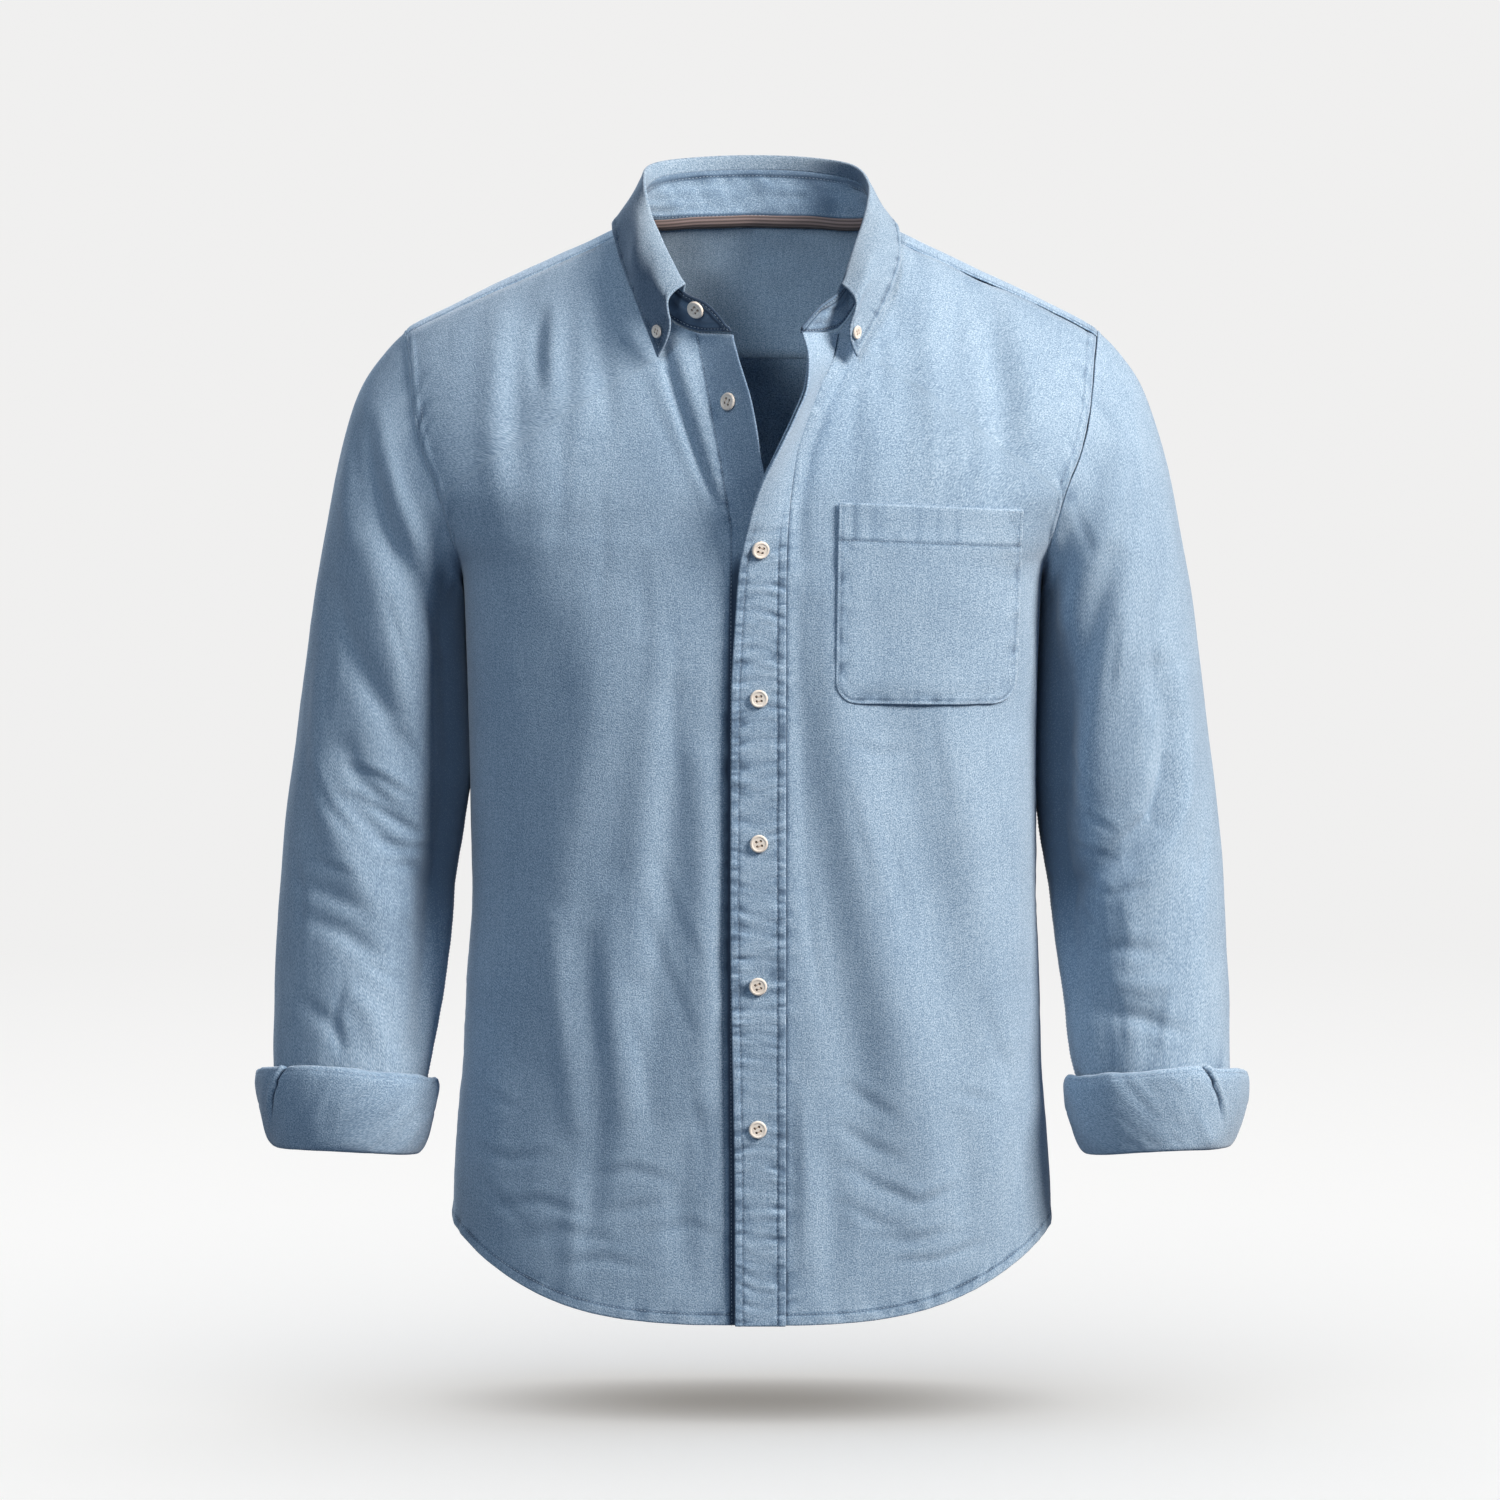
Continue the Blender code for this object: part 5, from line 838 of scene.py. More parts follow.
def shapeBack():
    share = np.linspace(0, 1, back["rows"] + 1)[:, None] ** back["rowPower"]
    across = np.linspace(-1, 1, back["columns"] + 1)[None]
    across = across + back["closer"] * np.sin(np.pi * across)
    outerZ = torso["sideHemZ"] + share * (back["seamZ"] - back["drop"] - torso["sideHemZ"])
    outerX = np.where(outerZ > torso["underarmZ"], armholeX(outerZ), torsoHalf(outerZ))
    limit = np.arcsin(np.minimum(1, outerX / torsoHalf(outerZ))) - fronts["seamGap"] / 2 / outerX
    x = torsoHalf(outerZ) * np.sin(across * limit)
    top = back["drop"] - fronts["seamGap"] - seamDrop(x)
    z = outerZ + top * blend(back["slopeStart"], 1.0, share)
    z = z + (hemZ(x) - torso["sideHemZ"]) * (1 - blend(0, torso["hemRun"], share))
    x = x + (torsoHalf(z) * np.sin(across * limit) - x) * np.abs(across) ** torso["sideHold"]
    points = torsoPoint(x, z, 1)
    sheet = newSheet(points, points * [0, 0, 1], back["wall"])
    across, along = sheet["across"], sheet["along"]
    below = back["seamZ"] - points[..., 2]
    fine = foldShift(x, z, back["creases"]) * blend(back["fineFrom"], back["calmBy"], below)
    shift = (foldShift(x, z, back["folds"]) * blend(back["foldFrom"], back["calmBy"], below) + fine
             + layers(x, z, back["drift"]) + crinkle(x, z, 83))
    pleatLong = blend(back["pleatEnd"], back["pleatEnd"] / 2, z) * blend(2, back["pleatStart"], below)
    pleatEdge = back["pleatHalf"] + back["pleatTurn"]
    shift = shift + back["pleatRise"] * pleatLong * (1 - blend(back["pleatHalf"], pleatEdge, np.abs(x)))
    # painted shade along the pleat's folded edges
    # painted shade in the hollows of the fine creases, a faint painted highlight on their banks
    tone = fronts["creaseShade"] * fine - back["pleatShade"] * pleatLong * bell(np.abs(x), pleatEdge, 2.2)
    fromSide = np.minimum(across, across[:, -1:] - across)
    for name, here in (("front_right", x < 0), ("front_left", x > 0)):  # the side seams stay shut
        edge = np.interp(z, *sheets[name]["sideEdge"])
        shift = np.where(here, edge + (shift - edge) * blend(0, back["calmBy"], fromSide), shift)
    beside = onArmhole(z[:, -1:])
    sideWays = along + back["otherSide"] * (x > 0)
    shift, tone = withSeams(shift, tone, (
        ("hem", along, across, 91, 1.0),
        ("armhole", fromSide, sideWays, 92, beside),
        ("side", fromSide, sideWays, 93, 1 - beside),
        ("frontTop", along[-1:] - along, across, 94, 1.0)))
    raiseSheet(sheet, shift, tone)
    sewAlong(sheet, along, np.arange(points.shape[1]), seams["hem"]["lines"][0])
    rows = besideArmhole(points)
    for line in seams["armhole"]["lines"]:
        for far in (line, across[rows, -1] - line):
            sewDown(sheet, across, rows, far)
    return sheet


yoke = {"wall": 1.2, "rays": 110, "steps": 64, "armholeShare": 0.42, "turnLength": 90.0, "calmBy": 14,
        "neck": [(0.0, 6.5), (0.35, 6.0), (0.62, 5.2), (0.83, 4.8), (0.96, 6.2)],  # out, z
        "middle": (0.0, 0.0, -200.0), "drift": [(0.8, 46, 0, 1, 101), (0.35, 20, 0, 1, 102)]}


def yokeRays(half, steps):  # rays over the shoulders from the neckline to the armholes and back seam
    sides, split = [], yoke["armholeShare"]
    for side in (-1, 1):
        neckX = fronts["neckSide"][side]
        rows = [(neckX, -fronts["yokeTurn"]), (neckX, 0.0)]
        rows += [(neckX * out, float(turnAt(neckX * out, z, 1))) for out, z in reversed(yoke["neck"])]
        scale = np.array([1, 1 / yoke["turnLength"]])
        ring = evenCurve(np.array(rows) / scale, np.linspace(0, 1, half + 1)) * scale
        share = np.linspace(0, 1, half + 1)
        zBack = back["seamZ"] - back["drop"]
        turnEnd = float(turnAt(float(armholeX(zBack)), zBack, 1))
        turn = -fronts["yokeTurn"] + np.minimum(share / split, 1) * (turnEnd + fronts["yokeTurn"])
        x = np.full(half + 1, float(armholeX(torso["armhole"][0][0])))
        for _ in range(3):
            x = armholeX(overShoulder(x, turn)[:, 2])
        onBack = share > split
        xBack = float(armholeX(back["seamZ"])) * (1 - (share - split) / (1 - split))
        turnBack = turnAt(xBack, back["seamZ"] - seamDrop(xBack), 1)
        end = np.column_stack([side * np.where(onBack, xBack, x), np.where(onBack, turnBack, turn)])
        sides.append(ring[:, None] + np.linspace(0, 1, steps + 1)[None, :, None] * (end - ring)[:, None])
    rays = np.concatenate([sides[0], sides[1][::-1][1:]], 0)
    points = overShoulder(rays[..., 0], rays[..., 1])
    points[0, :, 1] += fronts["seamGap"]
    points[-1, :, 1] += fronts["seamGap"]
    return points


def shapeYoke():
    points = yokeRays(yoke["rays"], yoke["steps"])
    sheet = newSheet(points, np.array(yoke["middle"]), yoke["wall"])
    x, y, z = np.moveaxis(points, -1, 0)
    across, along = sheet["across"], sheet["along"]
    fromFront = np.minimum(along, along[-1:] - along)
    fromRim = across[:, -1:] - across
    rowCount, columnCount = points.shape[:2]
    run = np.arange(rowCount)[:, None] / (rowCount - 1)
    edge = 0.5 * yoke["armholeShare"]
    beside = ((run < edge) | (run > 1 - edge)) * 1.0
    shift = layers(x, y - z, yoke["drift"]) + crinkle(x, y - z, 108)
    for distance in (fromFront, across, fromRim):
        shift = shift * blend(0, yoke["calmBy"], distance)
    shift, tone = withSeams(shift, np.zeros(x.shape), (
        ("yoke", fromFront, across, 103, 1.0),
        ("yoke", fromRim, along, 104, 1 - beside),
        ("armhole", fromRim, along, 105, beside),
        ("neck", across, along, 106, 1.0)))
    sheet["across"], sheet["along"] = x, y - z
    raiseSheet(sheet, shift, tone)
    columns = np.arange(2, columnCount - 2)
    line = seams["yoke"]["lines"][0]
    for far in (line, along[-1, columns] - line):
        sewAlong(sheet, along, columns, far)
    cut = int(edge * rowCount)
    for start, end, lines in ((2, cut, seams["armhole"]["lines"]),
                              (rowCount - cut, rowCount - 2, seams["armhole"]["lines"]),
                              (cut + 2, rowCount - cut - 2, seams["yoke"]["lines"])):
        rows = np.arange(start, end)
        for line in lines:
            sewDown(sheet, across, rows, across[rows, -1] - line)
    return sheet


# collar

collar = {
    "wall": 1.8, "samples": 400, "bandRows": 34, "foldRows": 16, "leafRows": 76,
    "leafRun": (0.0840, 0.9588), "bandGap": 0.35, "leafDrop": 8.0, "leanLeast": 0.35,
    "crown": 1.5, "turn": 2.2, "swing": 4.0, "swingRun": 0.10, "shown": (0.30, 0.42),
    "edgeLine": 4.2, "puckerWave": 3.6, "pucker": 0.6, "endDrop": 3.8, "darkest": -1.05,
    "easeReach": 9, "easeWidth": 4.5,
    "bandDrape": [(0.5, 16, 0, 0.5, 111), (0.5, 6, 0.6, 0.5, 112)], "bandShade": 0.5,
    "footLine": 1.7, "topLines": (1.0, 4.2), "lineDepth": 0.25, "lineShade": 1.6,
    "insideHandle": 0.6, "foldHandle": 3.4, "endBlend": (0.05, 0.10), "headMost": 0.5,
    "bandStitches": [  # face, from the foot, from the top
        (1, [1.7], []), (-1, [1.7, 4.6], [4.2]), (1, [], [1.6])],
    "stations": [  # place along the neck, then x, y, z of the top, the belly and the rim
        (0.150, -43.5, -84, -30.0, -53.6, -95, -47.5, -60.6, -85.5, -76.0),
        (0.205, -52.5, -70, -15.5, -66.0, -79, -28, -68.5, -75, -56.0),
        (0.265, -61.0, -48, 1.5, -75.0, -57, -8, -76.5, -60, -35.5),
        (0.325, -67.5, -22, 16.5, -79.0, -27, 8, -85.5, -34, -14.2),
        (0.385, -70.0, 6, 34.5, -78.5, 6, 24, -91.0, 2, 7.0),
        (0.440, -64.0, 34, 43.0, -72.0, 38, 28, -81.0, 41, 5.5),
        (0.500, -36.0, 57, 46.5, -41.0, 64, 28, -46.0, 69, 0.5),
        (0.560, 2.5, 65, 47.5, 2.5, 72, 28, 2.5, 76, 0.0),
        (0.620, 40.0, 57, 46.0, 45.5, 64, 28, 50.0, 69, 0.5),
        (0.680, 67.5, 34, 41.0, 76.0, 38, 27, 84.0, 41, 4.0),
        (0.735, 76.0, 6, 29.5, 84.5, 6, 19, 95.0, 1, 5.5),
        (0.790, 73.5, -22, 11.0, 88.0, -27, 3, 96.0, -30, -15.5),
        (0.845, 67.0, -48, -6.0, 83.0, -56, -14, 89.5, -53, -34.5),
        (0.895, 62.0, -68, -19.0, 76.0, -78, -28.5, 79.5, -70, -54.2),
        (0.935, 57.0, -82, -31.0, 65.0, -95, -49.5, 67.3, -84.5, -76.0)],
    "rightEnd": [(0.0, -14.5, -94, -57.5), (0.04, -19.0, -94, -48.5), (0.095, -29.5, -91, -37.5)],
    "leftEnd": [(0.970, 44.5, -93, -40.0), (1.0, 33.2, -96, -52.5)],
    "middle": (2.0, 0.0, 0.0),
}


def neckRing():  # the neckline with its outward directions, evenly spaced
    parts = []
    for side in (-1, 1):
        sheet = frontSheet(side)
        top, count = sheet["stripRows"] - 1, sheet["strip"]
        parts.append([np.concatenate([sheet[key][top, :count], sheet[key][top:-1, count]])
                      for key in ("points", "normals")])
    points = yokeRays(yoke["rays"], 12)
    normals = newSheet(points, np.array(yoke["middle"]), 1.0)["normals"]
    ring = np.vstack([parts[0][0], points[:, 0], parts[1][0][::-1]])
    out = np.vstack([parts[0][1], normals[:, 0], parts[1][1][::-1]])
    run = np.concatenate([[0.0], np.cumsum(np.linalg.norm(np.diff(ring, axis=0), axis=1))])
    even = np.linspace(0, 1, collar["samples"])
    ring, out = [np.column_stack([np.interp(even, run / run[-1], column) for column in part.T])
                 for part in (ring, out)]
    reach = collar["easeReach"]
    soft = bell(np.arange(-reach, reach + 1), 0, collar["easeWidth"])
    soft /= soft.sum()
    for part in (ring, out):  # ease the small corners out of it
        for column in part.T:
            padded = np.concatenate([2 * column[0] - column[reach:0:-1], column,
                                     2 * column[-1] - column[-2:-reach - 2:-1]])
            column[:] = np.convolve(padded, soft, "valid")
    return even, ring, unit(out)


def collarRows():
    run, ring, out = neckRing()
    first, last = collar["leafRun"]
    keys = (collar["stations"][0][0], collar["stations"][-1][0])
    shape = through(collar["stations"], np.interp(run, (first, last), keys))
    at = np.interp(run, (0, first, last, 1), (0, keys[0], keys[1], 1))
    tops = collar["rightEnd"] + [row[:4] for row in collar["stations"]] + collar["leftEnd"]
    top = through(tops, at)
    rise = unit(top - ring)
    lean = np.sum(rise * out, axis=1)
    tilt = np.sqrt(np.maximum(0, 1 - lean ** 2))
    riseBy = fronts["wall"] / 2 + fronts["seamGap"] + tilt * collar["wall"] / 2
    riseBy = riseBy / np.maximum(lean, collar["leanLeast"])
    foot = ring + rise * riseBy[:, None]
    return {"run": run, "ring": ring, "out": out, "foot": foot, "top": top, "rise": rise,
            "belly": shape[:, 3:6], "rim": shape[:, 6:9],
            "onLeaf": (run >= first - 1e-6) & (run <= last + 1e-6)}


def bandHead(rows):  # how far under the fold the band ends and the leaf begins
    length = np.linalg.norm(rows["top"] - rows["foot"], axis=1)
    (first, last), (before, within) = collar["leafRun"], collar["endBlend"]
    near = blend(first - before, first + within, rows["run"])
    near = near * (1 - blend(last - within, last + before, rows["run"]))
    drop = collar["endDrop"] + (collar["leafDrop"] - collar["endDrop"]) * near
    return np.minimum(drop, collar["headMost"] * length)


def shapeBand(rows):
    head = rows["top"] - rows["rise"] * bandHead(rows)[:, None]
    levels = np.linspace(0, 1, collar["bandRows"] + 1)[:, None, None]
    points = rows["foot"] + (head - rows["foot"]) * levels
    sheet = newSheet(points, np.array(collar["middle"]), collar["wall"])
    u, v = sheet["across"], sheet["along"]
    high = v[-1:] - v
    shift = layers(u, v, collar["bandDrape"]) + 0.7 * softNoise(u * 0.22, v, 4.5, 113)
    shift = shift * blend(0, 5, v) * blend(0, 4, high)
    # painted shade: the band darkened overall, its wrinkle hollows darker, the first 40 to 60 mm from the
    # right front's end darker still, and its stitch grooves
    tone = 0.5 * np.minimum(shift, 0.3) - collar["bandShade"] - 1.1 * (1 - blend(40, 60, u))
    for distance, line in [(v, collar["footLine"])] + [(high, line) for line in collar["topLines"]]:
        shift = shift - collar["lineDepth"] * bell(distance, line, 0.8)
        tone = tone - collar["lineShade"] * bell(distance, line, 0.9)
    raiseSheet(sheet, shift, tone)
    columns = np.arange(3, u.shape[1] - 3)
    for face, low, top in collar["bandStitches"]:
        for far in low + [v[-1, columns] - line for line in top]:
            sewAlong(dict(sheet, normals=face * sheet["normals"]), v, columns, far)
    return sheet


def shapeLeaf(rows):
    keep = rows["onLeaf"]
    top, rise, belly, rim, run = [rows[key][keep] for key in ("top", "rise", "belly", "rim", "run")]
    drop = bandHead(rows)[keep] - collar["bandGap"]
    out = belly - top
    out = unit(out - np.sum(out * rise, axis=1)[:, None] * rise)
    start = top - rise * drop[:, None]
    crown = top + rise * collar["crown"] + out * collar["turn"]
    control = belly * 2 - (crown + rim) / 2
    falling = unit(control - crown)
    # up the inside, over the fold, then down to the edge
    a = start + rise * (drop * collar["insideHandle"])[:, None]
    b = crown - falling * collar["foldHandle"]
    t = np.linspace(0, 1, collar["foldRows"] + 1)[:-1, None, None]
    inner = (1 - t) ** 3 * start + 3 * (1 - t) ** 2 * t * a + 3 * (1 - t) * t * t * b + t ** 3 * crown
    t = np.linspace(0, 1, collar["leafRows"] + 1)[:, None, None]
    outer = (1 - t) ** 2 * crown + 2 * t * (1 - t) * control + t * t * rim
    first, last = collar["leafRun"]
    nearLeft = blend(last - collar["swingRun"], last, run)
    nearRight = 1 - blend(first, first + collar["swingRun"], run)
    outer[..., 0] += collar["swing"] * np.sin(2 * np.pi * t[..., 0]) * (nearLeft - nearRight)
    points = np.concatenate([inner, outer], 0)
    sheet = newSheet(points, np.array(collar["middle"]), collar["wall"])
    u, v = sheet["across"], sheet["along"]
    fromLow, fromEnds = v[-1:] - v, np.minimum(u, u[:, -1:] - u)
    fromEdge = np.minimum(fromLow, fromEnds)
    alongEdge = np.where(fromLow < fromEnds, u, v + 500)
    line = collar["edgeLine"]
    shown = blend(*collar["shown"], np.arange(len(points))[:, None] / len(points))
    lean = alongEdge + 0.4 * fromEdge * softNoise(alongEdge, 0, 30, 125)
    ripple = layers(lean, fromEdge, [(1, collar["puckerWave"] * 1.3, 0, 0.16, 121), (0.5, 3.4, 0, 0.2, 122)])
    near = bell(fromEdge, line, 3.6)
    shift = collar["pucker"] * ripple * near * (0.6 + 0.4 * softNoise(alongEdge, 0, 40, 123))
    shift = shift - 0.35 * bell(fromEdge, line, 0.8)
    shift = shift + 0.3 * (1 - blend(line - 1, line + 1, fromEdge))
    shift = (shift + 0.5 * softNoise(u, v * 0.8, 22, 124) * blend(4, 14, fromEdge)) * shown
    # lighter wear at the edge; painted shade along the stitch groove and in the pucker hollows, a faint
    # painted highlight on the crests
    tone = (0.30 * bell(fromEdge, 0, 1.2) - 1.2 * bell(fromEdge, line, 1.0)
            + 1.3 * np.minimum(ripple, 0.1) * near) * shown
    tone = np.maximum(tone, collar["darkest"])
    tone = tone + 0.25 * bell(v, v[collar["foldRows"]], 5.0)  # worn along the fold
    raiseSheet(sheet, shift, tone)
    rowsDown = np.arange(collar["foldRows"] + 2, len(points))
    middle = v[:, len(run) // 2]
    rowsDown = rowsDown[middle[rowsDown] < middle[-1] - line + 0.1]
    columns = np.arange(3, u.shape[1] - 3)
    sewDown(sheet, u, rowsDown, line)
    sewAlong(sheet, v, columns, v[-1, columns] - line)
    sewDown(sheet, u, rowsDown, u[rowsDown, -1] - line)
    return sheet


tape = {"wall": 0.8, "rise": 4.2, "fall": 3.9, "ease": 0.9, "inset": 0.29, "rows": 14, "stripes": 4,
        "width": 9.5, "dark": (0.055, 0.038, 0.037, 1), "light": (0.215, 0.155, 0.145, 1), "bump": 0.3}


def shapeTape(rows, band):
    run = rows["run"]
    keep = (run > tape["inset"]) & (run < 1 - tape["inset"] + 0.02)
    ring, rise, out = rows["ring"][keep], rows["rise"][keep], rows["out"][keep]
    bandNormal = band["normals"][:, keep]
    into = -bandNormal[0] * (collar["wall"] / 2 + tape["ease"] + tape["wall"] / 2)
    down = unit(np.cross(np.gradient(ring, axis=0), out))
    down = np.where(down[:, 2:] > 0, -down, down)
    inside = -out * (back["wall"] / 2 + fronts["seamGap"] + tape["wall"] / 2)
    high = ring + rise * tape["rise"] + into
    middle = ring + into * 0.75 + inside
    low = ring + down * tape["fall"] + inside
    t = np.linspace(0, 1, tape["rows"] + 1)[:, None, None]
    points = (1 - t) ** 2 * low + 2 * t * (1 - t) * (2 * middle - (low + high) / 2) + t * t * high
    sheet = newSheet(points, np.array(collar["middle"]), tape["wall"])
    raiseSheet(sheet, 0.12 * softNoise(sheet["across"], sheet["along"], 9, 131))
    return sheet


# sleeves

sleeves = {
    "wall": 1.2, "sides": 170, "rings": 190, "smallTurn": 0.0001, "low": 0.6, "headClear": 0.12,
    "endClear": 0.07, "set": 1.0, "facing": (0.15, 0.5), "headSections": 4, "loop": 364.4,
    "rest": 3.6, "restZ": (-388, -348), "restSections": 2.5,  # where it lies against the body
    # painted shade on the arm's inner side, where it faces the body
    "paintedInnerShade": 1.5, "paintedInnerShadeShare": (0.0, 0.42), "paintedInnerShadeZ": (-520, -410),
    "drift": [(1.2, 40, 0, 0.5, 141), (0.5, 18, 0, 0.6, 151)], "otherCreases": -12,
    "underRadius": 55.0, "underLines": (2.0, 6.5), "underShift": 0.7, "underTone": 0.6,
    "sections": [  # outer x, outer z, inner x, inner z, middle y, front, back, tilt
        (227.0, -64.0, 189.4, -226.0, 6, 68, 66, 0), (240.5, -78.0, 191.6, -232.0, 6, 67, 66, 0),
        (255.0, -99.5, 191.8, -239.0, 6, 66, 66, 0), (266.5, -132.0, 191.6, -249.0, 6, 66, 66, 0),
        (277.4, -178.0, 191.2, -268.0, 6, 65, 65, 0), (287.2, -231.0, 190.6, -290.0, 6, 64, 64, 0),
        (295.0, -284.0, 190.0, -318.0, 6, 63, 63, 0), (301.2, -337.0, 189.6, -352.0, 6, 62, 62, 0),
        (306.4, -380.0, 190.8, -388.0, 5, 61, 61, 0.02), (309.6, -420.0, 196.4, -424.0, 1, 60, 60, 0.06),
        (312.2, -458.0, 200.0, -460.0, -5, 58, 58, 0.11), (314.0, -495.0, 204.8, -496.0, -11, 56, 56, 0.15),
        (314.6, -530.0, 209.6, -530.0, -17, 54, 54, 0.17), (315.2, -561.9, 217.5, -566.7, -23, 51, 51, 0.17)],
    "folds": {
        -1: [(8.6, -3, 0, (-244, -119), (-239, -142), (-231, -165), (-222, -191), (-212, -216)),
            (13.2, -3.8, 0, (-255, -201), (-244, -224), (-237, -254), (-230, -283), (-226, -313)),
            (11.9, -3.8, 0, (-287, -296), (-287, -336), (-282, -369), (-271, -396), (-256, -421),
                             (-239, -444)),
            (5.9, -2, 0, (-267, -139), (-266, -172), (-261, -201)),
            (9.2, 5, 0, (-252, -126), (-248, -158), (-240, -188), (-228, -212), (-211, -237),
                         (-199, -263)),
            (9.2, 4.5, 0, (-275, -231), (-267, -260), (-254, -284), (-238, -311), (-225, -346)),
            (7.3, 4, 0, (-266, -334), (-256, -355), (-240, -372), (-222, -392)),
            (6.6, 3.5, 0, (-262, -369), (-246, -388), (-228, -406), (-212, -425)),
            (5.9, 2, 0, (-296, -263), (-294, -303), (-291, -355), (-288, -388)),
            (6.6, 3, 0, (-228, -90), (-222, -113), (-214, -142), (-205, -185)),
            (5.9, 2, 0, (-296, -425), (-277, -429), (-257, -438)),
            (6.6, 2.4, 0, (-291, -446), (-267, -454), (-242, -473)),
            (5.9, 2, 0, (-294, -501), (-277, -512), (-267, -528)),
            (6.6, -1.8, 0, (-263, -491), (-250, -507), (-244, -530)),
            (6.6, 2, 0, (-232, -454), (-230, -487), (-234, -527)),
            (15.8, 11, 0, (-194, -198), (-196, -263), (-198, -316), (-200, -369), (-204, -421),
                           (-209, -474), (-215, -530))],
        1: [(9.9, 6, 0, (221, -132), (217, -158), (204, -183), (190, -206), (183, -231)),
            (9.9, -3.5, 0, (235, -172), (225, -204), (211, -237), (198, -270)),
            (9.2, 5, 0, (235, -208), (226, -244), (215, -287), (206, -329), (202, -369)),
            (15.8, -5, 0, (247, -211), (237, -263), (228, -309), (225, -352)),
            (9.2, 6.5, 0, (266, -283), (271, -316), (270, -355), (262, -382), (244, -402), (223, -415),
                           (201, -432)),
            (9.2, -3.4, 0, (282, -290), (285, -329), (282, -369), (270, -407), (251, -438)),
            (6.6, 3.5, 0, (205, -263), (202, -303), (195, -349)),
            (5.9, 2.2, 0, (223, -468), (242, -464), (263, -466)),
            (5.9, 2.4, 0, (229, -506), (255, -510), (281, -519)),
            (6.6, -1.6, 0, (234, -486), (255, -489), (272, -487)),
            (6.6, 2.4, 0, (222, -428), (224, -461), (229, -501), (234, -538)),
            (5.9, -1.8, 0, (244, -434), (247, -454), (246, -474)),
            (5.9, 1.8, 0, (261, -501), (258, -520), (259, -540)),
            (7.9, -2, 0, (291, -421), (294, -468), (292, -520)),
            (15.8, 11, 0, (188, -224), (192, -290), (195, -342), (199, -395), (205, -448), (212, -501))]},
    "backFolds": [
        (13, 5.0, 0.0, (226, -200), (250, -300)), (13, -4.0, 0.0, (262, -230), (280, -330)),
        (9, 5.0, 0.0, (205, -372), (262, -398)), (9, 4.5, 0.0, (210, -402), (258, -420)),
        (13, 3.5, 0.0, (284, -400), (276, -510)), (12, -3.0, 0.0, (240, -450), (246, -530))],
    "creases": {
        -1: [(3.3, 1.5, 0.5, (-263, -346), (-244, -353), (-224, -366)),
            (3.3, 1.7, 0.5, (-260, -366), (-240, -378), (-218, -390)),
            (3.3, 1.3, 0.5, (-246, -394), (-223, -400), (-205, -402)),
            (3.3, 1.1, 0.5, (-241, -410), (-218, -413)),
            (3.3, 1.1, 0.4, (-288, -348), (-277, -372), (-262, -390)),
            (3.3, 1, 0.4, (-227, -326), (-211, -349)),
            (3.3, 1, 0.3, (-258, -106), (-261, -139), (-257, -172)),
            (3.3, 0.9, 0.3, (-299, -408), (-295, -434), (-298, -468)),
            (3.3, 1, 0.4, (-285, -408), (-264, -416)), (3.3, 1, 0.4, (-231, -444), (-215, -461)),
            (3.3, 1, 0.4, (-267, -487), (-273, -509), (-269, -534)),
            (3.3, 0.9, 0.3, (-253, -474), (-232, -486)), (3.3, 0.9, 0.3, (-239, -498), (-236, -527)),
            (3.3, 0.9, 0.3, (-237, -237), (-229, -270), (-220, -296)),
            (3.3, 0.9, 0.3, (-280, -237), (-276, -276), (-279, -316))],
        1: [(3.3, 1.5, 0.5, (271, -342), (261, -376), (236, -399)),
            (3.3, 1.2, 0.4, (280, -362), (268, -395), (239, -423)),
            (3.3, 1.2, 0.4, (212, -376), (235, -388)), (3.3, 1.2, 0.4, (207, -399), (234, -406)),
            (3.3, 1.1, 0.4, (204, -342), (219, -362)), (3.3, 1.1, 0.4, (238, -250), (234, -296)),
            (3.3, 1, 0.3, (204, -162), (222, -204)), (3.3, 1, 0.4, (211, -440), (226, -457)),
            (3.3, 1, 0.4, (268, -494), (264, -534)), (3.3, 0.9, 0.3, (238, -494), (242, -530)),
            (3.3, 0.9, 0.3, (296, -395), (291, -441)),
            (3.3, 1, 0.4, (209, -421), (234, -430), (254, -424)),
            (3.3, 0.9, 0.3, (245, -119), (250, -158), (246, -198)),
            (3.3, 0.9, 0.3, (260, -237), (263, -290), (259, -329))]},
}


def armholeLoop(angles):  # 0 at the shoulder, then front, underarm and back
    top = torso["armhole"][0][0]
    z = top + (torso["underarmZ"] - top) * (1 - np.cos(angles)) / 2
    x = armholeX(z)
    return np.where((np.sin(angles) > 0)[:, None], torsoPoint(x, z, -1), torsoPoint(x, z, 1))


def mirrored(rows, side, down):  # folds of the other side, turned over and moved in z
    return [(width, depth, bank, *[(side * x, z + down) for x, z in path])
            for width, depth, bank, *path in rows]


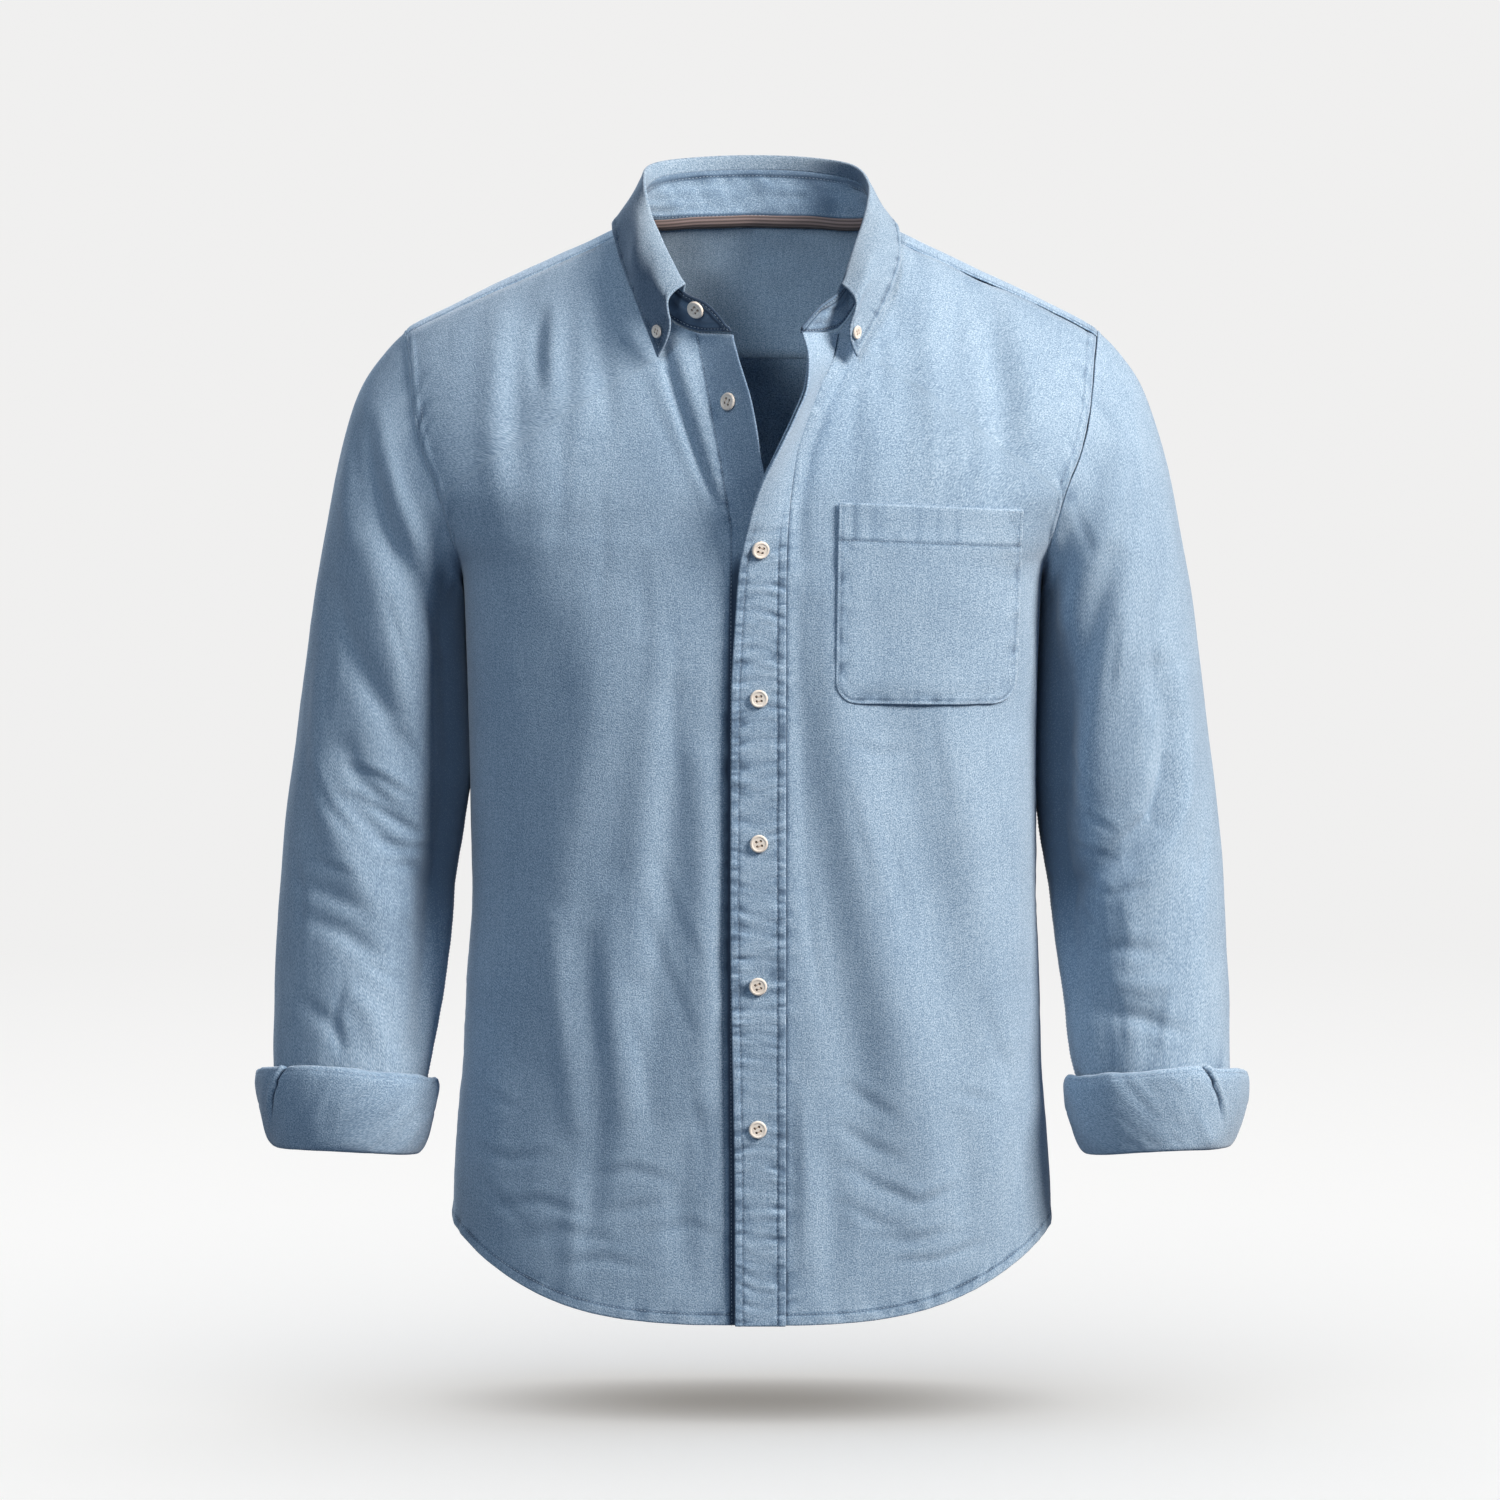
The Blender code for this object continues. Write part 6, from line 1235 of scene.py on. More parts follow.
def shapeSleeve(side):
    angles = np.linspace(0, 2 * np.pi, sleeves["sides"], endpoint=False) + sleeves["smallTurn"]
    table = np.array(sleeves["sections"], float)
    spots = np.linspace(0, 1, sleeves["rings"] + 1)
    fine = evenCurve(np.hstack([table, np.arange(len(table))[:, None] * 1.0]), spots)
    outerX, outerZ, innerX, innerZ, middleY, ahead, behind, tilt, station = [c[:, None] for c in fine.T]
    share = (1 + np.cos(angles))[None] / 2
    y = -np.sin(angles)[None] * np.where(np.sin(angles)[None] > 0, ahead, behind)
    points = np.stack([innerX + share * (outerX - innerX), middleY + y,
                       innerZ + share * (outerZ - innerZ) - tilt * y], -1)
    loop = armholeLoop(angles)
    points = points + (1 - blend(0, sleeves["headSections"], station))[..., None] * (loop - points[:1])
    low = blend(sleeves["low"] * np.pi, np.pi, np.abs((angles + np.pi) % (2 * np.pi) - np.pi))
    points[0, :, 0] += sleeves["set"] + (sleeves["wall"] + fronts["seamGap"]) * low
    resting = (1 - share) ** 2 * blend(*sleeves["restZ"], points[..., 2])
    resting = resting * blend(0, sleeves["restSections"], station)
    points[1:, :, 0] -= sleeves["rest"] * resting[1:]
    points[..., 0] *= side
    sheet = newSheet(points, points.mean(axis=1, keepdims=True), sleeves["wall"], closed=True)
    v = np.repeat(sheet["along"].mean(axis=1, keepdims=True), len(angles), 1)
    loop = sleeves["loop"]
    around = angles[None] * loop / (2 * np.pi) + 0 * v
    x, z = points[..., 0], points[..., 2]
    clear = blend(0, sleeves["headClear"], spots) * (1 - blend(1 - sleeves["endClear"], 1.0, spots))
    clear = clear[:, None]
    facing = sheet["normals"][..., 1]
    turned = blend(*sleeves["facing"], np.abs(facing)) * clear
    ahead, behind = (facing < 0) * turned, (facing >= 0) * turned
    backFolds = mirrored(sleeves["backFolds"], side, 0)
    backCreases = mirrored(sleeves["creases"][-side], -1, sleeves["otherCreases"])
    fine = foldShift(x, z, sleeves["creases"][side]) * ahead + foldShift(x, z, backCreases) * behind
    drift = layers(around, v, sleeves["drift"], side, loop) + crinkle(around, v, 155 + 5 * side, loop)
    shift = (foldShift(x, z, sleeves["folds"][side]) * ahead + foldShift(x, z, backFolds) * behind
             + fine + drift * clear)
    # the arm's inner side, facing the body, is painted darker: painted shade
    paintedInnerShade = (1 - blend(*sleeves["paintedInnerShadeShare"], share)) * clear * blend(*sleeves["paintedInnerShadeZ"], z)
    # painted shade in the hollows of the fine creases, a faint painted highlight on their banks
    tone = fronts["creaseShade"] * fine - sleeves["paintedInnerShade"] * paintedInnerShade
    shift, tone = withSeams(shift, tone, (
        ("sleeveHead", v, around, 161, 1.0), ("cuff", v[-1:] - v, around, 162, 1.0)), 10 * side, loop)
    # the long seam under the arm
    under = np.abs(angles - np.pi)[None] * sleeves["underRadius"] + 0 * v
    more, light = withSeams(0, 0, [("underarm", under, v, 163, clear)])
    raiseSheet(sheet, shift + more * sleeves["underShift"], tone + light * sleeves["underTone"])
    rows = np.arange(6, points.shape[0] - 2)
    for far in sleeves["underLines"]:
        sew(sheet, rows, (np.pi + far / sleeves["underRadius"]) / (2 * np.pi) * sleeves["sides"])
    return sheet


cuffs = {
    "wall": 1.8, "sides": 300, "rows": 76, "top": (266.6, -22.0, -552.5), "fall": (1.0, -7.5, -47.5),
    "tiltX": 0.05, "tiltY": 0.17, "lap": 1.3, "lapAngle": {-1: 42.0, 1: 30.0}, "lapSlant": 30.0,
    "lapRun": 70.0, "lapRadius": 58.0, "lapLines": (5.0, 8.0), "lapRows": (0.55, 0.93), "frontDrop": 3.2,
    "edgeLine": 3.6, "edgeStitches": 500, "foldAt": 0.42, "shown": (0.38, 0.5), "bandRows": (0.62, 0.95),
    # rightShade: the right cuff, turned from the key light, is painted darker, painted shade
    "edgeWaves": [(1.5, 36, 0, 1, 173), (0.9, 16, 0, 1, 175)], "rightShade": 0.25,
    # the slit is painted dark (painted shade) and the rib beside it lighter (painted highlight)
    "slitDepth": 1.5, "slitShade": 4.0, "slitAt": -1.2, "slitShare": (0.45, 0.75), "slitWave": 0.9,
    "ribRise": 1.2, "ribAt": 2.2, "ribHighlight": 0.35, "lapBlend": 0.035, "outsideFrom": (4, 7),
    "drift": [(1.1, 26, 0, 0.8, 171), (0.6, 13, 0.5, 0.6, 181), (0.3, 6.5, 0.7, 0.5, 191)],
    "profile": [  # half width, half depth, how far down
        (48.6, 50.6, 12.6), (46.2, 48.6, 28.0), (44.0, 46.6, 42.5), (45.4, 47.8, 48.0),
        (48.4, 50.4, 46.5), (52.8, 54.4, 37.0), (57.6, 58.2, 23.0), (60.0, 60.2, 9.0),
        (59.6, 59.6, 2.0), (57.6, 57.6, 0.0)],
}


def shapeCuff(side):
    angles = np.linspace(0, 2 * np.pi, cuffs["sides"], endpoint=False)
    count = len(cuffs["profile"])
    spots = np.linspace(0, 1, cuffs["rows"] + 1)
    fine = evenCurve(np.hstack([np.array(cuffs["profile"], float), np.arange(count)[:, None] * 1.0]), spots)
    halfX, halfY, down, number = [c[:, None] for c in fine.T]
    share = down / abs(cuffs["fall"][2])
    middle = np.array(cuffs["top"]) + share * np.array(cuffs["fall"])
    lapAt = np.radians(cuffs["lapAngle"][side] + cuffs["lapSlant"] * share)
    past = (angles[None] - lapAt) % (2 * np.pi)
    outside = blend(*cuffs["outsideFrom"], number)
    lapEdge = blend(0.0, cuffs["lapBlend"], past)
    raised = cuffs["lap"] * outside * lapEdge * (1 - blend(0.1, np.radians(cuffs["lapRun"]), past))
    x = (halfX + raised) * np.sin(angles)
    y = -(halfY + raised) * np.cos(angles)
    z = middle[:, 2:] - cuffs["tiltY"] * y + cuffs["tiltX"] * x
    z = z - cuffs["frontDrop"] * blend(0.35, 1.0, share) * blend(-0.3, 0.9, np.cos(angles))[None]
    loop = sleeves["loop"]
    u = angles[None] * loop / (2 * np.pi) + 0 * past
    z = z + outside * layers(u, 0, cuffs["edgeWaves"], side, loop)
    points = np.stack([middle[:, :1] + x, middle[:, 1:2] + y, z], -1)
    points[..., 0] *= side
    band = slice(*[int(part * cuffs["rows"]) for part in cuffs["bandRows"]])
    sheet = newSheet(points, points, cuffs["wall"], closed=True)
    centre = np.array(cuffs["top"]) * [side, 1, 1] + np.array(cuffs["fall"]) / 2
    if np.sum(sheet["normals"][band] * (points[band] - centre)) < 0:
        sheet["normals"] = -sheet["normals"]
        sheet["turned"] = not sheet["turned"]
    v = sheet["along"].mean(axis=1, keepdims=True) + 0 * u
    fromEdge, edge = v[-1:] - v, cuffs["edgeLine"]
    fold = v[int(cuffs["foldAt"] * cuffs["rows"]), 0]
    out = blend(*cuffs["shown"], spots)[:, None]
    ripple = softNoise(u, fromEdge * 0.2, 7.0, 201, loop)
    shift = (layers(u, v, cuffs["drift"], side, loop) - 0.35 * bell(fromEdge, edge, 0.9)
             - 0.5 * bell(v - fold, 30, 1.2) * blend(0.3, 0.9, np.sin(angles / 2))[None]
             + 0.35 * ripple * bell(fromEdge, edge, 3.4)) * out
    # lighter wear at the edge and the fold; painted shade along the stitch groove
    tone = (0.28 * bell(fromEdge, 0, 1.6) + 0.15 * bell(v, fold, 4.0)
            - 0.25 * bell(fromEdge, edge, 1.1)) * out
    # the lapped end: a rib painted lighter (painted highlight) with a slit beside it painted dark (painted
    # shade)
    off = ((angles[None] - lapAt + np.pi) % (2 * np.pi) - np.pi) * cuffs["lapRadius"]
    slit = outside * (1 - blend(*cuffs["slitShare"], share))
    jag = off + cuffs["slitWave"] * softNoise(v, 0, 4, 211)
    shift = (shift - cuffs["slitDepth"] * slit * bell(jag, cuffs["slitAt"], 1.1)
             + cuffs["ribRise"] * slit * bell(off, cuffs["ribAt"], 1.8))
    tone = (tone - cuffs["slitShade"] * slit * bell(jag, cuffs["slitAt"], 1.0)
            + cuffs["ribHighlight"] * outside * bell(off, cuffs["ribAt"] + 0.3, 1.8))
    # the right cuff, on the side away from the key light, is painted darker: painted shade
    raiseSheet(sheet, shift, tone - (cuffs["rightShade"] if side < 0 else 0))
    edgeRow = np.interp(v[-1, 0] - edge, v[:, 0], np.arange(len(v)))
    sew(sheet, edgeRow, np.linspace(0, cuffs["sides"], cuffs["edgeStitches"]))
    rows = np.arange(*[int(part * cuffs["rows"]) for part in cuffs["lapRows"]])
    for far in cuffs["lapLines"]:  # beside the lapped end
        sew(sheet, rows, (lapAt[rows, 0] + far / cuffs["lapRadius"]) / (2 * np.pi) * cuffs["sides"])
    return sheet


# buttons

buttons = {
    "radius": 5.9, "collarRadius": 4.4, "height": 2.2, "seat": 0.35, "around": 64, "rings": 38,
    "hole": 0.78, "holeAt": 1.5, "dish": 0.70, "rim": 0.86, "threadApart": 0.16, "threadPoints": 9,
    "under": [(1.0, 0.36), (0.93, 0.12), (0.80, 0.0), (0.4, 0.0), (0.02, 0.0)],  # out, up
    "placket": [(5.2, -198.6), (4.5, -295.4), (4.5, -390.0), (4.0, -483.4), (3.7, -577.8)],
    "band": (-36.0, -44.8), "open": (-14.9, -103.6),
    "collarRight": (-60.8, -59.3), "collarLeft": (67.2, -60.0),
    # pit: the near black painted into the button holes, painted shade
    "dark": (0.74, 0.63, 0.53, 1), "light": (0.90, 0.82, 0.73, 1), "pit": (0.075, 0.045, 0.035, 1),
}


def ringFaces(rows, columns):  # a grid of faces that closes on itself
    number = np.arange(rows * columns).reshape(rows, columns)
    after = np.concatenate([number, number[:, :1]], 1)
    return np.stack([after[:-1, :-1], after[1:, :-1], after[1:, 1:], after[:-1, 1:]], -1).reshape(-1, 4)


def buttonShape(radius):  # top and side as rings out from the middle, then the flat back
    size = radius / buttons["radius"]
    out = np.linspace(0.0, 1.0, buttons["rings"]) ** 0.85
    h = buttons["height"] * size
    dish = blend(buttons["dish"] + 0.1, buttons["dish"] - 0.06, out)
    edge = np.clip((out - buttons["rim"]) / (1 - buttons["rim"]), 0, 1)
    height = h * (0.98 - 0.13 * dish - 0.42 * edge ** 2.4) + h * 0.03 * bell(out, 0.78, 0.06)
    under = np.array(buttons["under"])
    reach = radius * np.concatenate([out, under[:, 0]])[:, None]
    turn = np.linspace(0, 2 * np.pi, buttons["around"], endpoint=False)
    x, y = reach * np.cos(turn), reach * np.sin(turn)
    z = np.concatenate([height, h * under[:, 1]])[:, None] + 0 * x
    tone = np.zeros(x.shape)
    at, top = buttons["holeAt"] * size, slice(0, buttons["rings"])
    # the four holes are sunk and painted near black: painted shade in the holes
    for sx in (-1, 1):
        for sy in (-1, 1):
            away = np.hypot(x[top] - sx * at, y[top] - sy * at) / (buttons["hole"] * size)
            pit = 1 - blend(0.8, 1.1, away)
            z[top] -= pit * h * 0.6
            tone[top] = np.maximum(tone[top], pit)
    return np.stack([x, y, z], -1).reshape(-1, 3), ringFaces(*x.shape), tone.ravel()


def seatOn(sheet, x, z, radius):  # where the front view's x, z meet a sheet, and its mean facing
    points = sheet["points"] + sheet["normals"] * sheet["wall"] / 2
    flat, facing = points.reshape(-1, 3), sheet["normals"].reshape(-1, 3)
    seen = facing[:, 1] < -0.05
    away = np.hypot(flat[:, 0] - x, flat[:, 2] - z) + 1e6 * ~seen
    near = away < max(radius, away.min() + 0.5)
    normal = unit(facing[near].mean(axis=0))
    middle = flat[near].mean(axis=0)
    proud = float(np.max((flat[near] - middle) @ normal)) * 0.6
    return middle + normal * (proud + buttons["seat"]), normal


def sewButton(name, sheet, place, radius, material, turn):
    points, faces, tone = buttonShape(radius)
    spot, normal = seatOn(sheet, *place, radius)
    facing = Vector((0, 0, 1)).rotation_difference(Vector(normal)).to_matrix() @ Matrix.Rotation(turn, 3, "Z")
    facing = np.array(facing).T
    piece = meshObject(name, points @ facing + spot, [faces], None, tone, material)
    piece.data.set_sharp_from_angle(angle=math.radians(50))
    size = radius / buttons["radius"]
    run = np.linspace(-1, 1, buttons["threadPoints"])
    high = buttons["height"] * size * (0.52 + 0.34 * (1 - run ** 4))
    threads = []
    for sy in (-1, 1):  # two bars of thread through the four holes
        for apart in (-buttons["threadApart"], buttons["threadApart"]):
            level = sy * buttons["holeAt"] * size + apart
            bar = np.column_stack([run * buttons["holeAt"] * size, np.full(len(run), level), high])
            threads.append(bar @ facing + spot)
    return piece, threads


# stitching

def stitchTree():
    tree = bpy.data.node_groups.new("sewnStitches", "GeometryNodeTree")
    tree.interface.new_socket(name="Geometry", in_out="INPUT", socket_type="NodeSocketGeometry")
    for name in ("Pitch", "Length", "Thickness"):
        socket = tree.interface.new_socket(name=name, in_out="INPUT", socket_type="NodeSocketFloat")
        socket.default_value = stitching[name.lower()] * mm
    tree.interface.new_socket(name="Thread", in_out="INPUT", socket_type="NodeSocketMaterial")
    tree.interface.new_socket(name="Geometry", in_out="OUTPUT", socket_type="NodeSocketGeometry")
    nodes = tree.nodes
    given = nodes.new("NodeGroupInput")
    made = nodes.new("NodeGroupOutput")
    curve = nodes.new("GeometryNodeMeshToCurve")
    even = nodes.new("GeometryNodeResampleCurve")
    even.mode = "LENGTH"
    ball = nodes.new("GeometryNodeMeshUVSphere")
    ball.inputs["Segments"].default_value = 5
    ball.inputs["Rings"].default_value = 3
    ball.inputs["Radius"].default_value = 0.5
    size = nodes.new("ShaderNodeCombineXYZ")
    along = nodes.new("GeometryNodeInputTangent")
    turn = nodes.new("FunctionNodeAlignRotationToVector")
    turn.axis = "Z"
    place = nodes.new("GeometryNodeInstanceOnPoints")
    real = nodes.new("GeometryNodeRealizeInstances")
    paint = nodes.new("GeometryNodeSetMaterial")
    smooth = nodes.new("GeometryNodeSetShadeSmooth")
    for start, out, end, into in (
            (given, "Geometry", curve, "Mesh"), (curve, "Curve", even, "Curve"),
            (given, "Pitch", even, "Length"), (even, "Curve", place, "Points"),
            (ball, "Mesh", place, "Instance"),
            (along, "Tangent", turn, "Vector"), (turn, "Rotation", place, "Rotation"),
            (given, "Thickness", size, "X"), (given, "Thickness", size, "Y"), (given, "Length", size, "Z"),
            (size, "Vector", place, "Scale"), (place, "Instances", smooth, "Geometry"),
            (smooth, "Geometry", real, "Geometry"), (real, "Geometry", paint, "Geometry"),
            (given, "Thread", paint, "Material"), (paint, "Geometry", made, "Geometry")):
        tree.links.new(start.outputs[out], end.inputs[into])
    return tree


def runStitches(name, lines, tree, material, pitch, length, thickness):
    vertices, edges, start = [], [], 0
    for line in lines:
        vertices.append(np.asarray(line) * mm)
        edges += [(start + i, start + i + 1) for i in range(len(line) - 1)]
        start += len(line)
    mesh = bpy.data.meshes.new(name + "Lines")
    mesh.from_pydata(np.vstack(vertices).tolist(), edges, [])
    guide = bpy.data.objects.new(name + "Lines", mesh)
    bpy.context.scene.collection.objects.link(guide)
    change = guide.modifiers.new("stitches", "NODES")
    change.node_group = tree
    values = {"Pitch": pitch * mm, "Length": length * mm, "Thickness": thickness * mm, "Thread": material}
    for item in tree.interface.items_tree:
        if item.item_type == "SOCKET" and item.in_out == "INPUT" and item.name in values:
            change[item.identifier] = values[item.name]
    seen = guide.evaluated_get(bpy.context.evaluated_depsgraph_get())
    made = bpy.data.meshes.new_from_object(seen)
    made.name = name
    guide.modifiers.remove(change)
    bpy.data.objects.remove(guide, do_unlink=True)
    piece = bpy.data.objects.new(name, made)
    bpy.context.scene.collection.objects.link(piece)
    return piece


# materials

class Wire:  # one socket, with the sums that a material needs
    def __init__(self, tree, socket):
        self.tree, self.socket = tree, socket

    def sum(self, kind, other):
        node = self.tree.nodes.new("ShaderNodeMath")
        node.operation = kind
        for place, value in enumerate((self, other)):
            if isinstance(value, Wire):
                self.tree.links.new(value.socket, node.inputs[place])
            else:
                node.inputs[place].default_value = value
        return Wire(self.tree, node.outputs[0])

    def __add__(self, other):
        return self.sum("ADD", other)

    __radd__ = __add__

    def __sub__(self, other):
        return self.sum("SUBTRACT", other)

    def __mul__(self, other):
        return self.sum("MULTIPLY", other)

    def clamped(self):
        return self.sum("MAXIMUM", 0.0).sum("MINIMUM", 1.0)


class Finish:  # a material with its nodes made in words
    def __init__(self, name, **fixed):
        self.material = bpy.data.materials.new(name)
        self.material.use_nodes = True
        self.tree = self.material.node_tree
        self.shader = self.tree.nodes["Principled BSDF"]
        for key, value in fixed.items():
            self.shader.inputs[key.replace("_", " ")].default_value = value

    def node(self, kind, settings=None, take=0, **inputs):
        node = self.tree.nodes.new(kind)
        for key, value in (settings or {}).items():
            setattr(node, key, value)
        for key, value in inputs.items():
            numbered = key[0] == "i" and key[1:].isdigit()
            socket = node.inputs[int(key[1:]) if numbered else key.replace("_", " ")]
            if isinstance(value, Wire):
                self.tree.links.new(value.socket, socket)
            else:
                socket.default_value = value
        return Wire(self.tree, node.outputs[take])

    def mixed(self, factor, low, high):
        return self.node("ShaderNodeMix", {"data_type": "RGBA"}, 2, i0=factor, i6=low, i7=high)

    def to(self, name, wire):
        self.tree.links.new(wire.socket, self.shader.inputs[name])

    def onCloth(self):  # the place on the flat cloth, in mm
        uv = self.node("ShaderNodeUVMap", {"uv_map": "cloth"})
        return self.node("ShaderNodeVectorMath", {"operation": "SCALE"}, i0=uv, Scale=1 / mm)

    def noise(self, place, scale, detail, rough=0.5):
        return self.node("ShaderNodeTexNoise", {}, 0, Vector=place, Scale=scale, Detail=detail,
                         Roughness=rough)

    def raised(self, height, distance):
        bump = self.node("ShaderNodeBump", {}, Height=height, Strength=0.5, Distance=distance * mm)
        self.to("Normal", bump)

    def tone(self):
        return self.node("ShaderNodeAttribute", {"attribute_name": "tone"}, 2)


cloth = {
    # shade is the near-black navy of the painted shade marks
    "colours": {"shade": (0.022, 0.045, 0.085), "deep": (0.150, 0.235, 0.345),
                "mid": (0.285, 0.395, 0.520), "pale": (0.470, 0.590, 0.705), "worn": (0.540, 0.650, 0.750)},
    "sheen": 0.25, "toneWeight": 0.42, "contrast": 2.0,
    "wornBy": (0.6, -0.16, 0.5), "shadedBy": (-0.55, -0.3),  # by the tone, start, by the nap
    "bump": 0.4, "fuzz": {"nap": 1.1, "fleck": 0.4, "slub": 0.2},
    "grain": {  # stretch across the warp and along it, scale, detail, roughness, weight
        "nap": (1.0, 0.85, 1.15, 1.0, 0.6, 2.5), "fleck": (1.0, 0.5, 0.40, 2.0, 0.6, 0.6),
        "slub": (1.0, 0.08, 0.45, 2.0, 0.6, 0.38), "weft": (0.10, 1.0, 0.45, 2.0, 0.6, 0.22),
        "cloud": (1.0, 0.6, 0.022, 2.0, 0.5, 0.4)},
}


def twillFinish(name, shade=1.0):
    colour = {key: (*[part * shade for part in value], 1) for key, value in cloth["colours"].items()}
    finish = Finish(name, Roughness=0.92, Sheen_Weight=cloth["sheen"], Sheen_Roughness=0.55,
                    Specular_IOR_Level=0.15)
    place, tone = finish.onCloth(), finish.tone()
    grain, mix = {}, 0.5
    for key, (wide, long, scale, detail, rough, weight) in cloth["grain"].items():
        spot = finish.node("ShaderNodeMapping", {}, Vector=place, Scale=(wide, long, 1.0))
        grain[key] = finish.noise(spot, scale, detail, rough)
        mix = mix + (grain[key] - 0.5) * weight
    # tone lightens towards worn cloth at edges, seams and folds, and darkens for painted shade in hollows,
    # crevices and on parts turned from the light
    mix = (mix + tone * cloth["toneWeight"]) * cloth["contrast"]
    low = finish.mixed(mix.clamped(), colour["deep"], colour["mid"])
    high = finish.mixed((mix - 1.0).clamped(), low, colour["pale"])
    byTone, start, byNap = cloth["wornBy"]
    share = (tone * byTone + start + (grain["nap"] - 0.5) * byNap).clamped()
    worn = finish.mixed(share, high, colour["worn"])
    # strongly darkened tone, painted shade, mixes towards the shade colour
    byTone, start = cloth["shadedBy"]
    finish.to("Base Color", finish.mixed((tone * byTone + start).clamped(), worn, colour["shade"]))
    fuzz = 0.0
    for key, weight in cloth["fuzz"].items():
        fuzz = grain[key] * weight + fuzz
    finish.raised(fuzz, cloth["bump"])
    return finish.material


def tapeFinish():
    finish = Finish("stripedTape", Roughness=0.85, Sheen_Weight=0.1)
    place = finish.onCloth()
    down = finish.node("ShaderNodeSeparateXYZ", {}, 1, i0=place)
    wave = (down * (2 * math.pi * tape["stripes"] / tape["width"])).sum("SINE", 0.0) * 0.5 + 0.5
    nap = finish.noise(place, 1.6, 2.0)
    share = (wave * 0.85 + (nap - 0.5) * 0.5).clamped()
    finish.to("Base Color", finish.mixed(share, tape["dark"], tape["light"]))
    finish.raised(wave + nap * 0.5, tape["bump"])
    return finish.material


def buttonFinish():
    finish = Finish("paleButton", Roughness=0.42, Specular_IOR_Level=0.45, Coat_Weight=0.15)
    spot = finish.node("ShaderNodeTexCoord", {}, 3)
    grain, cloudy = finish.noise(spot, 260.0, 3.0), finish.noise(spot, 70.0, 1.0)
    body = finish.mixed(((grain - 0.5) * 1.2 + cloudy).clamped(), buttons["dark"], buttons["light"])
    # painted shade: the holes take the near-black pit colour
    finish.to("Base Color", finish.mixed((finish.tone() * 1.1).clamped(), body, buttons["pit"]))
    finish.to("Roughness", grain * 0.25 + 0.3)
    return finish.material


def threadFinish(name, colour):
    finish = Finish(name, Roughness=0.75, Sheen_Weight=0.2)
    nap = finish.noise(finish.node("ShaderNodeTexCoord", {}, 3), 900.0, 2.0)
    light = tuple(min(1, c * 1.25) for c in colour)
    finish.to("Base Color", finish.mixed(nap, (*colour, 1), (*light, 1)))
    return finish.material


twill = twillFinish("blueTwill"), "twill"
bandTwill = twillFinish("blueTwillBand", 1.03), "twill_band"
tapeCloth = tapeFinish(), "tape"
horn = buttonFinish(), "button"
thread = threadFinish("blueThread", (0.34, 0.43, 0.53)), "twill_band"
buttonThread = threadFinish("buttonThread", (0.46, 0.34, 0.26)), "button"
print("shirt: finishes made")


# the shirt put together

pieces, clothPieces = [], []


def addPiece(piece, replaced=None):
    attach(piece, "root")
    if replaced:
        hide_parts(replaced)
    pieces.append(piece)


def addSheet(name, sheet, finish, flat, held="draped"):
    sheets[name] = sheet
    piece = sheetObject("shirt_" + name, sheet, finish[0])
    addPiece(piece, name)
    clothPieces.append((piece, flat, held))


for side, name in ((-1, "front_right"), (1, "front_left")):
    addSheet(name, shapeFront(side), twill, (0.30, 0.74))
print("shirt: fronts made")
addSheet("placket", shapePlacket(), bandTwill, (0.036, 0.66))
addSheet("pocket", shapePocket(), twill, (0.121, 0.128))
addSheet("back", shapeBack(), twill, (0.53, 0.63))
addSheet("yoke", shapeYoke(), twill, (0.52, 0.19))
print("shirt: pocket, back and yoke made")
rows = collarRows()
addSheet("collar_stand", shapeBand(rows), bandTwill, (0.51, 0.036))
addSheet("collar_leaf", shapeLeaf(rows), twill, (0.46, 0.07))
addSheet("neck_tape", shapeTape(rows, sheets["collar_stand"]), tapeCloth, (0.24, 0.0105))
print("shirt: collar made")
for side, name in ((-1, "right"), (1, "left")):
    addSheet("sleeve_" + name, shapeSleeve(side), twill, (0.40, 0.50))
    addSheet("cuff_" + name, shapeCuff(side), bandTwill, (0.36, 0.09), "folded")
print("shirt: sleeves and cuffs made")

threads = []
for name, sheet, place, radius, turn in (
        [("front_1", "collar_stand", buttons["band"], buttons["radius"], 0.2),
         ("front_2", "front_right", buttons["open"], buttons["radius"], 0.5)]
        + [("front_%d" % (n + 3), "placket", place, buttons["radius"], 0.1 * n)
           for n, place in enumerate(buttons["placket"])]
        + [("collar_right", "collar_leaf", buttons["collarRight"], buttons["collarRadius"], 0.3),
           ("collar_left", "collar_leaf", buttons["collarLeft"], buttons["collarRadius"], -0.3)]):
    piece, bars = sewButton("shirt_button_" + name, sheets[sheet], place, radius, horn[0], turn)
    threads += bars
    addPiece(piece, "button_" + name)
tree = stitchTree()
for name, lines, finish, keys in (
        ("shirt_stitching", stitchLines, thread, ("pitch", "length", "thickness")),
        ("shirt_button_thread", threads, buttonThread, ("buttonPitch", "buttonLength", "buttonThread"))):
    piece = runStitches(name, lines, tree, finish[0], *[stitching[key] for key in keys])
    addPiece(piece)
print("shirt: buttons and stitching sewn")

for piece, flat, held in clothPieces:
    mesh = piece.data
    half = sum(face.area for face in mesh.polygons) / 2
    triangles = len(mesh.loops) - 2 * len(mesh.polygons)
    print("   ", piece.name, triangles, "triangles, cloth", round(half, 4), "m2")


# floor, light and camera

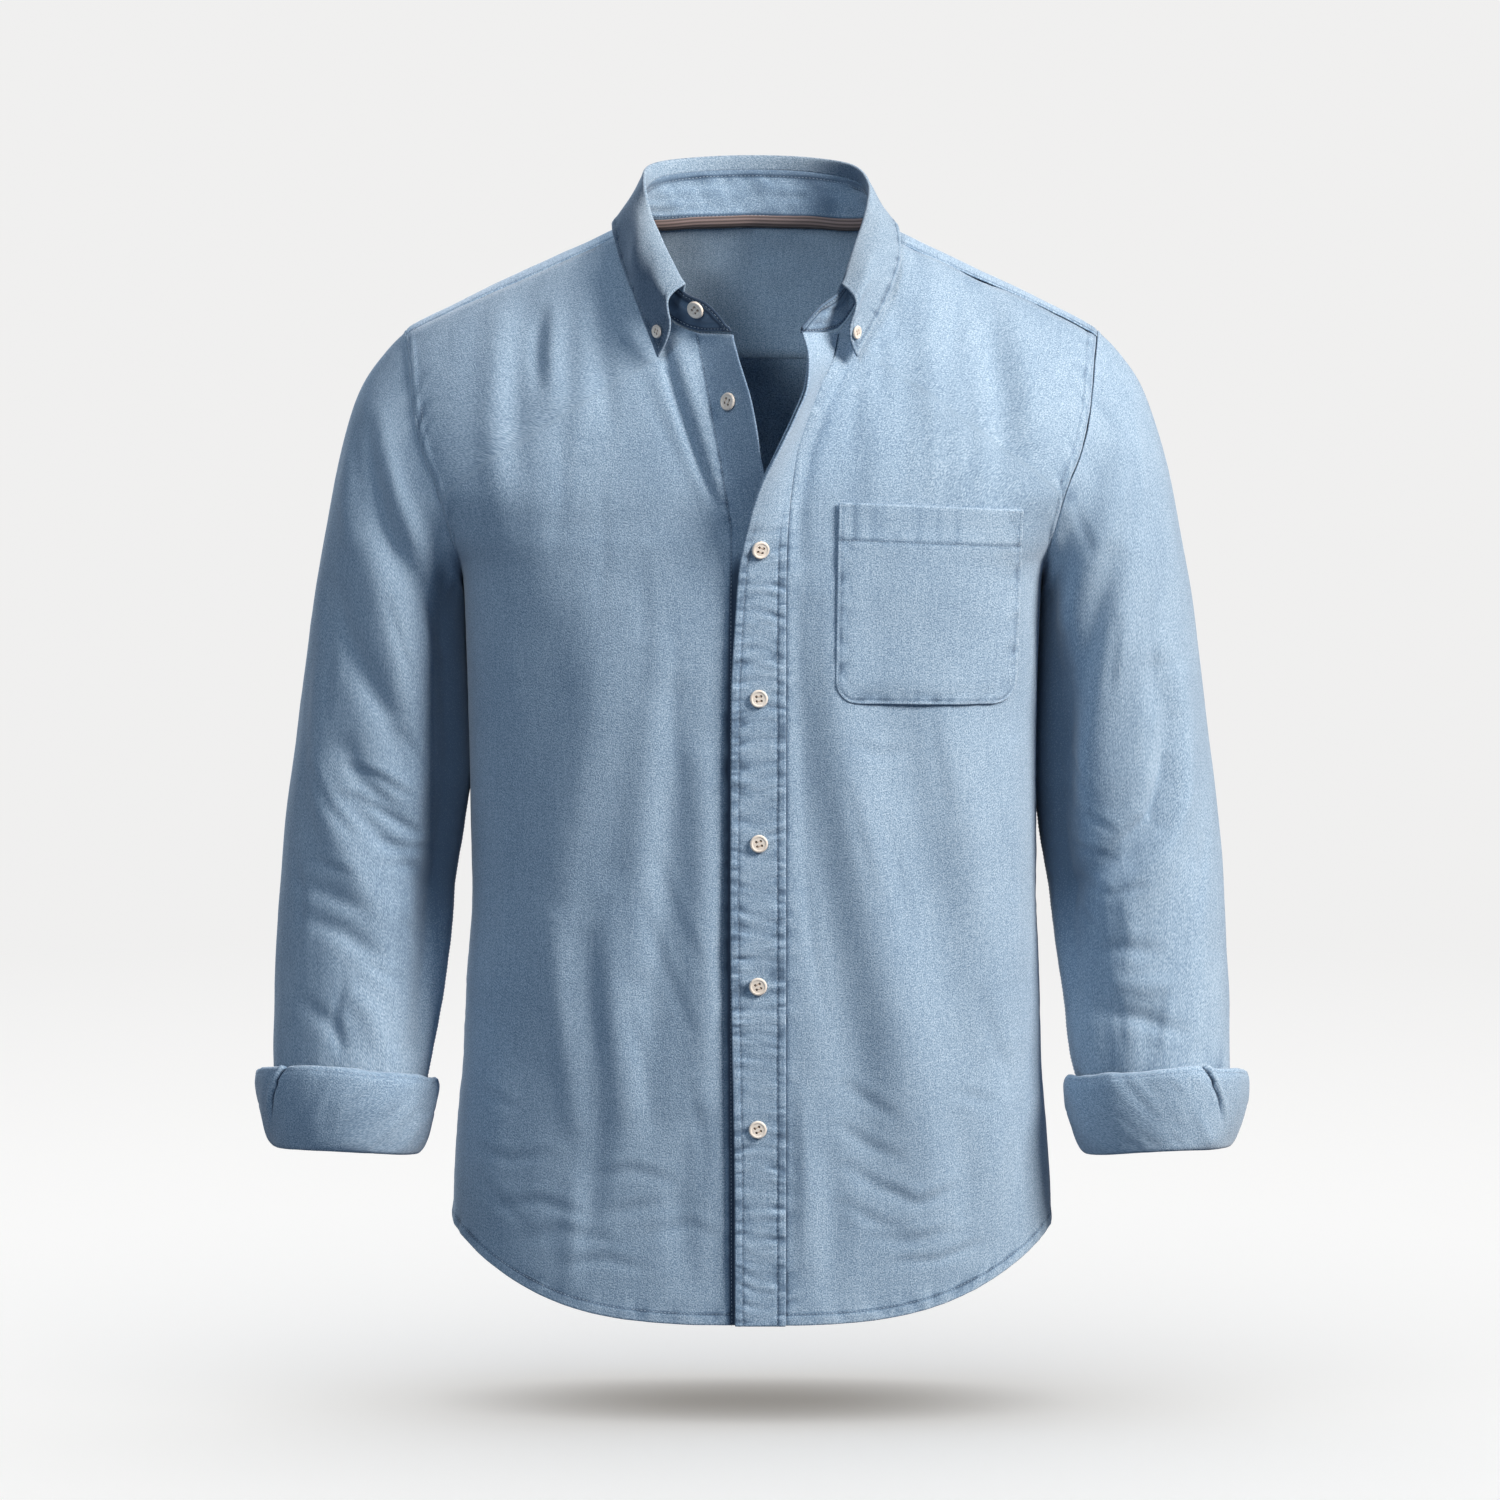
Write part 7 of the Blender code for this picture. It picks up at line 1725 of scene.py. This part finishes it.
studio = {
    "floorZ": -0.774, "start": 0.3, "flat": 7.5, "rim": 10.0, "wall": 7.0, "flatRings": 12, "bendRings": 20,
    "sides": 96, "paper": (0.86, 0.86, 0.855, 1), "unlit": (0.0, 0.0, 0.0, 1), "near": 0.9, "far": 2.6,
    "evenGlow": (0.872, 0.868, 0.864, 1), "glow": (0.250, 0.224, 0.186, 1),
    "overhead": 2.43, "overheadAngle": 120.0, "sky": (0.62, 0.82, 1.12, 1), "skyStrength": 0.15,
    "lamps": [  # name, place, height aimed at, power, colour, size, what it lights
        ("keyLight", (4.2, -2.4, 3.0), -0.35, 545.0, (1.0, 0.935, 0.865), 2.2, "litShirt"),
        ("fillLight", (-1.5, -4.5, 3.0), -0.3, 92.0, (0.84, 0.93, 1.0), 1.6, "litBody"),
        ("neckLight", (-1.9, -4.7, 1.75), 0.0, 75.0, (0.84, 0.93, 1.0), 0.9, "litNeck"),
        ("rearLight", (-1.2, 4.4, 1.8), -0.35, 150.0, (0.72, 0.87, 1.0), 2.4, "litShirt")],
    "unfilled": ("leaf", "back", "stand"),  # the fill leaves these in shade
    "neckPieces": ("yoke", "tape", "back", "stand"),
}
lens = {"sensor": 36.0, "pixels": 1500, "farthest": 100.0}


def paperBowl():  # floor that sweeps up all round, far behind any camera
    reach = studio["rim"] - studio["flat"]
    bend = np.linspace(0, np.pi / 2, studio["bendRings"] + 1)[1:]
    radii = np.concatenate([np.linspace(studio["start"], studio["flat"], studio["flatRings"]),
                            studio["flat"] + reach * np.sin(bend), [studio["rim"]]])
    heights = np.concatenate([np.zeros(studio["flatRings"]), reach * (1 - np.cos(bend)), [studio["wall"]]])
    around = np.linspace(0, 2 * np.pi, studio["sides"], endpoint=False)
    points = np.stack([radii[:, None] * np.cos(around), radii[:, None] * np.sin(around),
                       heights[:, None] + 0 * around + studio["floorZ"]], -1).reshape(-1, 3)
    middle = np.array([[0, 0, studio["floorZ"]]])
    faces = ringFaces(len(radii), studio["sides"]).tolist()
    faces += [(len(points), i, (i + 1) % studio["sides"]) for i in range(studio["sides"])]
    mesh = bpy.data.meshes.new("paper")
    mesh.from_pydata(np.vstack([points, middle]).tolist(), [], faces)
    mesh.shade_smooth()
    # lit from overhead beside the shirt, and glowing evenly further off
    paper = Finish("palePaper", Roughness=0.9, Specular_IOR_Level=0.0, Emission_Strength=1.0)
    spot = paper.node("ShaderNodeTexCoord", {}, 3)
    level = paper.node("ShaderNodeVectorMath", {"operation": "MULTIPLY"}, 0, i0=spot, i1=(1.0, 1.0, 0.0))
    off = paper.node("ShaderNodeVectorMath", {"operation": "LENGTH"}, 1, i0=level)
    far = ((off - studio["near"]) * (1 / (studio["far"] - studio["near"]))).clamped()
    paper.to("Base Color", paper.mixed(far, studio["paper"], studio["unlit"]))
    paper.to("Emission Color", paper.mixed(far, studio["glow"], studio["evenGlow"]))
    mesh.materials.append(paper.material)
    piece = bpy.data.objects.new("paper", mesh)
    bpy.context.scene.collection.objects.link(piece)
    piece.visible_diffuse = False
    return piece


def addLight(name, kind, place, aimed, power, colour, receivers, **shape):
    lamp = bpy.data.lights.new(name, kind)
    lamp.energy, lamp.color = power, colour
    for key, value in shape.items():
        setattr(lamp, key, value)
    light = bpy.data.objects.new(name, lamp)
    light.location = place
    light.rotation_euler = (Vector((0, 0, aimed)) - Vector(place)).to_track_quat("-Z", "Y").to_euler()
    bpy.context.scene.collection.objects.link(light)
    light.light_linking.receiver_collection = receivers


lit = {name: bpy.data.collections.new(name) for name in ("litPaper", "litShirt", "litBody", "litNeck")}
lit["litPaper"].objects.link(paperBowl())
for piece in pieces:
    lit["litShirt"].objects.link(piece)
    if not any(part in piece.name for part in studio["unfilled"]):
        lit["litBody"].objects.link(piece)
    if any(part in piece.name for part in studio["neckPieces"]):
        lit["litNeck"].objects.link(piece)
addLight("overhead", "SUN", (0, 0, 3), 0.0, studio["overhead"], (1, 1, 1), lit["litPaper"],
         angle=math.radians(studio["overheadAngle"]))
for name, place, aimed, power, colour, size, litBy in studio["lamps"]:
    addLight(name, "AREA", place, aimed, power, colour, lit[litBy], size=size)
world = bpy.data.worlds.new("softRoom")
world.use_nodes = True
sky = world.node_tree.nodes["Background"]
sky.inputs["Color"].default_value = studio["sky"]
sky.inputs["Strength"].default_value = studio["skyStrength"]
bpy.context.scene.world = world
bpy.context.scene.view_settings.view_transform = "Standard"

camera = bpy.data.objects.new("camera", bpy.data.cameras.new("camera"))
pitch = math.radians(view["pitch"])
ahead = Vector((0, math.cos(pitch), -math.sin(pitch)))
camera.location = (Vector(view["target"]) - ahead * view["distance"]) * mm
camera.rotation_euler = (math.pi / 2 - pitch, 0, 0)
camera.data.sensor_width = lens["sensor"]
camera.data.lens = lens["sensor"] * view["distance"] / (lens["pixels"] * view["mmPerPixel"])
camera.data.clip_end = lens["farthest"]
bpy.context.scene.collection.objects.link(camera)
bpy.context.scene.camera = camera
print("shirt: camera and light set")
